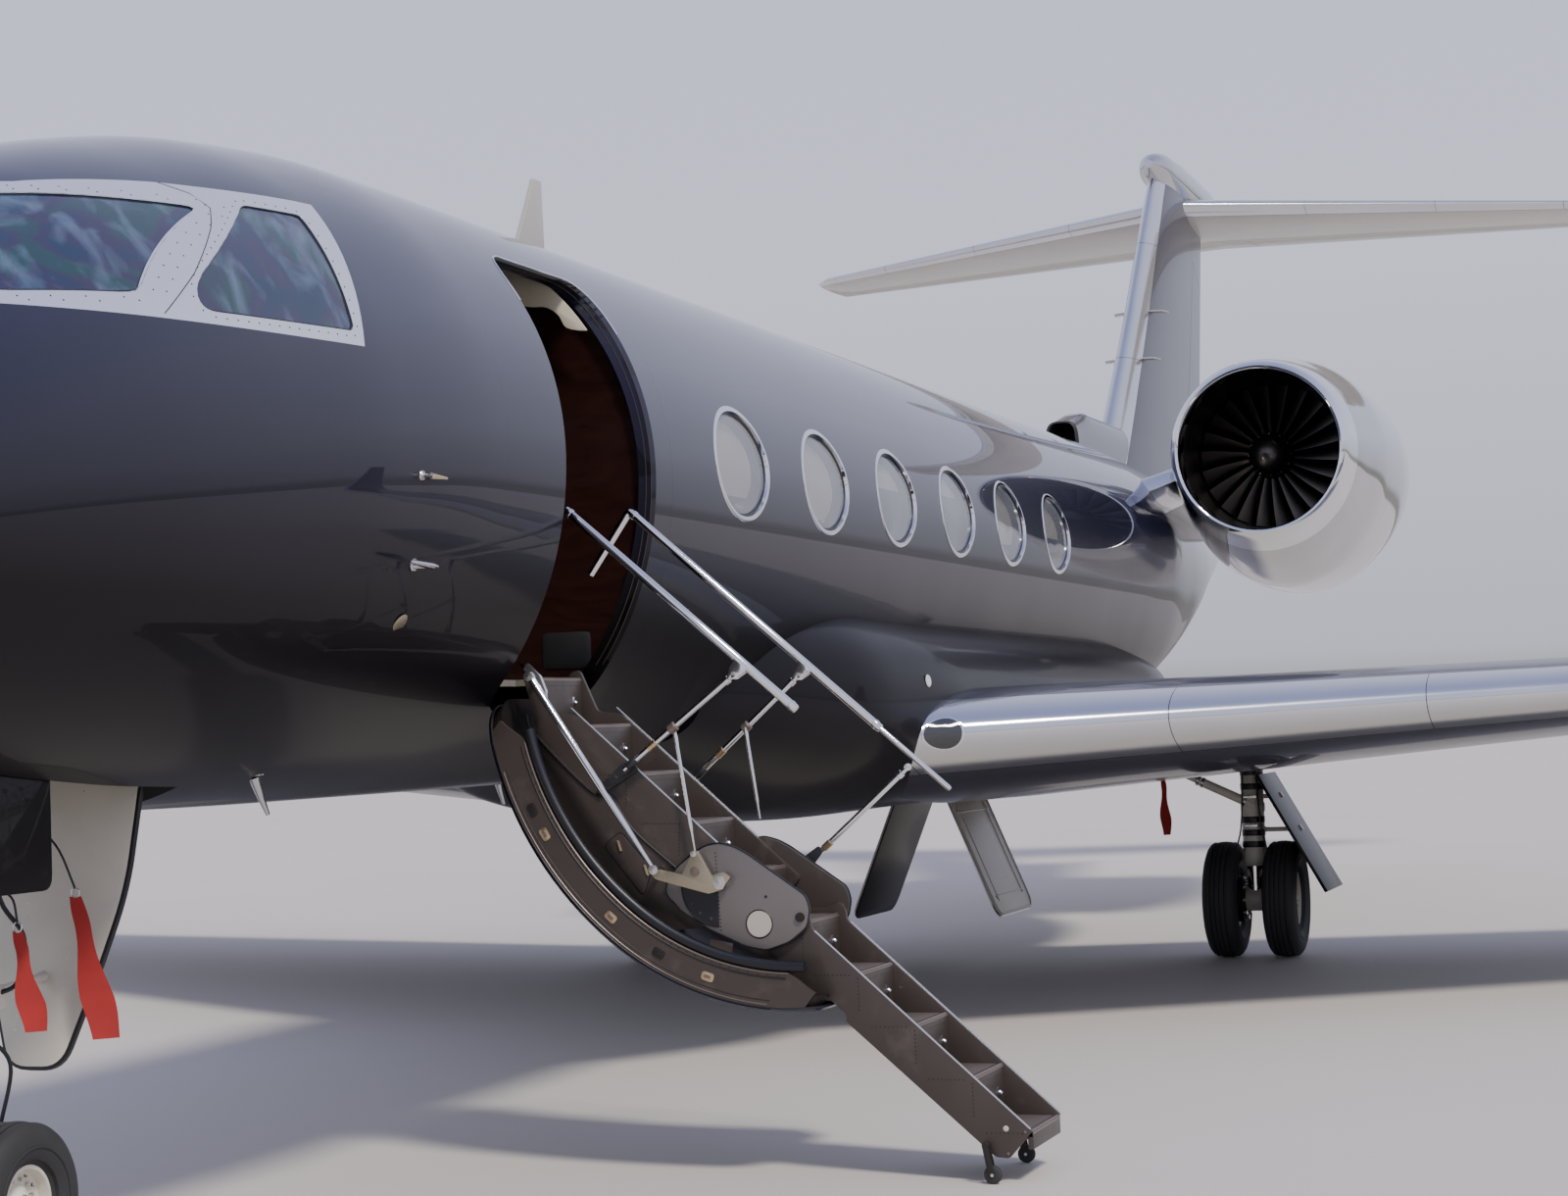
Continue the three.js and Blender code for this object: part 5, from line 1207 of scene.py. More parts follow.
def section(chord, ratio, start=0.0, end=1.0, count=26, nose=0.0):
    """Points round a stretch of a wing section, with the share of chord at each one."""
    if start == 0:
        shares = end * (1 - np.cos(np.linspace(0, math.pi / 2, count))) ** 1.15
        shares = shares / shares[-1] * end
    else:
        shares = np.linspace(start, end, count)
    half = half_thickness(shares, ratio) * chord + EDGE_HALF * shares
    upper = list(zip(shares * chord, half, shares))[::-1]
    lower = [(aft, -high, share) for aft, high, share in upper[::-1]]
    if start == 0:
        return upper[:-1] + [(0.0, 0.0, 0.0)] + lower[1:]
    bulge = []
    radius = half[0]
    for angle in np.linspace(math.pi / 2, -math.pi / 2, 9)[1:-1]:
        bulge.append((start * chord - nose * radius * math.cos(angle), radius * math.sin(angle), start))
    return upper + bulge + lower


def blended(table, keys):
    """Rows of a table at the given keys, straight between them."""
    rows = np.array(table, float)
    return np.stack([np.interp(keys, rows[:, 0], rows[:, c]) for c in range(rows.shape[1])], axis=1)


def wing_rings(rows, start=0.0, end=1.0, nose=0.0):
    """Rings of a wing's rows, with the share of chord and the span at each point."""
    rings, flat = [], []
    span = 0.0
    for index, (x, lead, z, chord, ratio, twist, lean) in enumerate(rows):
        if index:
            span += math.dist((x, z), (rows[index - 1][0], rows[index - 1][2]))
        tilt, cant = math.radians(twist), math.radians(lean)
        ring = []
        for aft, high, share in section(chord, ratio, start, end, nose=nose):
            ring.append((x - high * math.sin(cant), along(lead) + aft * math.cos(tilt),
                         z + high * math.cos(cant) - (aft - 0.4 * chord) * math.sin(tilt)))
            flat.append((share, x + (span - x + rows[0][0] if x > 11 else 0)))
        rings.append(ring)
    return rings, flat


class BuildWings(bpy.types.Operator):
    """Builds the wings with their winglets, ailerons, root fairing and lights"""

    bl_idname = "jet.wings"
    bl_label = "Wings"

    def execute(self, context):
        inner, outer, share = AILERON["inner"], AILERON["outer"], AILERON["share"]
        wing = Piece("port_wing_skin")
        plain = blended(WING, np.array([1.0, 1.4, 2.9, 4.4, 6.0, inner - GAP]))
        wing.skin(*self.part(plain))
        split = blended(WING, np.array([inner - GAP, 9.0, outer + GAP]))
        wing.skin(*self.part(split, 0.0, share - 0.006))
        tips = [row for row in WING if row[0] > outer + 0.3]
        curve = pchip([(k, *row) for k, row in enumerate(tips)])
        winglet = [tuple(row) for row in curve(np.linspace(0, len(tips) - 1, 22))]
        start = blended(WING, np.array([outer + GAP]))
        wing.skin(*self.part([tuple(start[0])] + winglet))
        for track, reach in FLAP_TRACKS:
            row = blended(WING, np.array([track]))[0]
            y = along(row[1] + row[3] * 0.86)
            low = row[2] - 0.05
            rings = []
            for t in np.linspace(0, 1, 14):
                size = 0.075 * math.sin(math.pi * (0.04 + 0.92 * t)) ** 0.6
                rings.append([(track + size * 0.7 * math.cos(a), y - 0.6 + t * (reach + 0.75),
                               low - 0.02 + size * math.sin(a) - 0.03 * t) for a in turns(16)])
            wing.skin(rings, "navy_paint")
        tip_row = WING[-1]
        wing.tube([(tip_row[0] - 0.02, along(tip_row[1] + 0.72), tip_row[2] - 0.03),
                   (tip_row[0] - 0.02, along(tip_row[1] + 0.86), tip_row[2] - 0.03)], 0.004, "seal", 6)
        for x in STATIC_WICKS:
            row = blended(WING, np.array([x]))[0]
            tail = (row[0], along(row[1] + row[3]), row[2] - 0.6 * row[3] * math.sin(math.radians(row[5])))
            wing.tube([tail, (tail[0], tail[1] + 0.12, tail[2])], 0.003, "seal", 6)
        wing.make_pair("airframe", "port_wing")

        aileron = Piece("port_aileron_skin")
        rows = blended(WING, np.array([inner, 8.4, 9.1, 9.8, outer]))
        aileron.skin(*self.part(rows, share, 1.0, 1.0))
        aileron.make_pair("port_aileron", "port_aileron")
        self.fairing()
        self.lights()
        return {"FINISHED"}

    @staticmethod
    def part(rows, start=0.0, end=1.0, nose=0.0):
        """What Piece.skin takes for a stretch of wing."""
        rings, flat = wing_rings([tuple(row) for row in rows], start, end, nose)
        return rings, "wing_skin", True, True, True, flat

    @staticmethod
    def fairing():
        """The root fairing, with its two wheel wells cut out."""
        table = pchip(FAIRING)
        stations = np.linspace(FAIRING[0][0], FAIRING[-1][0], 70)
        squared = 2 / 2.6
        rings = []
        for station, (half, top, bottom, waist) in zip(stations, table(stations)):
            ring = []
            for a in turns(96):
                c, s = math.cos(a), math.sin(a)
                rise = top - waist if s >= 0 else waist - bottom
                ring.append((half * math.copysign(abs(c) ** squared, c), along(station),
                             waist + rise * math.copysign(abs(s) ** squared, s)))
            rings.append(ring)
        build = Piece("fairing")
        build.skin(rings, "navy_paint")
        raw = raw_object("fairing_skin", build.points, build.faces, [OUTER] * len(build.faces))
        well = WHEEL_WELL
        cuts = []
        for sign in (1, -1):
            x0, x1 = sorted((sign * well["inner"], sign * well["outer"]))
            cuts.append(prism("y", [(x0, 0.9), (x1, 0.9), (x1, 1.62), (x0, 1.62)], along(well["from"]),
                              along(well["to"])))
        carve(raw, cuts)
        mesh = raw.data
        mesh.materials.clear()
        for finish in ("navy_paint", "seal", "seal", "bay_paint"):
            mesh.materials.append(finish_of(finish))
        mesh.polygons.foreach_set("use_smooth", [True] * len(mesh.polygons))
        mesh.set_sharp_from_angle(angle=math.radians(32))
        settle(raw, "airframe", ["wing_fairing"])

    @staticmethod
    def lights():
        """Landing lights in the leading edges, and the root and tip lamps."""
        trim = Piece("wing_lights")
        for sign in (1, -1):
            for k, finish in ((1.0, "lip_chrome"), (0.9, "lamp_glass")):
                lens = []
                for size in (1.0, 0.66, 0.33, 0.02):
                    ring = []
                    for a in turns(28):
                        across, up = 1.475 + 0.1 * k * size * math.cos(a), 0.72 * k * size * math.sin(a)
                        _, lead, z, chord, ratio, twist, _ = blended(WING, np.array([across]))[0]
                        share = 0.02 * up * up + 1e-6
                        high = math.copysign(half_thickness(share, ratio) * chord, up)
                        ring.append((sign * across, along(lead) + share * chord - (1.12 - k) * 0.03 - 0.002,
                                     z + high + 0.4 * chord * math.sin(math.radians(twist))))
                    lens.append(ring)
                trim.skin(lens, finish, caps=False)
            spot = Vector((sign * 1.385, along(9.0), 1.93))
            trim.lathe([(0.0, 0.004), (0.03, 0.004), (0.034, 0.0)], spot, (sign, -0.1, 0.1), "lamp", 20)
            row = WING[-1]
            tip = Vector((sign * (row[0] - 0.01), along(row[1] + 0.1), row[2] - 0.25))
            trim.tube([tip, tip + Vector((0, 0.12, 0))], [0.012, 0.006], "lamp", 10)
        trim.make("airframe")


# Columns: station, half width, top, bottom, waist.
FAIRING = (
    (7.2, 0.8, 2.3, 1.6, 1.9), (7.8, 1.12, 2.42, 1.42, 1.86), (8.5, 1.34, 2.45, 1.26, 1.8),
    (9.6, 1.42, 2.4, 1.19, 1.78), (14.6, 1.42, 2.35, 1.19, 1.76), (15.5, 1.32, 2.3, 1.25, 1.8),
    (16.3, 1.12, 2.25, 1.4, 1.86), (17.0, 0.8, 2.2, 1.62, 1.9),
)
WHEEL_WELL = {"inner": 0.16, "outer": 1.12, "from": 13.28, "to": 14.27}

# Columns: height, leading edge, trailing edge, thickness ratio.
FIN = ((3.8, 19.0, 23.8, 0.085), (4.43, 19.67, 23.95, 0.085), (5.45, 20.65, 24.21, 0.085),
       (6.9, 21.91, 24.58, 0.09), (7.25, 22.25, 24.67, 0.09))
RUDDER = {"low": 4.35, "high": 6.5, "share": 0.74}
# How far aft the fin's lines lean for each metre of height.
FIN_SLOPE = {"lead": 0.907, "trail": 0.255, "hinge": 0.428}
BULLET = ((21.98, 0.04), (22.1, 0.12), (22.4, 0.18), (23.2, 0.2), (24.4, 0.19), (25.1, 0.12), (25.4, 0.03))
BULLET_HEIGHT = 7.24
TAILPLANE_HEIGHT = 7.0
TAILPLANE = ((0, 23.04, 26.01, 0.09), (4.7, 25.62, 26.89, 0.09), (4.875, 25.86, 26.92, 0.05))
ELEVATOR = {"inner": 0.42, "outer": 4.55, "share": 0.68}


class BuildTail(bpy.types.Operator):
    """Builds the fin, rudder, tailplane, elevators and what stands on them"""

    bl_idname = "jet.tail"
    bl_label = "Tail"

    def execute(self, context):
        fin = Piece("fin_skin")
        low, high, share = RUDDER["low"], RUDDER["high"], RUDDER["share"]
        self.upright(fin, [3.8, low - GAP])
        self.upright(fin, np.linspace(low - GAP, high + GAP, 6), 0.0, share - 0.006)
        self.upright(fin, [high + GAP, 6.9, 7.25])
        bullet = pchip(BULLET)
        rings = []
        for station in np.linspace(BULLET[0][0], BULLET[-1][0], 40):
            radius = bullet(station)[0][0]
            rings.append([(radius * math.cos(a), along(station), BULLET_HEIGHT + radius * math.sin(a))
                          for a in turns(40)])
        fin.skin(rings, "polished")
        self.scoop(fin)
        for z in (5.1, 5.62):
            row = blended(FIN, np.array([z]))[0]
            y = along(row[1] + 0.34)
            for sign in (1, -1):
                blade = [(0, 0), (0.17, 0.05), (0.2, 0.2), (0.02, 0.12)]
                outline = [(sign * (0.07 + a), y + b) for a, b in blade]
                fin.plate(outline, Matrix.Translation((0, 0, z)), 0.012, "tail_paint", 0.003)
        fin.make("airframe", ["fin"], 50)
        rudder = Piece("rudder_skin")
        self.upright(rudder, np.linspace(low, high, 7), share, 1.0, 1.0)
        rudder.make("rudder", ["rudder"], 50)

        tail = Piece("tailplane_skin")
        inner, outer, share = ELEVATOR["inner"], ELEVATOR["outer"], ELEVATOR["share"]
        for sign in (1, -1):
            self.level(tail, [0.0, inner - GAP], sign)
            self.level(tail, [inner - GAP, 1.8, 3.2, outer + GAP], sign, 0.0, share - 0.008)
            self.level(tail, [outer + GAP, 4.7, 4.8, 4.875], sign)
        tail.make("airframe", ["tailplane"], 50)
        elevator = Piece("port_elevator_skin")
        self.level(elevator, [inner, 1.5, 2.9, outer], 1, share, 1.0, 1.0)
        elevator.make_pair("port_elevator", "port_elevator")
        return {"FINISHED"}

    @staticmethod
    def upright(piece, heights, start=0.0, end=1.0, nose=0.0):
        """The fin or rudder between heights. Behind the hinge, its ends lie square to the leaning axis."""
        slope = FIN_SLOPE
        rings, flat = [], []
        for z, lead, trail, ratio in blended(FIN, np.array(heights)):
            ring = []
            square = RUDDER["low"] - 2 * GAP < z < RUDDER["high"] + 2 * GAP
            for aft, side, share in section(trail - lead, ratio, start, end, nose=nose):
                behind = (share - RUDDER["share"]) * (trail - lead)
                lean = slope["lead"] + share * (slope["trail"] - slope["lead"])
                drop = slope["hinge"] * behind / (1 + slope["hinge"] * lean) if square and behind > 0 else 0
                ring.append((side, along(lead) + aft - lean * drop, z - drop))
                flat.append((share, z))
            rings.append(ring)
        piece.skin(rings, "fin_skin", flat=flat)

    @staticmethod
    def level(piece, spans, sign, start=0.0, end=1.0, nose=0.0):
        """One side of the tailplane or elevator between distances off the centre line."""
        rings, flat = [], []
        for x, lead, trail, ratio in blended(TAILPLANE, np.array(spans, float)):
            points = section(trail - lead, ratio, start, end, nose=nose)
            rings.append([(sign * x, along(lead) + aft, TAILPLANE_HEIGHT + high) for aft, high, _ in points])
            flat += [(share, x) for _, _, share in points]
        piece.skin(rings, "tailplane_skin", flat=flat)

    @staticmethod
    def scoop(fin):
        """The air scoop at the fin's root, with its hollow mouth."""
        half, top = 0.15, 4.36
        rings = []
        for t in np.linspace(0, 1, 16):
            y = along(17.85 + t * 2.35)
            ease = min(1.0, 0.72 + t * 1.4)
            rings.append([(half * math.copysign(abs(math.cos(a)) ** 0.5, math.cos(a)), y,
                           3.95 + (top - 3.95) * ease * abs(math.sin(a)) ** 0.5)
                          for a in np.linspace(0, math.pi, 20)])
        fin.skin(rings, "navy_paint", wrap=False, caps=False)
        mouth = [[(x * k, along(17.85 + d), 4.17 + (z - 4.17) * k) for x, _, z in rings[0]]
                 for k, d in ((1.0, 0.0), (0.8, -0.01), (0.74, 0.02), (0.7, 0.5), (0.02, 0.55))]
        fin.skin(mouth, "dark_plastic", wrap=True, caps=False)


# Engines

# Columns: station, half width, rise, drop, about the inlet's axis.
COWL = ((16.66, 0.665, 0.665, 0.665), (16.7, 0.7, 0.7, 0.7), (16.85, 0.735, 0.735, 0.76),
        (17.3, 0.8, 0.79, 0.93), (17.9, 0.865, 0.86, 1.06), (18.7, 0.88, 0.87, 1.08),
        (19.6, 0.83, 0.82, 0.95), (20.5, 0.69, 0.69, 0.74), (21.2, 0.55, 0.55, 0.57))
ENGINE = {"x": 1.875, "z": 3.78}
FAN = {"blades": 22, "tip": 0.582, "hub": 0.19, "station": 17.3}


class BuildEngines(bpy.types.Operator):
    """Builds the engine cowls, inlets, fans, nozzles and pylons"""

    bl_idname = "jet.engines"
    bl_label = "Engines"

    def execute(self, context):
        cowl = Piece("port_cowl")
        table = pchip(COWL)
        around = turns(sizes().cowl_sides)

        def ring(station):
            half, rise, drop = table(station)[0]
            return [(ENGINE["x"] + half * math.cos(a), along(station),
                     ENGINE["z"] + (rise if math.sin(a) >= 0 else drop) * math.sin(a)) for a in around]

        def bore(station, radius):
            return [(ENGINE["x"] + radius * math.cos(a), along(station), ENGINE["z"] + radius * math.sin(a))
                    for a in around]

        cowl.skin([ring(s) for s in np.linspace(16.95, 21.2, 52)], "polished", caps=False)
        lip = [ring(s) for s in (16.95, 16.9, 16.85, 16.79, 16.74, 16.7)]
        lip += [bore(16.675, 0.682), bore(16.66, 0.664), bore(16.665, 0.648), bore(16.69, 0.636),
                bore(16.75, 0.63), bore(16.82, 0.628)]
        cowl.skin(lip, "lip_chrome", caps=False)
        cowl.skin([bore(s, r) for s, r in ((16.82, 0.628), (17.0, 0.618), (17.18, 0.604), (17.25, 0.6),
                                           (17.62, 0.6))], "fan_metal", caps=False)
        # A dark disc right behind the fan closes the duct: painted shade standing in for its dark depth.
        cowl.skin([bore(17.56, 0.6), bore(17.57, 0.19)], "dark_plastic", caps=False)
        cowl.skin([ring(21.2), bore(21.21, 0.535), bore(21.19, 0.52), bore(20.9, 0.5), bore(20.4, 0.47),
                   bore(19.8, 0.46)], "hot_metal", caps=False)
        vane = [(0.2, -0.004), (0.595, -0.006), (0.595, 0.006), (0.2, 0.004)]
        middle = Matrix.Translation((ENGINE["x"], along(17.5), ENGINE["z"]))
        for a in turns(30):
            cowl.plate(vane, middle @ Matrix.Rotation(-a, 4, "Y") @ FACING_Y, 0.05, "dark_plastic")
        cowl.make_pair("airframe", "port_nacelle")

        core = Piece("port_core_skin")
        core.lathe([(0.585, 0.0), (0.585, 0.25), (0.44, 0.36), (0.42, 1.6), (0.4, 2.5), (0.34, 2.9),
                    (0.2, 3.2), (0.05, 3.32)], (ENGINE["x"], along(17.62), ENGINE["z"]), (0, 1, 0),
                   "hot_metal", 48, True)
        core.make_pair("airframe", "port_engine_core")

        for side, sign in (("port", 1), ("starboard", -1)):
            self.fan(side, sign)
        self.pylons()
        return {"FINISHED"}

    @staticmethod
    def fan(side, sign):
        """A spinner with its bolts and twisted blades."""
        fan = Piece(f"{side}_fan_blades")
        x, y, z = sign * ENGINE["x"], along(FAN["station"]), ENGINE["z"]
        fan.lathe([(0.0, -0.26), (0.03, -0.252), (0.09, -0.215), (0.135, -0.15), (0.165, -0.08),
                   (0.185, -0.01), (0.19, 0.03), (0.19, 0.19), (0.0, 0.19)], (x, y, z), (0, 1, 0),
                  "fan_metal", 40)
        for angle in turns(FAN["blades"]):
            c, s = math.cos(angle), math.sin(angle)
            rings = []
            for t in np.linspace(0, 1, 6):
                radius = FAN["hub"] - 0.02 + t * (FAN["tip"] - FAN["hub"] + 0.02)
                twist = 0.42 + 0.62 * t
                chord = 0.16 + 0.05 * t
                thick = 0.011 - 0.006 * t
                lean = 0.09 * t * t
                ring = []
                for a in turns(10):
                    u = chord / 2 * math.cos(a)
                    v = thick * math.sin(a) + 0.016 * (1 - (2 * u / chord) ** 2)
                    aft = 0.1 + u * math.cos(twist) - v * math.sin(twist)
                    across = sign * (u * math.sin(twist) + v * math.cos(twist)) + lean * sign * 0.2
                    ring.append((x + radius * c - across * s, y + aft, z + radius * s + across * c))
                rings.append(ring)
            fan.skin(rings, "fan_metal")
        for a in turns(12):
            spot = (x + 0.172 * math.cos(a), y - 0.058, z + 0.172 * math.sin(a))
            fan.dome(spot, (math.cos(a) * 0.8, -0.6, math.sin(a) * 0.8), 0.007, "bright_edge", 0.8, 8)
        fan.make(f"{side}_fan", [f"{side}_fan"], 45)

    @staticmethod
    def pylons():
        pylon = Piece("port_pylon_skin")
        shares = [(0, 0.0), (0.008, 0.5), (0.02, 0.78), (0.05, 0.95), (0.12, 1.0), (0.35, 1), (0.6, 1),
                  (0.8, 0.7), (0.92, 0.36), (1, 0.04)]
        outline = shares + [(share, -high) for share, high in shares[::-1]]
        rings, flat = [], []
        for x, lead, trail, z, half in ((0.55, 16.85, 21.6, 3.4, 0.17), (0.8, 16.86, 21.55, 3.47, 0.165),
                                        (1.0, 16.88, 21.5, 3.53, 0.16), (1.15, 17.0, 21.3, 3.6, 0.155)):
            rings.append([(x, along(lead + share * (trail - lead)), z + high * half)
                          for share, high in outline])
            flat += [(abs(share), x) for share, _ in outline]
        pylon.skin(rings, "fin_skin", flat=flat)
        pylon.make_pair("airframe", "port_pylon")


# Landing gear

MAIN = {"x": 2.17, "y": along(14.1), "radius": 0.4, "half": 0.117, "offset": 0.205, "rim": 0.205}
NOSE = {"x": 0.0, "y": along(2.65), "radius": 0.266, "half": 0.092, "offset": 0.15, "rim": 0.13}
LEG_DOOR = ((2.262, 1.262), (2.282, 1.272), (2.722, 0.47), (2.7, 0.462))
BELLY = {"x": 0.184, "z": 1.21, "open": 67.5, "reach": 0.93, "thick": 0.022}
NOSE_DOOR = {"x": 0.39, "z": 1.66, "drop": 0.378, "from": 1.7, "to": 2.56, "thick": 0.018}


def tyre(piece, x, y, gear, grooves):
    """A tyre with round shoulders and a grooved tread."""
    r, w, rim = gear["radius"], gear["half"], gear["rim"] + 0.002
    wall = r - rim
    side = [(rim - 0.004, 0.56), (rim + 0.012, 0.66), (rim + 0.1 * wall, 0.8), (rim + 0.28 * wall, 0.95),
            (rim + 0.47 * wall, 1.0), (rim + 0.66 * wall, 0.97), (rim + 0.82 * wall, 0.87),
            (rim + 0.92 * wall, 0.74), (rim + 0.975 * wall, 0.6)]
    profile = [(radius, share * w) for radius, share in side]
    depth = sizes().groove_depth
    for share in grooves:
        for step, cut in ((0.035, 0), (0.028, depth), (-0.028, depth), (-0.035, 0)):
            reach = share + step
            profile.append((r - 0.012 * reach * reach / 0.36 - cut, reach * w))
    profile += [(radius, -share * w) for radius, share in side[::-1]]
    piece.lathe(profile, (x, y, gear["radius"]), (1, 0, 0), "rubber", 96)
    for share in (0.985, -0.985):
        ring = [(x + share * w, y + (rim + 0.4 * wall) * math.cos(a), r + (rim + 0.4 * wall) * math.sin(a))
                for a in turns(72)]
        piece.loop(ring, 0.004, "rubber", 6)


def rim(piece, x, y, gear, side):
    """A wheel half with its rim flange, dish, bolts and hub cap. Side is the way it faces."""
    r, w, z = gear["rim"], gear["half"], gear["radius"]
    out = (side, 0, 0)
    face = 0.6 * w
    piece.lathe([(0.34 * r, -face), (0.97 * r, -face), (r, -face + 0.01), (r, face - 0.008),
                 (0.985 * r, face), (0.9 * r, face), (0.87 * r, face - 0.012), (0.84 * r, 0.2 * w),
                 (0.7 * r, 0.06 * w), (0.52 * r, 0.1 * w), (0.42 * r, 0.26 * w), (0.34 * r, 0.34 * w),
                 (0.3 * r, 0.5 * w), (0.22 * r, 0.56 * w), (0.2 * r, 0.6 * w), (0.0, 0.6 * w)], (x, y, z),
                out, "cream_paint", 64)
    matrix = facing(out, (x, y, z))
    for count, radius, size, lift in ((12, 0.62, 0.055, 0.09), (8, 0.27, 0.03, 0.54)):
        for k in range(count):
            a = math.tau * (k + 0.5) / count
            spot = matrix @ Vector((radius * r * math.cos(a), radius * r * math.sin(a), lift * w))
            piece.lathe([(size * r, -0.004), (size * r, 0.01), (size * r * 0.8, 0.013), (0, 0.013)], spot,
                        out, "bright_edge", 6)
    for a in turns(12):
        spot = matrix @ Vector((0.77 * r * math.cos(a), 0.77 * r * math.sin(a), 0.13 * w))
        piece.lathe([(0.05 * r, 0.003), (0.05 * r, -0.002), (0.0, -0.003)], spot, out, "dark_plastic", 12)


class BuildMainGear(bpy.types.Operator):
    """Builds the main legs with their brakes, wheels, tyres and doors"""

    bl_idname = "jet.main_gear"
    bl_label = "Main gear"

    def execute(self, context):
        for side, sign in (("port", 1), ("starboard", -1)):
            x, y, z = sign * MAIN["x"], MAIN["y"], MAIN["radius"]
            self.leg(side, sign, x, y, z)
            self.leg_door(side, sign, x, y)
            wheels = Piece(f"{side}_main_wheel_halves")
            for out in (1, -1):
                rim(wheels, x + out * MAIN["offset"], y, MAIN, out)
            wheels.lathe([(0.042, -0.16), (0.042, 0.16)], (x, y, z), (1, 0, 0), "bright_edge", 24)
            wheels.make(f"{side}_main_wheels", [f"{side}_main_wheels"])
            for name, out in (("inner", -sign), ("outer", sign)):
                rubber_ring = Piece(f"{side}_{name}_tyre_tread")
                tyre(rubber_ring, x + out * MAIN["offset"], y, MAIN, (0.42, 0.14, -0.14, -0.42))
                rubber_ring.make(f"{side}_main_wheels", [f"{side}_{name}_tyre"])
            self.belly_door(side, sign)
        return {"FINISHED"}

    @staticmethod
    def leg(side, sign, x, y, z):
        """One leg with its axle sleeve, brakes, torque links, side brace, bands and hoses."""
        leg = Piece(f"{side}_main_leg_parts")
        leg.lathe([(0.0, 0.63), (0.062, 0.63), (0.072, 0.64), (0.086, 0.66), (0.086, 0.72), (0.078, 0.735),
                   (0.078, 1.0), (0.084, 1.01), (0.084, 1.06), (0.078, 1.07), (0.078, 1.62)], (x, y, 0),
                  (0, 0, 1), "cream_paint", 40)
        leg.lathe([(0.056, 0.4), (0.056, 0.64)], (x, y, 0), (0, 0, 1), "chrome", 32)
        for low in (0.76, 0.84, 0.93, 1.16, 1.26):
            band = [(0.0795, low), (0.081, low + 0.003), (0.081, low + 0.04), (0.0795, low + 0.043)]
            leg.lathe(band, (x, y, 0), (0, 0, 1), "seal", 40)
        leg.lathe([(0.0, -0.066), (0.078, -0.066), (0.084, -0.058), (0.084, 0.058), (0.078, 0.066),
                   (0.0, 0.066)], (x, y, z), (1, 0, 0), "cream_paint", 36)
        for out in (1, -1):
            leg.lathe([(0.06, 0.068), (0.15, 0.075), (0.158, 0.082), (0.158, 0.124), (0.15, 0.13),
                       (0.06, 0.13)], (x, y, z), (out, 0, 0), "stair_dark", 48)
            for a in turns(8):
                spot = Vector((x + out * 0.074, y + 0.125 * math.cos(a), z + 0.125 * math.sin(a)))
                piston = [(0.0, 0.0), (0.016, 0.0), (0.016, -0.02), (0.0, -0.02)]
                leg.lathe(piston, spot, (out, 0, 0), "bright_edge", 10)
        for low, high in (((0.085, 0.98), (0.165, 0.82)), ((0.165, 0.82), (0.085, 0.655))):
            for out in (-1, 1):
                a = Vector((x + out * 0.03, y + low[0], low[1]))
                b = Vector((x + out * 0.02, y + high[0], high[1]))
                leg.tube([a, a.lerp(b, 0.5), b], [0.018, 0.014, 0.016], "cream_paint", 10)
        leg.tube([(x - 0.045, y + 0.168, 0.82), (x + 0.045, y + 0.168, 0.82)], 0.019, "bright_edge", 14)
        for height in (0.98, 0.655):
            leg.tube([(x - 0.05, y + 0.085, height), (x + 0.05, y + 0.085, height)], 0.024, "cream_paint",
                     14)
        top, foot = Vector((sign * 1.35, y - 0.06, 1.45)), Vector((x, y - 0.06, 1.06))
        leg.tube(between(foot, top, 0, 0.04, 0.42, 0.45, 1), [0.026, 0.032, 0.032, 0.024, 0.024],
                 "cream_paint", 20)
        collar = [(0.031, -0.01), (0.037, -0.008), (0.037, 0.008), (0.031, 0.01)]
        for spot in between(foot, top, 0.05, 0.4, 0.44):
            leg.lathe(collar, spot, top - foot, "bright_edge", 24)
        for shift, radius in ((0.05, 0.007), (-0.05, 0.006)):
            path = [(x + shift, y - 0.086, 1.5), (x + shift, y - 0.095, 1.2),
                    (x + shift * 1.4, y - 0.1, 0.9), (x + shift * 2.2, y - 0.12, 0.72),
                    (x + shift * 2.0, y - 0.105, 0.58), (x + shift * 2.6, y - 0.08, 0.47)]
            leg.tube(smoothed(path, 30), radius, "seal", 8)
        for height in (1.34, 1.1, 0.9):
            leg.box((x - 0.045, y - 0.108, height), (x + 0.045, y - 0.075, height + 0.022), "bright_edge",
                    0.003)
        leg.make("airframe", [f"{side}_main_leg"])

    @staticmethod
    def leg_door(side, sign, x, y):
        """The door that hangs on the leg, with its two links."""
        door = Piece(f"{side}_leg_door_panel")
        outline = [(sign * u, w) for u, w in LEG_DOOR]
        door.plate(outline, Matrix.Translation((0, along(13.72), 0)) @ FACING_Y, 0.7, "navy_paint", 0.005)
        u = Vector((sign * (2.7 - 2.262), 0, 0.462 - 1.262)).normalized()
        for z, reach in ((1.11, 2.356), (0.88, 2.484)):
            a, b = Vector((x + sign * 0.07, y, z)), Vector((sign * reach, y, z))
            door.tube(between(a, b, 0, 0.1, 0.9, 1), [0.024, 0.016, 0.016, 0.022], "cream_paint", 14)
            door.lathe([(0.0, -0.02), (0.026, -0.02), (0.026, 0.02), (0.0, 0.02)], b, u, "bright_edge", 16)
        door.make("airframe", [f"{side}_leg_door"])

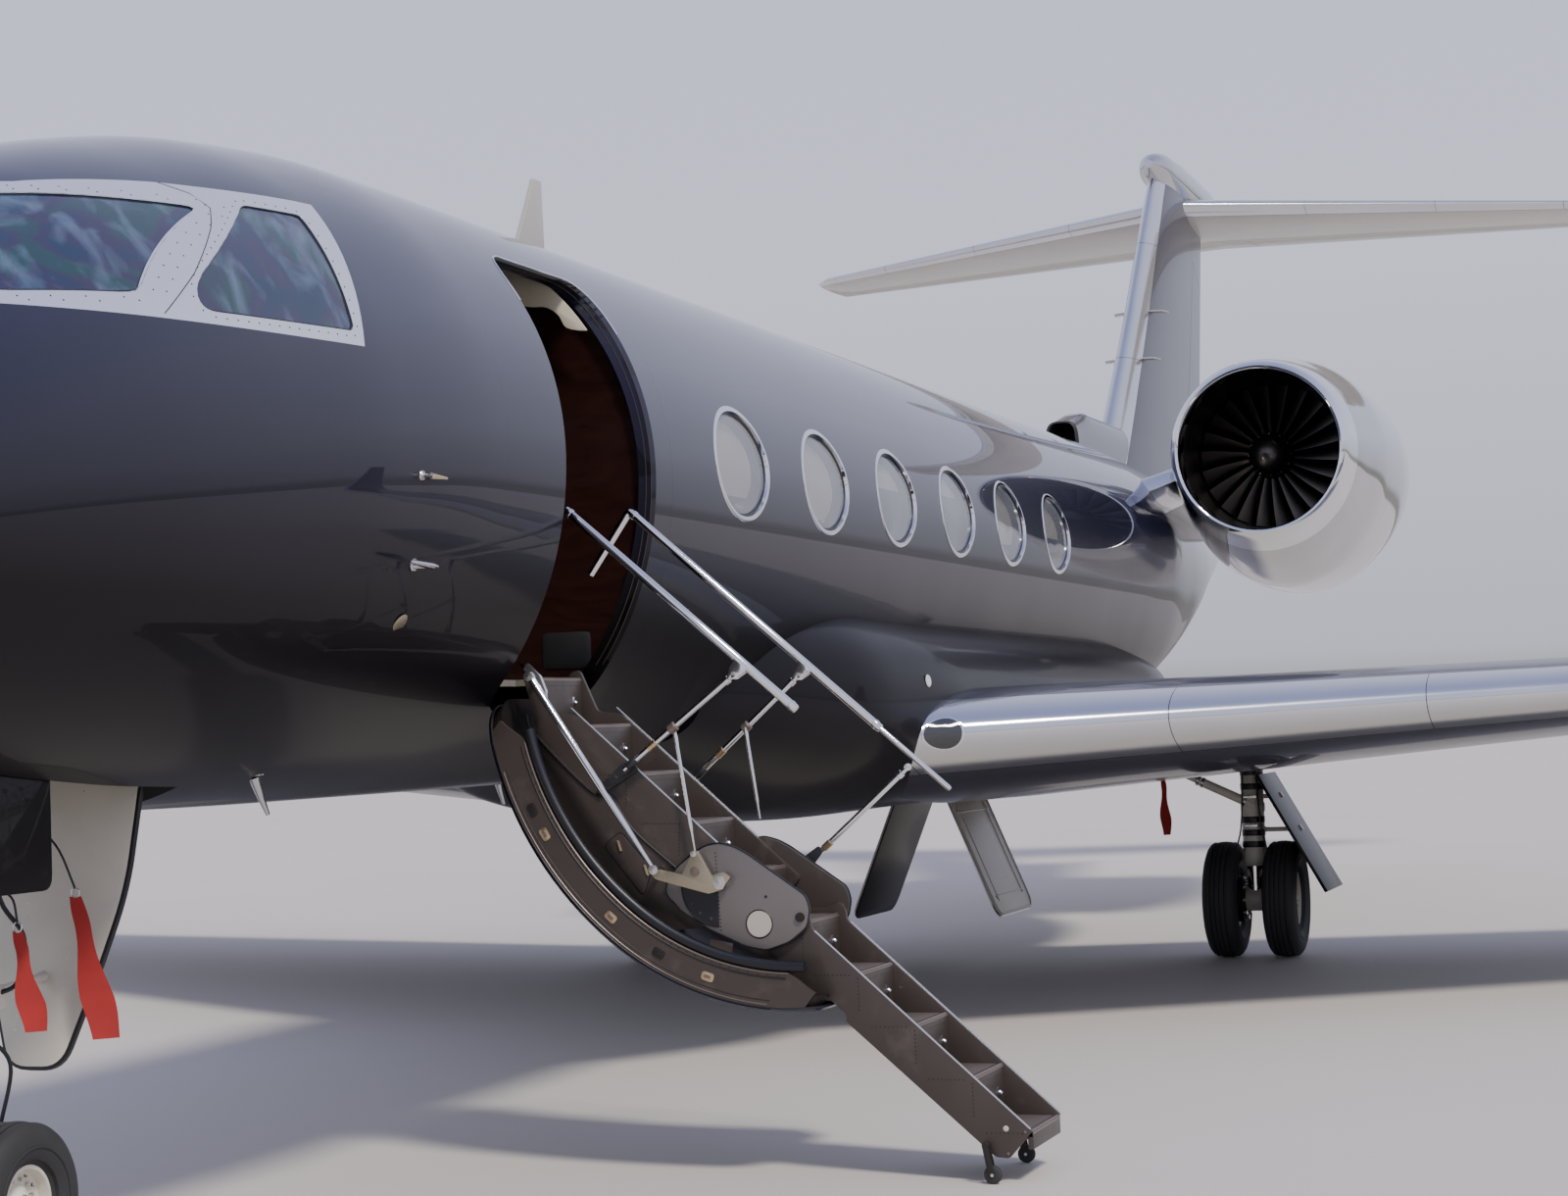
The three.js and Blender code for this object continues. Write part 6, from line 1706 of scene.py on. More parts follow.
    @staticmethod
    def belly_door(side, sign):
        """An inboard door, hanging open: outer skin, inner pan with its beads and rows of rivets."""
        door = Piece(f"{side}_belly_door_panel")
        hinge = Matrix.Translation((sign * BELLY["x"], 0, BELLY["z"]))
        hinge = hinge @ Matrix.Rotation(sign * math.radians(BELLY["open"]), 4, "Y")
        y0, y1, reach, thick = along(13.3), along(14.25), BELLY["reach"], BELLY["thick"]
        x0, x1 = sorted((0.0, sign * reach))
        corners = [0.04, 0.12, 0.12, 0.04] if sign > 0 else [0.12, 0.04, 0.04, 0.12]
        edge = rounded([(x0, y0), (x1, y0), (x1, y1), (x0, y1)], corners, 8)
        # The starboard door's outside takes the darker navy paint where the port one is polished: painted
        # shade on one twin.
        outside = "navy_paint" if sign < 0 else "polished"
        door.plate(edge, hinge @ Matrix.Translation((0, 0, -thick)), thick * 0.45, outside, 0.003)
        inner = spread(edge, -0.006)
        door.plate(inner, hinge @ Matrix.Translation((0, 0, -thick * 0.52)), thick * 0.5, "door_greige",
                   0.005)
        for margin, radius in ((-0.02, 0.008), (-0.15, 0.006)):
            bead = resampled(spread(edge, margin), 0.05)
            door.loop([hinge @ Vector((a, b, -0.001)) for a, b in bead], radius, "door_greige")
        up = hinge.to_3x3() @ Vector((0, 0, 1))
        for u in (0.28, 0.72):
            for v in np.linspace(y0 + 0.05, y1 - 0.05, 18):
                door.dome(hinge @ Vector((sign * reach * u, v, -0.0006)), up, 0.004, "bright_edge", 0.3, 6)
        door.make(f"{side}_belly_door", [f"{side}_belly_door"])


def smoothed(path, count):
    """Points of a smooth curve through a few points."""
    points = np.array([tuple(p) for p in path], float)
    ends = np.concatenate([[2 * points[0] - points[1]], points, [2 * points[-1] - points[-2]]])
    result = []
    for mark in np.linspace(0, len(points) - 1, count):
        i = min(int(mark), len(points) - 2)
        t = mark - i
        p0, p1, p2, p3 = ends[i:i + 4]
        result.append(tuple(0.5 * (2 * p1 + (p2 - p0) * t + (2 * p0 - 5 * p1 + 4 * p2 - p3) * t * t
                                   + (3 * p1 - p0 - 3 * p2 + p3) * t**3)))
    return result


class BuildNoseGear(bpy.types.Operator):
    """Builds the nose leg, steering fork, wheels, doors, brace and hoses"""

    bl_idname = "jet.nose_gear"
    bl_label = "Nose gear"

    def execute(self, context):
        y, z = NOSE["y"], NOSE["radius"]
        self.leg(y)
        self.fork(y, z)
        wheels = Piece("nose_wheel_halves")
        for out in (1, -1):
            rim(wheels, out * NOSE["offset"], y, NOSE, out)
        wheels.lathe([(0.028, -0.12), (0.028, 0.12)], (0, y, z), (1, 0, 0), "bright_edge", 20)
        wheels.make("nose_wheels", ["nose_wheels"])
        for side, out in (("port", 1), ("starboard", -1)):
            tread = Piece(f"nose_{side}_tyre_tread")
            tyre(tread, out * NOSE["offset"], y, NOSE, (0.3, 0.0, -0.3))
            tread.make("nose_wheels", [f"nose_tyre_{side}"])
            self.side_door(side, out)
        self.aft_door()
        return {"FINISHED"}

    @staticmethod
    def leg(y):
        """The leg's tube with its bands, drag brace, trunnion, lamps and hoses."""
        leg = Piece("nose_leg_parts")
        leg.lathe([(0.05, 0.83), (0.07, 0.832), (0.076, 0.84), (0.076, 0.875), (0.07, 0.885), (0.07, 1.18),
                   (0.078, 1.19), (0.078, 1.25), (0.07, 1.26), (0.07, 2.03), (0.0, 2.03)], (0, y, 0),
                  (0, 0, 1), "cream_paint", 40)
        leg.lathe([(0.05, 0.83), (0.05, 1.1)], (0, y, 0), (0, 0, 1), "dark_plastic", 24)
        for low in (0.93, 1.08, 1.42):
            band = [(0.071, low), (0.073, low + 0.002), (0.073, low + 0.03), (0.071, low + 0.032)]
            leg.lathe(band, (0, y, 0), (0, 0, 1), "seal", 40)
        foot, top = Vector((0, y + 0.062, 1.22)), Vector((0, along(3.22), 1.85))
        leg.tube(between(foot, top, 0, 0.06, 0.12, 0.86, 1), [0.026, 0.028, 0.034, 0.034, 0.024],
                 "cream_paint", 24)
        collar = [(0.033, -0.012), (0.039, -0.01), (0.039, 0.01), (0.033, 0.012)]
        for spot in between(foot, top, 0.1, 0.5, 0.54):
            leg.lathe(collar, spot, top - foot, "bright_edge", 24)
        leg.lathe([(0.0, -0.4), (0.03, -0.4), (0.03, -0.3), (0.04, -0.28), (0.04, 0.28), (0.03, 0.3),
                   (0.03, 0.4), (0.0, 0.4)], (0, y, 1.86), (1, 0, 0), "cream_paint", 28)
        for sign in (1, -1):
            leg.tube([(sign * 0.05, y - 0.02, 1.2), (sign * 0.3, y - 0.01, 1.8)], 0.016, "cream_paint", 12)
            x = sign * 0.075
            leg.box((x - 0.03, y - 0.05, 0.89), (x + 0.03, y + 0.05, 0.97), "cream_paint", 0.01)
            lamp = (sign * 0.13, y - 0.075, 1.33)
            leg.lathe([(0.0, 0.0), (0.042, 0.0), (0.048, 0.01), (0.05, 0.075), (0.03, 0.1), (0.0, 0.1)],
                      lamp, (0, 1, 0.05), "cream_paint", 28)
            leg.lathe([(0.0, 0.006), (0.03, 0.002), (0.046, -0.004)], lamp, (0, -1, -0.05), "lamp", 28)
            leg.tube([(sign * 0.07, y, 1.33), (sign * 0.13, y + 0.01, 1.33)], 0.012, "cream_paint", 10)
            hose = [(sign * 0.05, y - 0.075, 1.7), (sign * 0.055, y - 0.085, 1.45),
                    (sign * 0.06, y - 0.09, 1.2), (sign * 0.085, y - 0.1, 1.05),
                    (sign * 0.09, y - 0.095, 0.97)]
            leg.tube(smoothed(hose, 24), 0.009, "seal", 8)
            loop = [(sign * 0.09, y + 0.02, 0.94), (sign * 0.15, y + 0.05, 0.98),
                    (sign * 0.14, y + 0.1, 1.12), (sign * 0.06, y + 0.085, 1.25),
                    (sign * 0.04, y + 0.075, 1.5)]
            leg.tube(smoothed(loop, 28), 0.008, "seal", 8)
        leg.make("airframe", ["nose_leg"])

    @staticmethod
    def fork(y, z):
        """The part that steers: chrome tube, steering collar, axle sleeve, torque links and hoses."""
        fork = Piece("nose_fork_parts")
        fork.lathe([(0.0435, 0.3), (0.0435, 1.08), (0.0, 1.08)], (0, y, 0), (0, 0, 1), "chrome", 32)
        fork.lathe([(0.045, 0.69), (0.07, 0.694), (0.077, 0.705), (0.077, 0.815), (0.07, 0.822),
                    (0.045, 0.824)], (0, y, 0), (0, 0, 1), "cream_paint", 40)
        fork.lathe([(0.046, 0.31), (0.052, 0.33), (0.052, 0.42), (0.045, 0.44)], (0, y, 0), (0, 0, 1),
                   "cream_paint", 32)
        fork.lathe([(0.0, -0.052), (0.052, -0.052), (0.058, -0.046), (0.058, 0.046), (0.052, 0.052),
                    (0.0, 0.052)], (0, y, z), (1, 0, 0), "cream_paint", 32)
        knee = Vector((0, y - 0.17, 0.56))
        for end in (Vector((0, y - 0.078, 0.76)), Vector((0, y - 0.045, 0.335))):
            for out in (-1, 1):
                a, b = end + Vector((out * 0.036, 0, 0)), knee + Vector((out * 0.014, 0, 0))
                fork.tube([a, a.lerp(b, 0.5), b], [0.017, 0.012, 0.014], "cream_paint", 10)
            fork.tube([end + Vector((-0.056, 0, 0)), end + Vector((0.056, 0, 0))], 0.019, "cream_paint", 14)
        fork.tube([knee + Vector((-0.04, 0, 0)), knee + Vector((0.04, 0, 0))], 0.016, "bright_edge", 14)
        for sign in (1, -1):
            hose = [(sign * 0.05, y + 0.03, 0.8), (sign * 0.1, y + 0.07, 0.7), (sign * 0.06, y + 0.06, 0.5),
                    (sign * 0.05, y + 0.03, 0.36)]
            fork.tube(smoothed(hose, 20), 0.007, "seal", 8)
        fork.make("nose_fork", ["nose_fork"])

    @staticmethod
    def side_door(side, sign):
        """An open side door: outer skin with a frame of ribs inside it."""
        door = Piece(f"{side}_nose_door_panel")
        x, z, thick = NOSE_DOOR["x"], NOSE_DOOR["z"], NOSE_DOOR["thick"]
        y0, y1 = along(NOSE_DOOR["from"]), along(NOSE_DOOR["to"])
        foot = z - NOSE_DOOR["drop"]
        outline = rounded([(y0, foot), (y1, foot), (y1, z), (y0, z)], (0.05, 0.05, 0.01, 0.01), 4)
        low = x - thick if sign > 0 else -x
        skin = low + (thick * 0.6 if sign > 0 else 0)
        door.plate(outline, Matrix.Translation((skin, 0, 0)) @ FACING_X, thick * 0.4, "navy_paint", 0.002)
        pan = low + (0 if sign > 0 else thick * 0.4)
        for t in (0.12, 0.5, 0.88):
            y = y0 + (y1 - y0) * t
            door.box((pan, y - 0.018, z - 0.35), (pan + thick * 0.6, y + 0.018, z - 0.02), "bay_paint",
                     0.002)
        for height in (0.34, 0.18, 0.03):
            mid = z - height
            door.box((pan, y0 + 0.02, mid - 0.014), (pan + thick * 0.6, y1 - 0.02, mid + 0.014),
                     "bay_paint", 0.002)
        door.make(f"{side}_nose_door", [f"{side}_nose_door"])

    @staticmethod
    def aft_door():
        """The pale tongue behind the leg, edged in rubber, with its rivets and link."""
        door = Piece("nose_aft_door_panel")
        lean = Matrix.Translation((0, along(3.2), 1.66)) @ Matrix.Rotation(math.radians(-12), 4, "X")
        tongue = [(-0.32, 0), (0.32, 0), (0.3, -0.42), (0.215, -0.72), (0.11, -1.03), (-0.11, -1.03),
                  (-0.215, -0.72), (-0.3, -0.42)]
        smooth = rounded(tongue, (0.02, 0.02, 0.12, 0.14, 0.08, 0.08, 0.14, 0.12), 6)
        door.plate(smooth, lean @ FACING_Y, 0.022, "seal", 0.004)
        front = lean @ Matrix.Translation((0, -0.0015, 0)) @ FACING_Y
        door.plate(spread(smooth, -0.012), front, 0.004, "cream_paint", 0.0012)
        for k in range(18):
            for u in (-0.09, 0.09):
                spot = lean @ Vector((u, -0.0015, -0.08 - 0.048 * k))
                door.dome(spot, lean.to_3x3() @ Vector((0, -1, 0)), 0.0035, "bright_edge", 0.4, 6)
        a, b = Vector((0, NOSE["y"] + 0.065, 0.93)), Vector((0, along(3.06), 0.96))
        door.tube(between(a, b, 0, 0.1, 0.9, 1), [0.022, 0.016, 0.016, 0.022], "cream_paint", 14)
        door.make("airframe", ["nose_aft_door"])


# Airstair. Along the flight u runs down and out, v stands square to it, both in metres.

SLOPE = math.radians(42)
FLIGHT = {"start": (1.159, 1.785), "nosing": 0.047, "pitch": 0.2915, "upper": 4, "treads": 9, "front": 4.975,
          "rear": 5.435, "depth": 0.222, "first": 0.215, "riser": 0.198, "lip": 0.07, "threshold": 0.05,
          "pivot": (1.2, 0.012)}
CASTOR = {"pivot": (2.752, 0.142), "wheel": (2.778, 0.034), "radius": 0.034, "stations": (4.962, 5.448)}
DOOR_HINGE = {"x": 0.8, "z": 1.83, "open": 129.0}
# Columns: piece, insets of its inner and outer face, margin in the doorway, finishes, replaced nodes.
DOOR_SHELLS = (
    ("airstair_door_skin", 0.009, 0.0, 0.010, ("door_paint", "stair_dark", "seal", "seal"),
     ["airstair_door"]),
    ("airstair_door_pan", 0.0552, 0.0092, 0.03, ("stair_dark", "stair_paint", "seal", "stair_dark"), []),
)
DOOR_RIM = {"depth": 0.15, "width": 0.025, "margin": 0.01, "low": 2.05, "high": 3.45}
STRINGER_SEAT = ((1.4, -0.2), (1.7, -0.2), (1.7, 0.2), (1.4, 0.2))
FRONT_RAIL = {"station": 4.925, "web": 4.975, "start": (-0.551, 0.6), "end": (0.69, 0.615),
              "head": (0.41, 0.56), "foot": (0.296, -0.02), "clamp": (0.347, 0.235)}
REAR_RAIL = {"station": 5.495, "web": 5.435, "start": (-0.547, 0.64), "end": (0.86, 0.652),
             "head": (0.457, 0.598), "foot": (0.38, -0.02), "clamp": (0.418, 0.29)}
REAR_BEND = (-0.515, 0.33)
SLIDER = {"start": (0.61, 0.65), "end": (1.232, 0.655)}
REAR_STRUT = {"station": 5.535, "web": 5.455, "head": (1.035, 0.6), "foot": (0.958, -0.018)}
ENTRY_LINING = ((0.505, 3.72), (0.66, 3.7), (0.8, 3.646), (0.89, 3.55), (0.955, 3.432), (0.841, 3.441),
                (0.8, 3.5), (0.74, 3.54), (0.638, 3.555), (0.53, 3.63))
COVER_BOX = ((0.62, 5.79, 1.99), (0.86, 6.12, 2.16))
DRIVE_ROD = {"station": 4.895, "top": (-0.24, 0.006), "bottom": (0.647, -0.226)}
WEB = ((-0.3, -0.03), (-0.275, 0.018), (-0.1, -0.062), (-0.03, -0.014), (0.0, 0.0), (1.0, 0.0), (1.0, -0.06),
       (0.96, -0.24), (0.7, -0.56), (0.3, -0.56), (0.0, -0.42), (-0.1, -0.16))
PEAR = ((0.697, -0.18), (0.712, -0.095), (0.733, -0.033), (0.77, 0.012), (0.825, 0.04), (0.881, 0.054),
        (1.163, 0.089), (1.209, 0.06), (1.243, 0.0), (1.226, -0.089), (1.178, -0.173), (1.109, -0.215),
        (0.954, -0.265), (0.814, -0.288), (0.731, -0.285), (0.705, -0.25))
STRINGER = ((1.16, -0.02), (1.185, 0.034), (1.225, 0.03), (1.25, 0.0), (2.38, 0.0), (2.38, -0.136),
            (2.338, -0.168), (1.585, -0.177), (1.57, -0.156), (1.49, -0.156), (1.466, -0.18), (1.29, -0.182),
            (1.09, -0.172), (1.04, -0.165), (1.04, -0.13))
ACCESS_PANEL = ((0.424, -0.231), (0.617, -0.257), (0.656, -0.357), (0.408, -0.32))
PANEL_LATCHES = ((0.456, -0.274), (0.603, -0.272))
WEB_LIP = ((-0.18, -0.14), (-0.097, -0.178), (0.226, -0.191), (0.302, -0.151), (0.462, -0.19),
           (0.69, -0.185))
CRANK = ((0.645, -0.223), (0.743, -0.168), (0.718, -0.069), (0.734, -0.056), (0.836, -0.092), (0.862, -0.05),
         (0.9, -0.045), (0.903, -0.107), (0.873, -0.153), (0.791, -0.195), (0.67, -0.256), (0.645, -0.25))
CRANK_BOLTS = ((0.728, -0.076, 0.012, "bright_edge"), (0.775, -0.125, 0.019, "worn_edge"),
               (0.88, -0.09, 0.028, "bright_edge"), (0.88, -0.09, 0.015, "chrome"))
LINKS = {"front": ((0.722, -0.075), 4.937), "rear": ((0.704, 0.048), 5.48)}
REAR_FOOT = ((0.945, -0.02), (0.93, 0.02), (0.955, 0.12), (0.985, 0.11), (0.99, 0.0))
DOWN = Vector((math.cos(SLOPE), 0, -math.sin(SLOPE)))
SQUARE = Vector((math.sin(SLOPE), 0, math.cos(SLOPE)))


def flight_point(point, station):
    u, v = point
    start = Vector((FLIGHT["start"][0], along(station), FLIGHT["start"][1]))
    return start + DOWN * u + SQUARE * v


def flight_frame(station):
    """Plates drawn in u and v take their thickness along Y."""
    origin = flight_point((0, 0), station)
    return Matrix(((DOWN.x, SQUARE.x, 0, origin.x), (0, 0, 1, origin.y), (DOWN.z, SQUARE.z, 0, origin.z),
                   (0, 0, 0, 1)))


def opened():
    """Turns a shut door's shape to the open place."""
    pivot = Vector((DOOR_HINGE["x"], 0, DOOR_HINGE["z"]))
    return (Matrix.Translation(pivot) @ Matrix.Rotation(math.radians(DOOR_HINGE["open"]), 4, "Y")
            @ Matrix.Translation(-pivot))


def tread(piece, index, from_station, to_station, deep, riser):
    """One step: grip surface, nosing, closed riser with its rivets and a lamp."""
    nose = flight_point((FLIGHT["nosing"] + index * FLIGHT["pitch"], 0), 0)
    x, z = nose.x, nose.z
    y0, y1 = along(from_station), along(to_station)
    piece.box((x - deep, y0, z - 0.026), (x - 0.001, y1, z - 0.004), "stair_paint", 0.002)
    piece.box((x - deep + 0.014, y0 + 0.016, z - 0.0045), (x - 0.026, y1 - 0.016, z - 0.0005),
              "tread_grip", 0.001)
    piece.box((x - 0.022, y0, z - riser), (x, y1, z - 0.012), "stair_paint", 0.003)
    piece.tube([(x - 0.011, y0, z - 0.0115), (x - 0.011, y1, z - 0.0115)], 0.0112, "worn_edge", 16)
    if riser < 0.1:
        return
    for y in np.linspace(y0 + 0.014, y1 - 0.014, 16):
        for drop in (0.034, riser - 0.008):
            piece.dome((x + 0.0001, y, z - drop), (1, 0, 0), 0.003, "stair_dark", 0.4, 6)
    lamp_place = Vector((x, y1 - 0.085, z - 0.1))
    low, high = Vector((-0.001, -0.013, -0.013)), Vector((0.002, 0.013, 0.02))
    piece.box(lamp_place + low, lamp_place + high, "chrome", 0.001)
    lamp = [(0.0, 0.017), (0.007, 0.0155), (0.0095, 0.01), (0.01, 0.0)]
    piece.lathe(lamp, lamp_place, (1, 0, -0.5), "chrome", 16)


class BuildAirstair(bpy.types.Operator):
    """Builds the airstair door, both flights, the castors, the handrails and the doorway's fittings"""

    bl_idname = "jet.airstair"
    bl_label = "Airstair"

    def execute(self, context):
        self.door()
        self.upper_flight()
        self.lower_flight()
        self.castors()
        self.rails()
        self.doorway_trim()
        return {"FINISHED"}

    def door(self):
        """The door's skin and pan, made shut and turned open, with its seal, edge beams and rivets."""
        turn = opened()
        for name, inner, outer, margin, marks, replaced in DOOR_SHELLS:
            shell = shell_object(name, 4.6, 6.0, 0.07, outer, inner)
            carve(shell, [prism("x", doorway_outline(margin), 0.72, 1.4)], "INTERSECT")
            if outer:
                seat = turn.inverted() @ flight_frame(FLIGHT["front"] - 0.013)
                carve(shell, [cutter(STRINGER_SEAT, seat, FLIGHT["rear"] - FLIGHT["front"] + 0.026)])
            dressed_shell(shell, name, "airstair_door", marks, replaced, inner, outer, turn)
        trim = Piece("door_trim")
        path = resampled(doorway_outline(0.014, 10), 0.035)
        trim.loop([turn @ Vector((side_x(y + HALF_LENGTH, z, 0.012), y, z)) for y, z in path], 0.0055,
                  "seal", 8)
        self.edge_beam(trim, turn, DOORWAY["front"] + DOOR_RIM["margin"], -1)
        self.edge_beam(trim, turn, DOORWAY["rear"] - DOOR_RIM["margin"], 1)
        for z in (2.2, 2.5, 2.8, 3.1, 3.35):
            for k in range(10):
                y = along(5.46 + 0.026 * k)
                trim.dome(turn @ Vector((side_x(y + HALF_LENGTH, z, 0.0554), y, z)),
                          turn.to_3x3() @ Vector((-1, 0, 0.1)), 0.0034, "stair_dark", 0.5, 6)
        trim.make("airstair_door")

    @staticmethod
    def edge_beam(trim, turn, face, way):
        """The beam along the door's front or rear edge, with its seal, beads, rivets and latches."""
        rim = DOOR_RIM

        def rim_face(z):
            corner = DOORWAY["corner"]
            beyond = max(0.0, DOORWAY["sill"] + corner - z, z - DOORWAY["top"] + corner)
            return face - way * (corner - math.sqrt(max(0.0, corner**2 - min(beyond, corner)**2)))

        def edge(z, inset, out=0.0):
            return turn @ Vector((side_x(face, z, inset), along(face) + way * out, z))

        rings = []
        for z in np.linspace(rim["low"] - 0.14, rim["high"] + 0.12, 52):
            fade = 0.09 * max(0, rim["low"] - z, z - rim["high"]) / 0.13
            x0, x1 = side_x(face, z, 0.006), side_x(face, z, rim["depth"] - fade)
            outer, inside = rim_face(z), rim_face(z) - way * rim["width"]
            rings.append([tuple(turn @ Vector((x, along(s), z))) for x, s in
                          ((x0, outer), (x1, outer), (x1, inside), (x0, inside))])
        trim.skin(rings, "stair_paint")
        bulb = [edge(z, 0.17, -0.016) for z in np.linspace(rim["low"] - 0.02, rim["high"] + 0.03, 50)]
        trim.tube(bulb, 0.021, "seal", 14)
        for inset, radius, finish in ((0.024, 0.0025, "worn_edge"), (0.04, 0.002, "stair_dark"),
                                      (0.128, 0.004, "stair_dark"), (0.145, 0.0028, "worn_edge")):
            trim.tube([edge(z, inset) for z in np.linspace(rim["low"], rim["high"], 44)], radius, finish, 6)
        for z in np.linspace(rim["low"] + 0.03, rim["high"] - 0.03, 40):
            trim.dome(edge(z, 0.136), (0, way, 0), 0.003, "stair_dark", 0.5, 6)
        latch = rounded([(-0.026, -0.017), (0.026, -0.017), (0.026, 0.017), (-0.026, 0.017)], 0.012, 4)
        for z, finish, bar in ((2.336, "brass", "worn_edge"), (2.75, "brass", "worn_edge"),
                               (3.2, "brass", "worn_edge"), (2.237, "stair_dark", "seal"),
                               (2.988, "stair_dark", "seal")):
            ahead = (edge(z + 0.01, 0.078) - edge(z - 0.01, 0.078)).normalized()
            out = Vector((0, way, 0))
            place = Matrix((ahead, out.cross(ahead), out)).transposed().to_4x4()
            place.translation = edge(z, 0.078)
            trim.plate(latch, place, 0.004, finish, 0.0012)
            trim.box((-0.013, -0.006, 0.004), (0.013, 0.006, 0.007), bar, 0.002, place)

    @staticmethod
    def web_outline():
        """The deep side web, cut back where it meets the curved pan."""
        shut_turn = opened().inverted()
        outline = rounded(WEB, (0.02, 0.02, 0.02, 0.02, 0.01, 0.02, 0.02, 0.06, 0.08, 0.08, 0.06, 0.04), 4)
        kept = []
        for u, v in outline:
            while v < 0:
                shut = shut_turn @ flight_point((u, v), 5.2)
                if shut.z >= 3.85 or shut.x <= side_x(shut.y + HALF_LENGTH, shut.z, 0.06):
                    break
                v += 0.01
            kept.append((u, v))
        return kept

    def upper_flight(self):
        """The steps that stay with the door, between their deep webs and pear-shaped plates."""
        flight = Piece("upper_flight_parts")
        front, rear = FLIGHT["front"], FLIGHT["rear"]
        web, pear = self.web_outline(), rounded(PEAR, 0.02, 3)
        for station in (front, rear - 0.02):
            flight.plate(web, flight_frame(station), 0.02, "stair_paint", 0.0025)
        for station in (front - 0.02, rear):
            # The front plate takes the lighter copy, a painted highlight; the rear one keeps the plain stair
            # paint.
            finish = "pear_paint" if station < front else "stair_paint"
            flight.plate(pear, flight_frame(station), 0.02, finish, 0.003)
        tread(flight, -1, front + 0.02, rear - 0.02, FLIGHT["threshold"], FLIGHT["riser"] - 0.012)
        for index in range(FLIGHT["upper"]):
            last = index == FLIGHT["upper"] - 1
            tread(flight, index, front + 0.02, rear - 0.02, FLIGHT["depth"],
                  FLIGHT["lip" if last else "riser"])
        for station, way in ((front, -1), (rear, 1)):
            face = Vector((0, way, 0))

            def rivets(a, b, count, out=0.0, radius=0.003):
                for k in range(count):
                    t = k / (count - 1)
                    spot = (a[0] + (b[0] - a[0]) * t, a[1] + (b[1] - a[1]) * t)
                    flight.dome(flight_point(spot, station + way * out), face, radius, "stair_dark", 0.5, 6)

            flight.tube([flight_point((u, 0.001), station - way * 0.004) for u in (-0.05, 0.3, 0.76)],
                        0.0042, "bright_edge", 8)
            for shift in (0.0, -FLIGHT["pitch"]):
                rivets((0.477 + shift, -0.143), (0.591 + shift, -0.045), 11)
                rivets((0.595 + shift, -0.051), (0.668 + shift, -0.139), 9)
            rivets((0.782, -0.028), (0.99, -0.24), 22, 0.0203)
            flight.loop([flight_point(p, station + way * 0.0195) for p in spread(pear, 0.002)], 0.0032,
                        "seal", 6)
            lip = [flight_point(p, station) for p in WEB_LIP]
            flight.tube(smoothed(lip, 40), 0.008, "stair_dark", 8)
            centre = flight_point((0.875, -0.122), station + way * 0.0205)
            rim = [centre - Vector((math.cos(a), 0, math.sin(a))) * 0.15
                   for a in np.linspace(-0.1, math.pi / 2, 20)]
            flight.add([centre, *rim], [tuple(range(21))], "seal", False)
            flight.tube([p + face * 0.001 for p in rim], 0.003, "stair_dark", 8)
            for a in (0.5, 0.9, 1.3):
                spot = centre - Vector((math.cos(a), 0, math.sin(a))) * 0.125
                flight.dome(spot, face, 0.007, "stair_paint", 0.6, 8)
            centre = flight_point((1.092, -0.118), station + way * 0.0202)
            flight.lathe([(0.0, 0.002), (0.049, 0.002), (0.051, 0.0)], centre, face, "door_greige", 40)
            flight.lathe([(0.051, 0.0), (0.053, 0.0025), (0.056, 0.0)], centre, face, "stair_dark", 40)
            flight.dome(flight_point((1.045, -0.02), station + way * 0.02), face, 0.006, "stair_dark", 0.5,
                        8)
        pin = [flight_point(FLIGHT["pivot"], front - out) for out in (0.03, 0.001)]
        flight.tube(pin, 0.018, "stair_dark", 16)
        self.front_face(flight)
        flight.make("airstair_door", ["airstair_upper"])

    @staticmethod
    def front_face(flight):
        """Access panel, drive rod, cast crank, hinge crescent and post bracket on the front web."""
        front = FLIGHT["front"]
        panel = rounded(ACCESS_PANEL, 0.02, 4)
        flight.plate(spread(panel, 0.005), flight_frame(front - 0.0012), 0.001, "seal")
        flight.plate(panel, flight_frame(front - 0.004), 0.0035, "stair_paint", 0.001)
        for u, v in PANEL_LATCHES:
            for reach, high, finish in ((0.024, 0.006, "brass"), (0.01, 0.0035, "worn_edge")):
                a, b = reach * 0.8, reach * 0.6
                bar = [(u - a - 0.005, v + b - 0.005), (u + a - 0.005, v - b),
                       (u + a + 0.005, v - b + 0.006), (u - a + 0.005, v + b)]
                flight.plate(rounded(bar, 0.004, 3), flight_frame(front - 0.004 - high), high, finish, 0.001)
        plate = rounded([(0.975, -0.3), (1.055, -0.25), (1.08, -0.29), (1.0, -0.338)], 0.006, 3)
        flight.plate(plate, flight_frame(front - 0.004), 0.004, "worn_edge", 0.001)
        top, bottom, rod = DRIVE_ROD["top"], DRIVE_ROD["bottom"], DRIVE_ROD["station"]
        a, b = flight_point(top, rod), flight_point(bottom, rod)
        flight.tube(between(a, b, 0, 0.03, 0.72, 0.94, 1), [0.009, 0.0145, 0.014, 0.009, 0.008], "chrome",
                    20)
        for point in (top, bottom):
            flight.tube([flight_point(point, rod - 0.012), flight_point(point, front + 0.005)], 0.0115,
                        "bright_edge", 14)
            flight.lathe([(0.0, -0.014), (0.019, -0.012), (0.021, 0.0), (0.019, 0.012), (0.0, 0.014)],
                         flight_point(point, rod), (0, 1, 0), "bright_edge", 24)
        flight.plate(rounded(CRANK, 0.008, 3), flight_frame(rod + 0.014), 0.018, "cast_lever", 0.004)
        for u, v, radius, finish in CRANK_BOLTS:
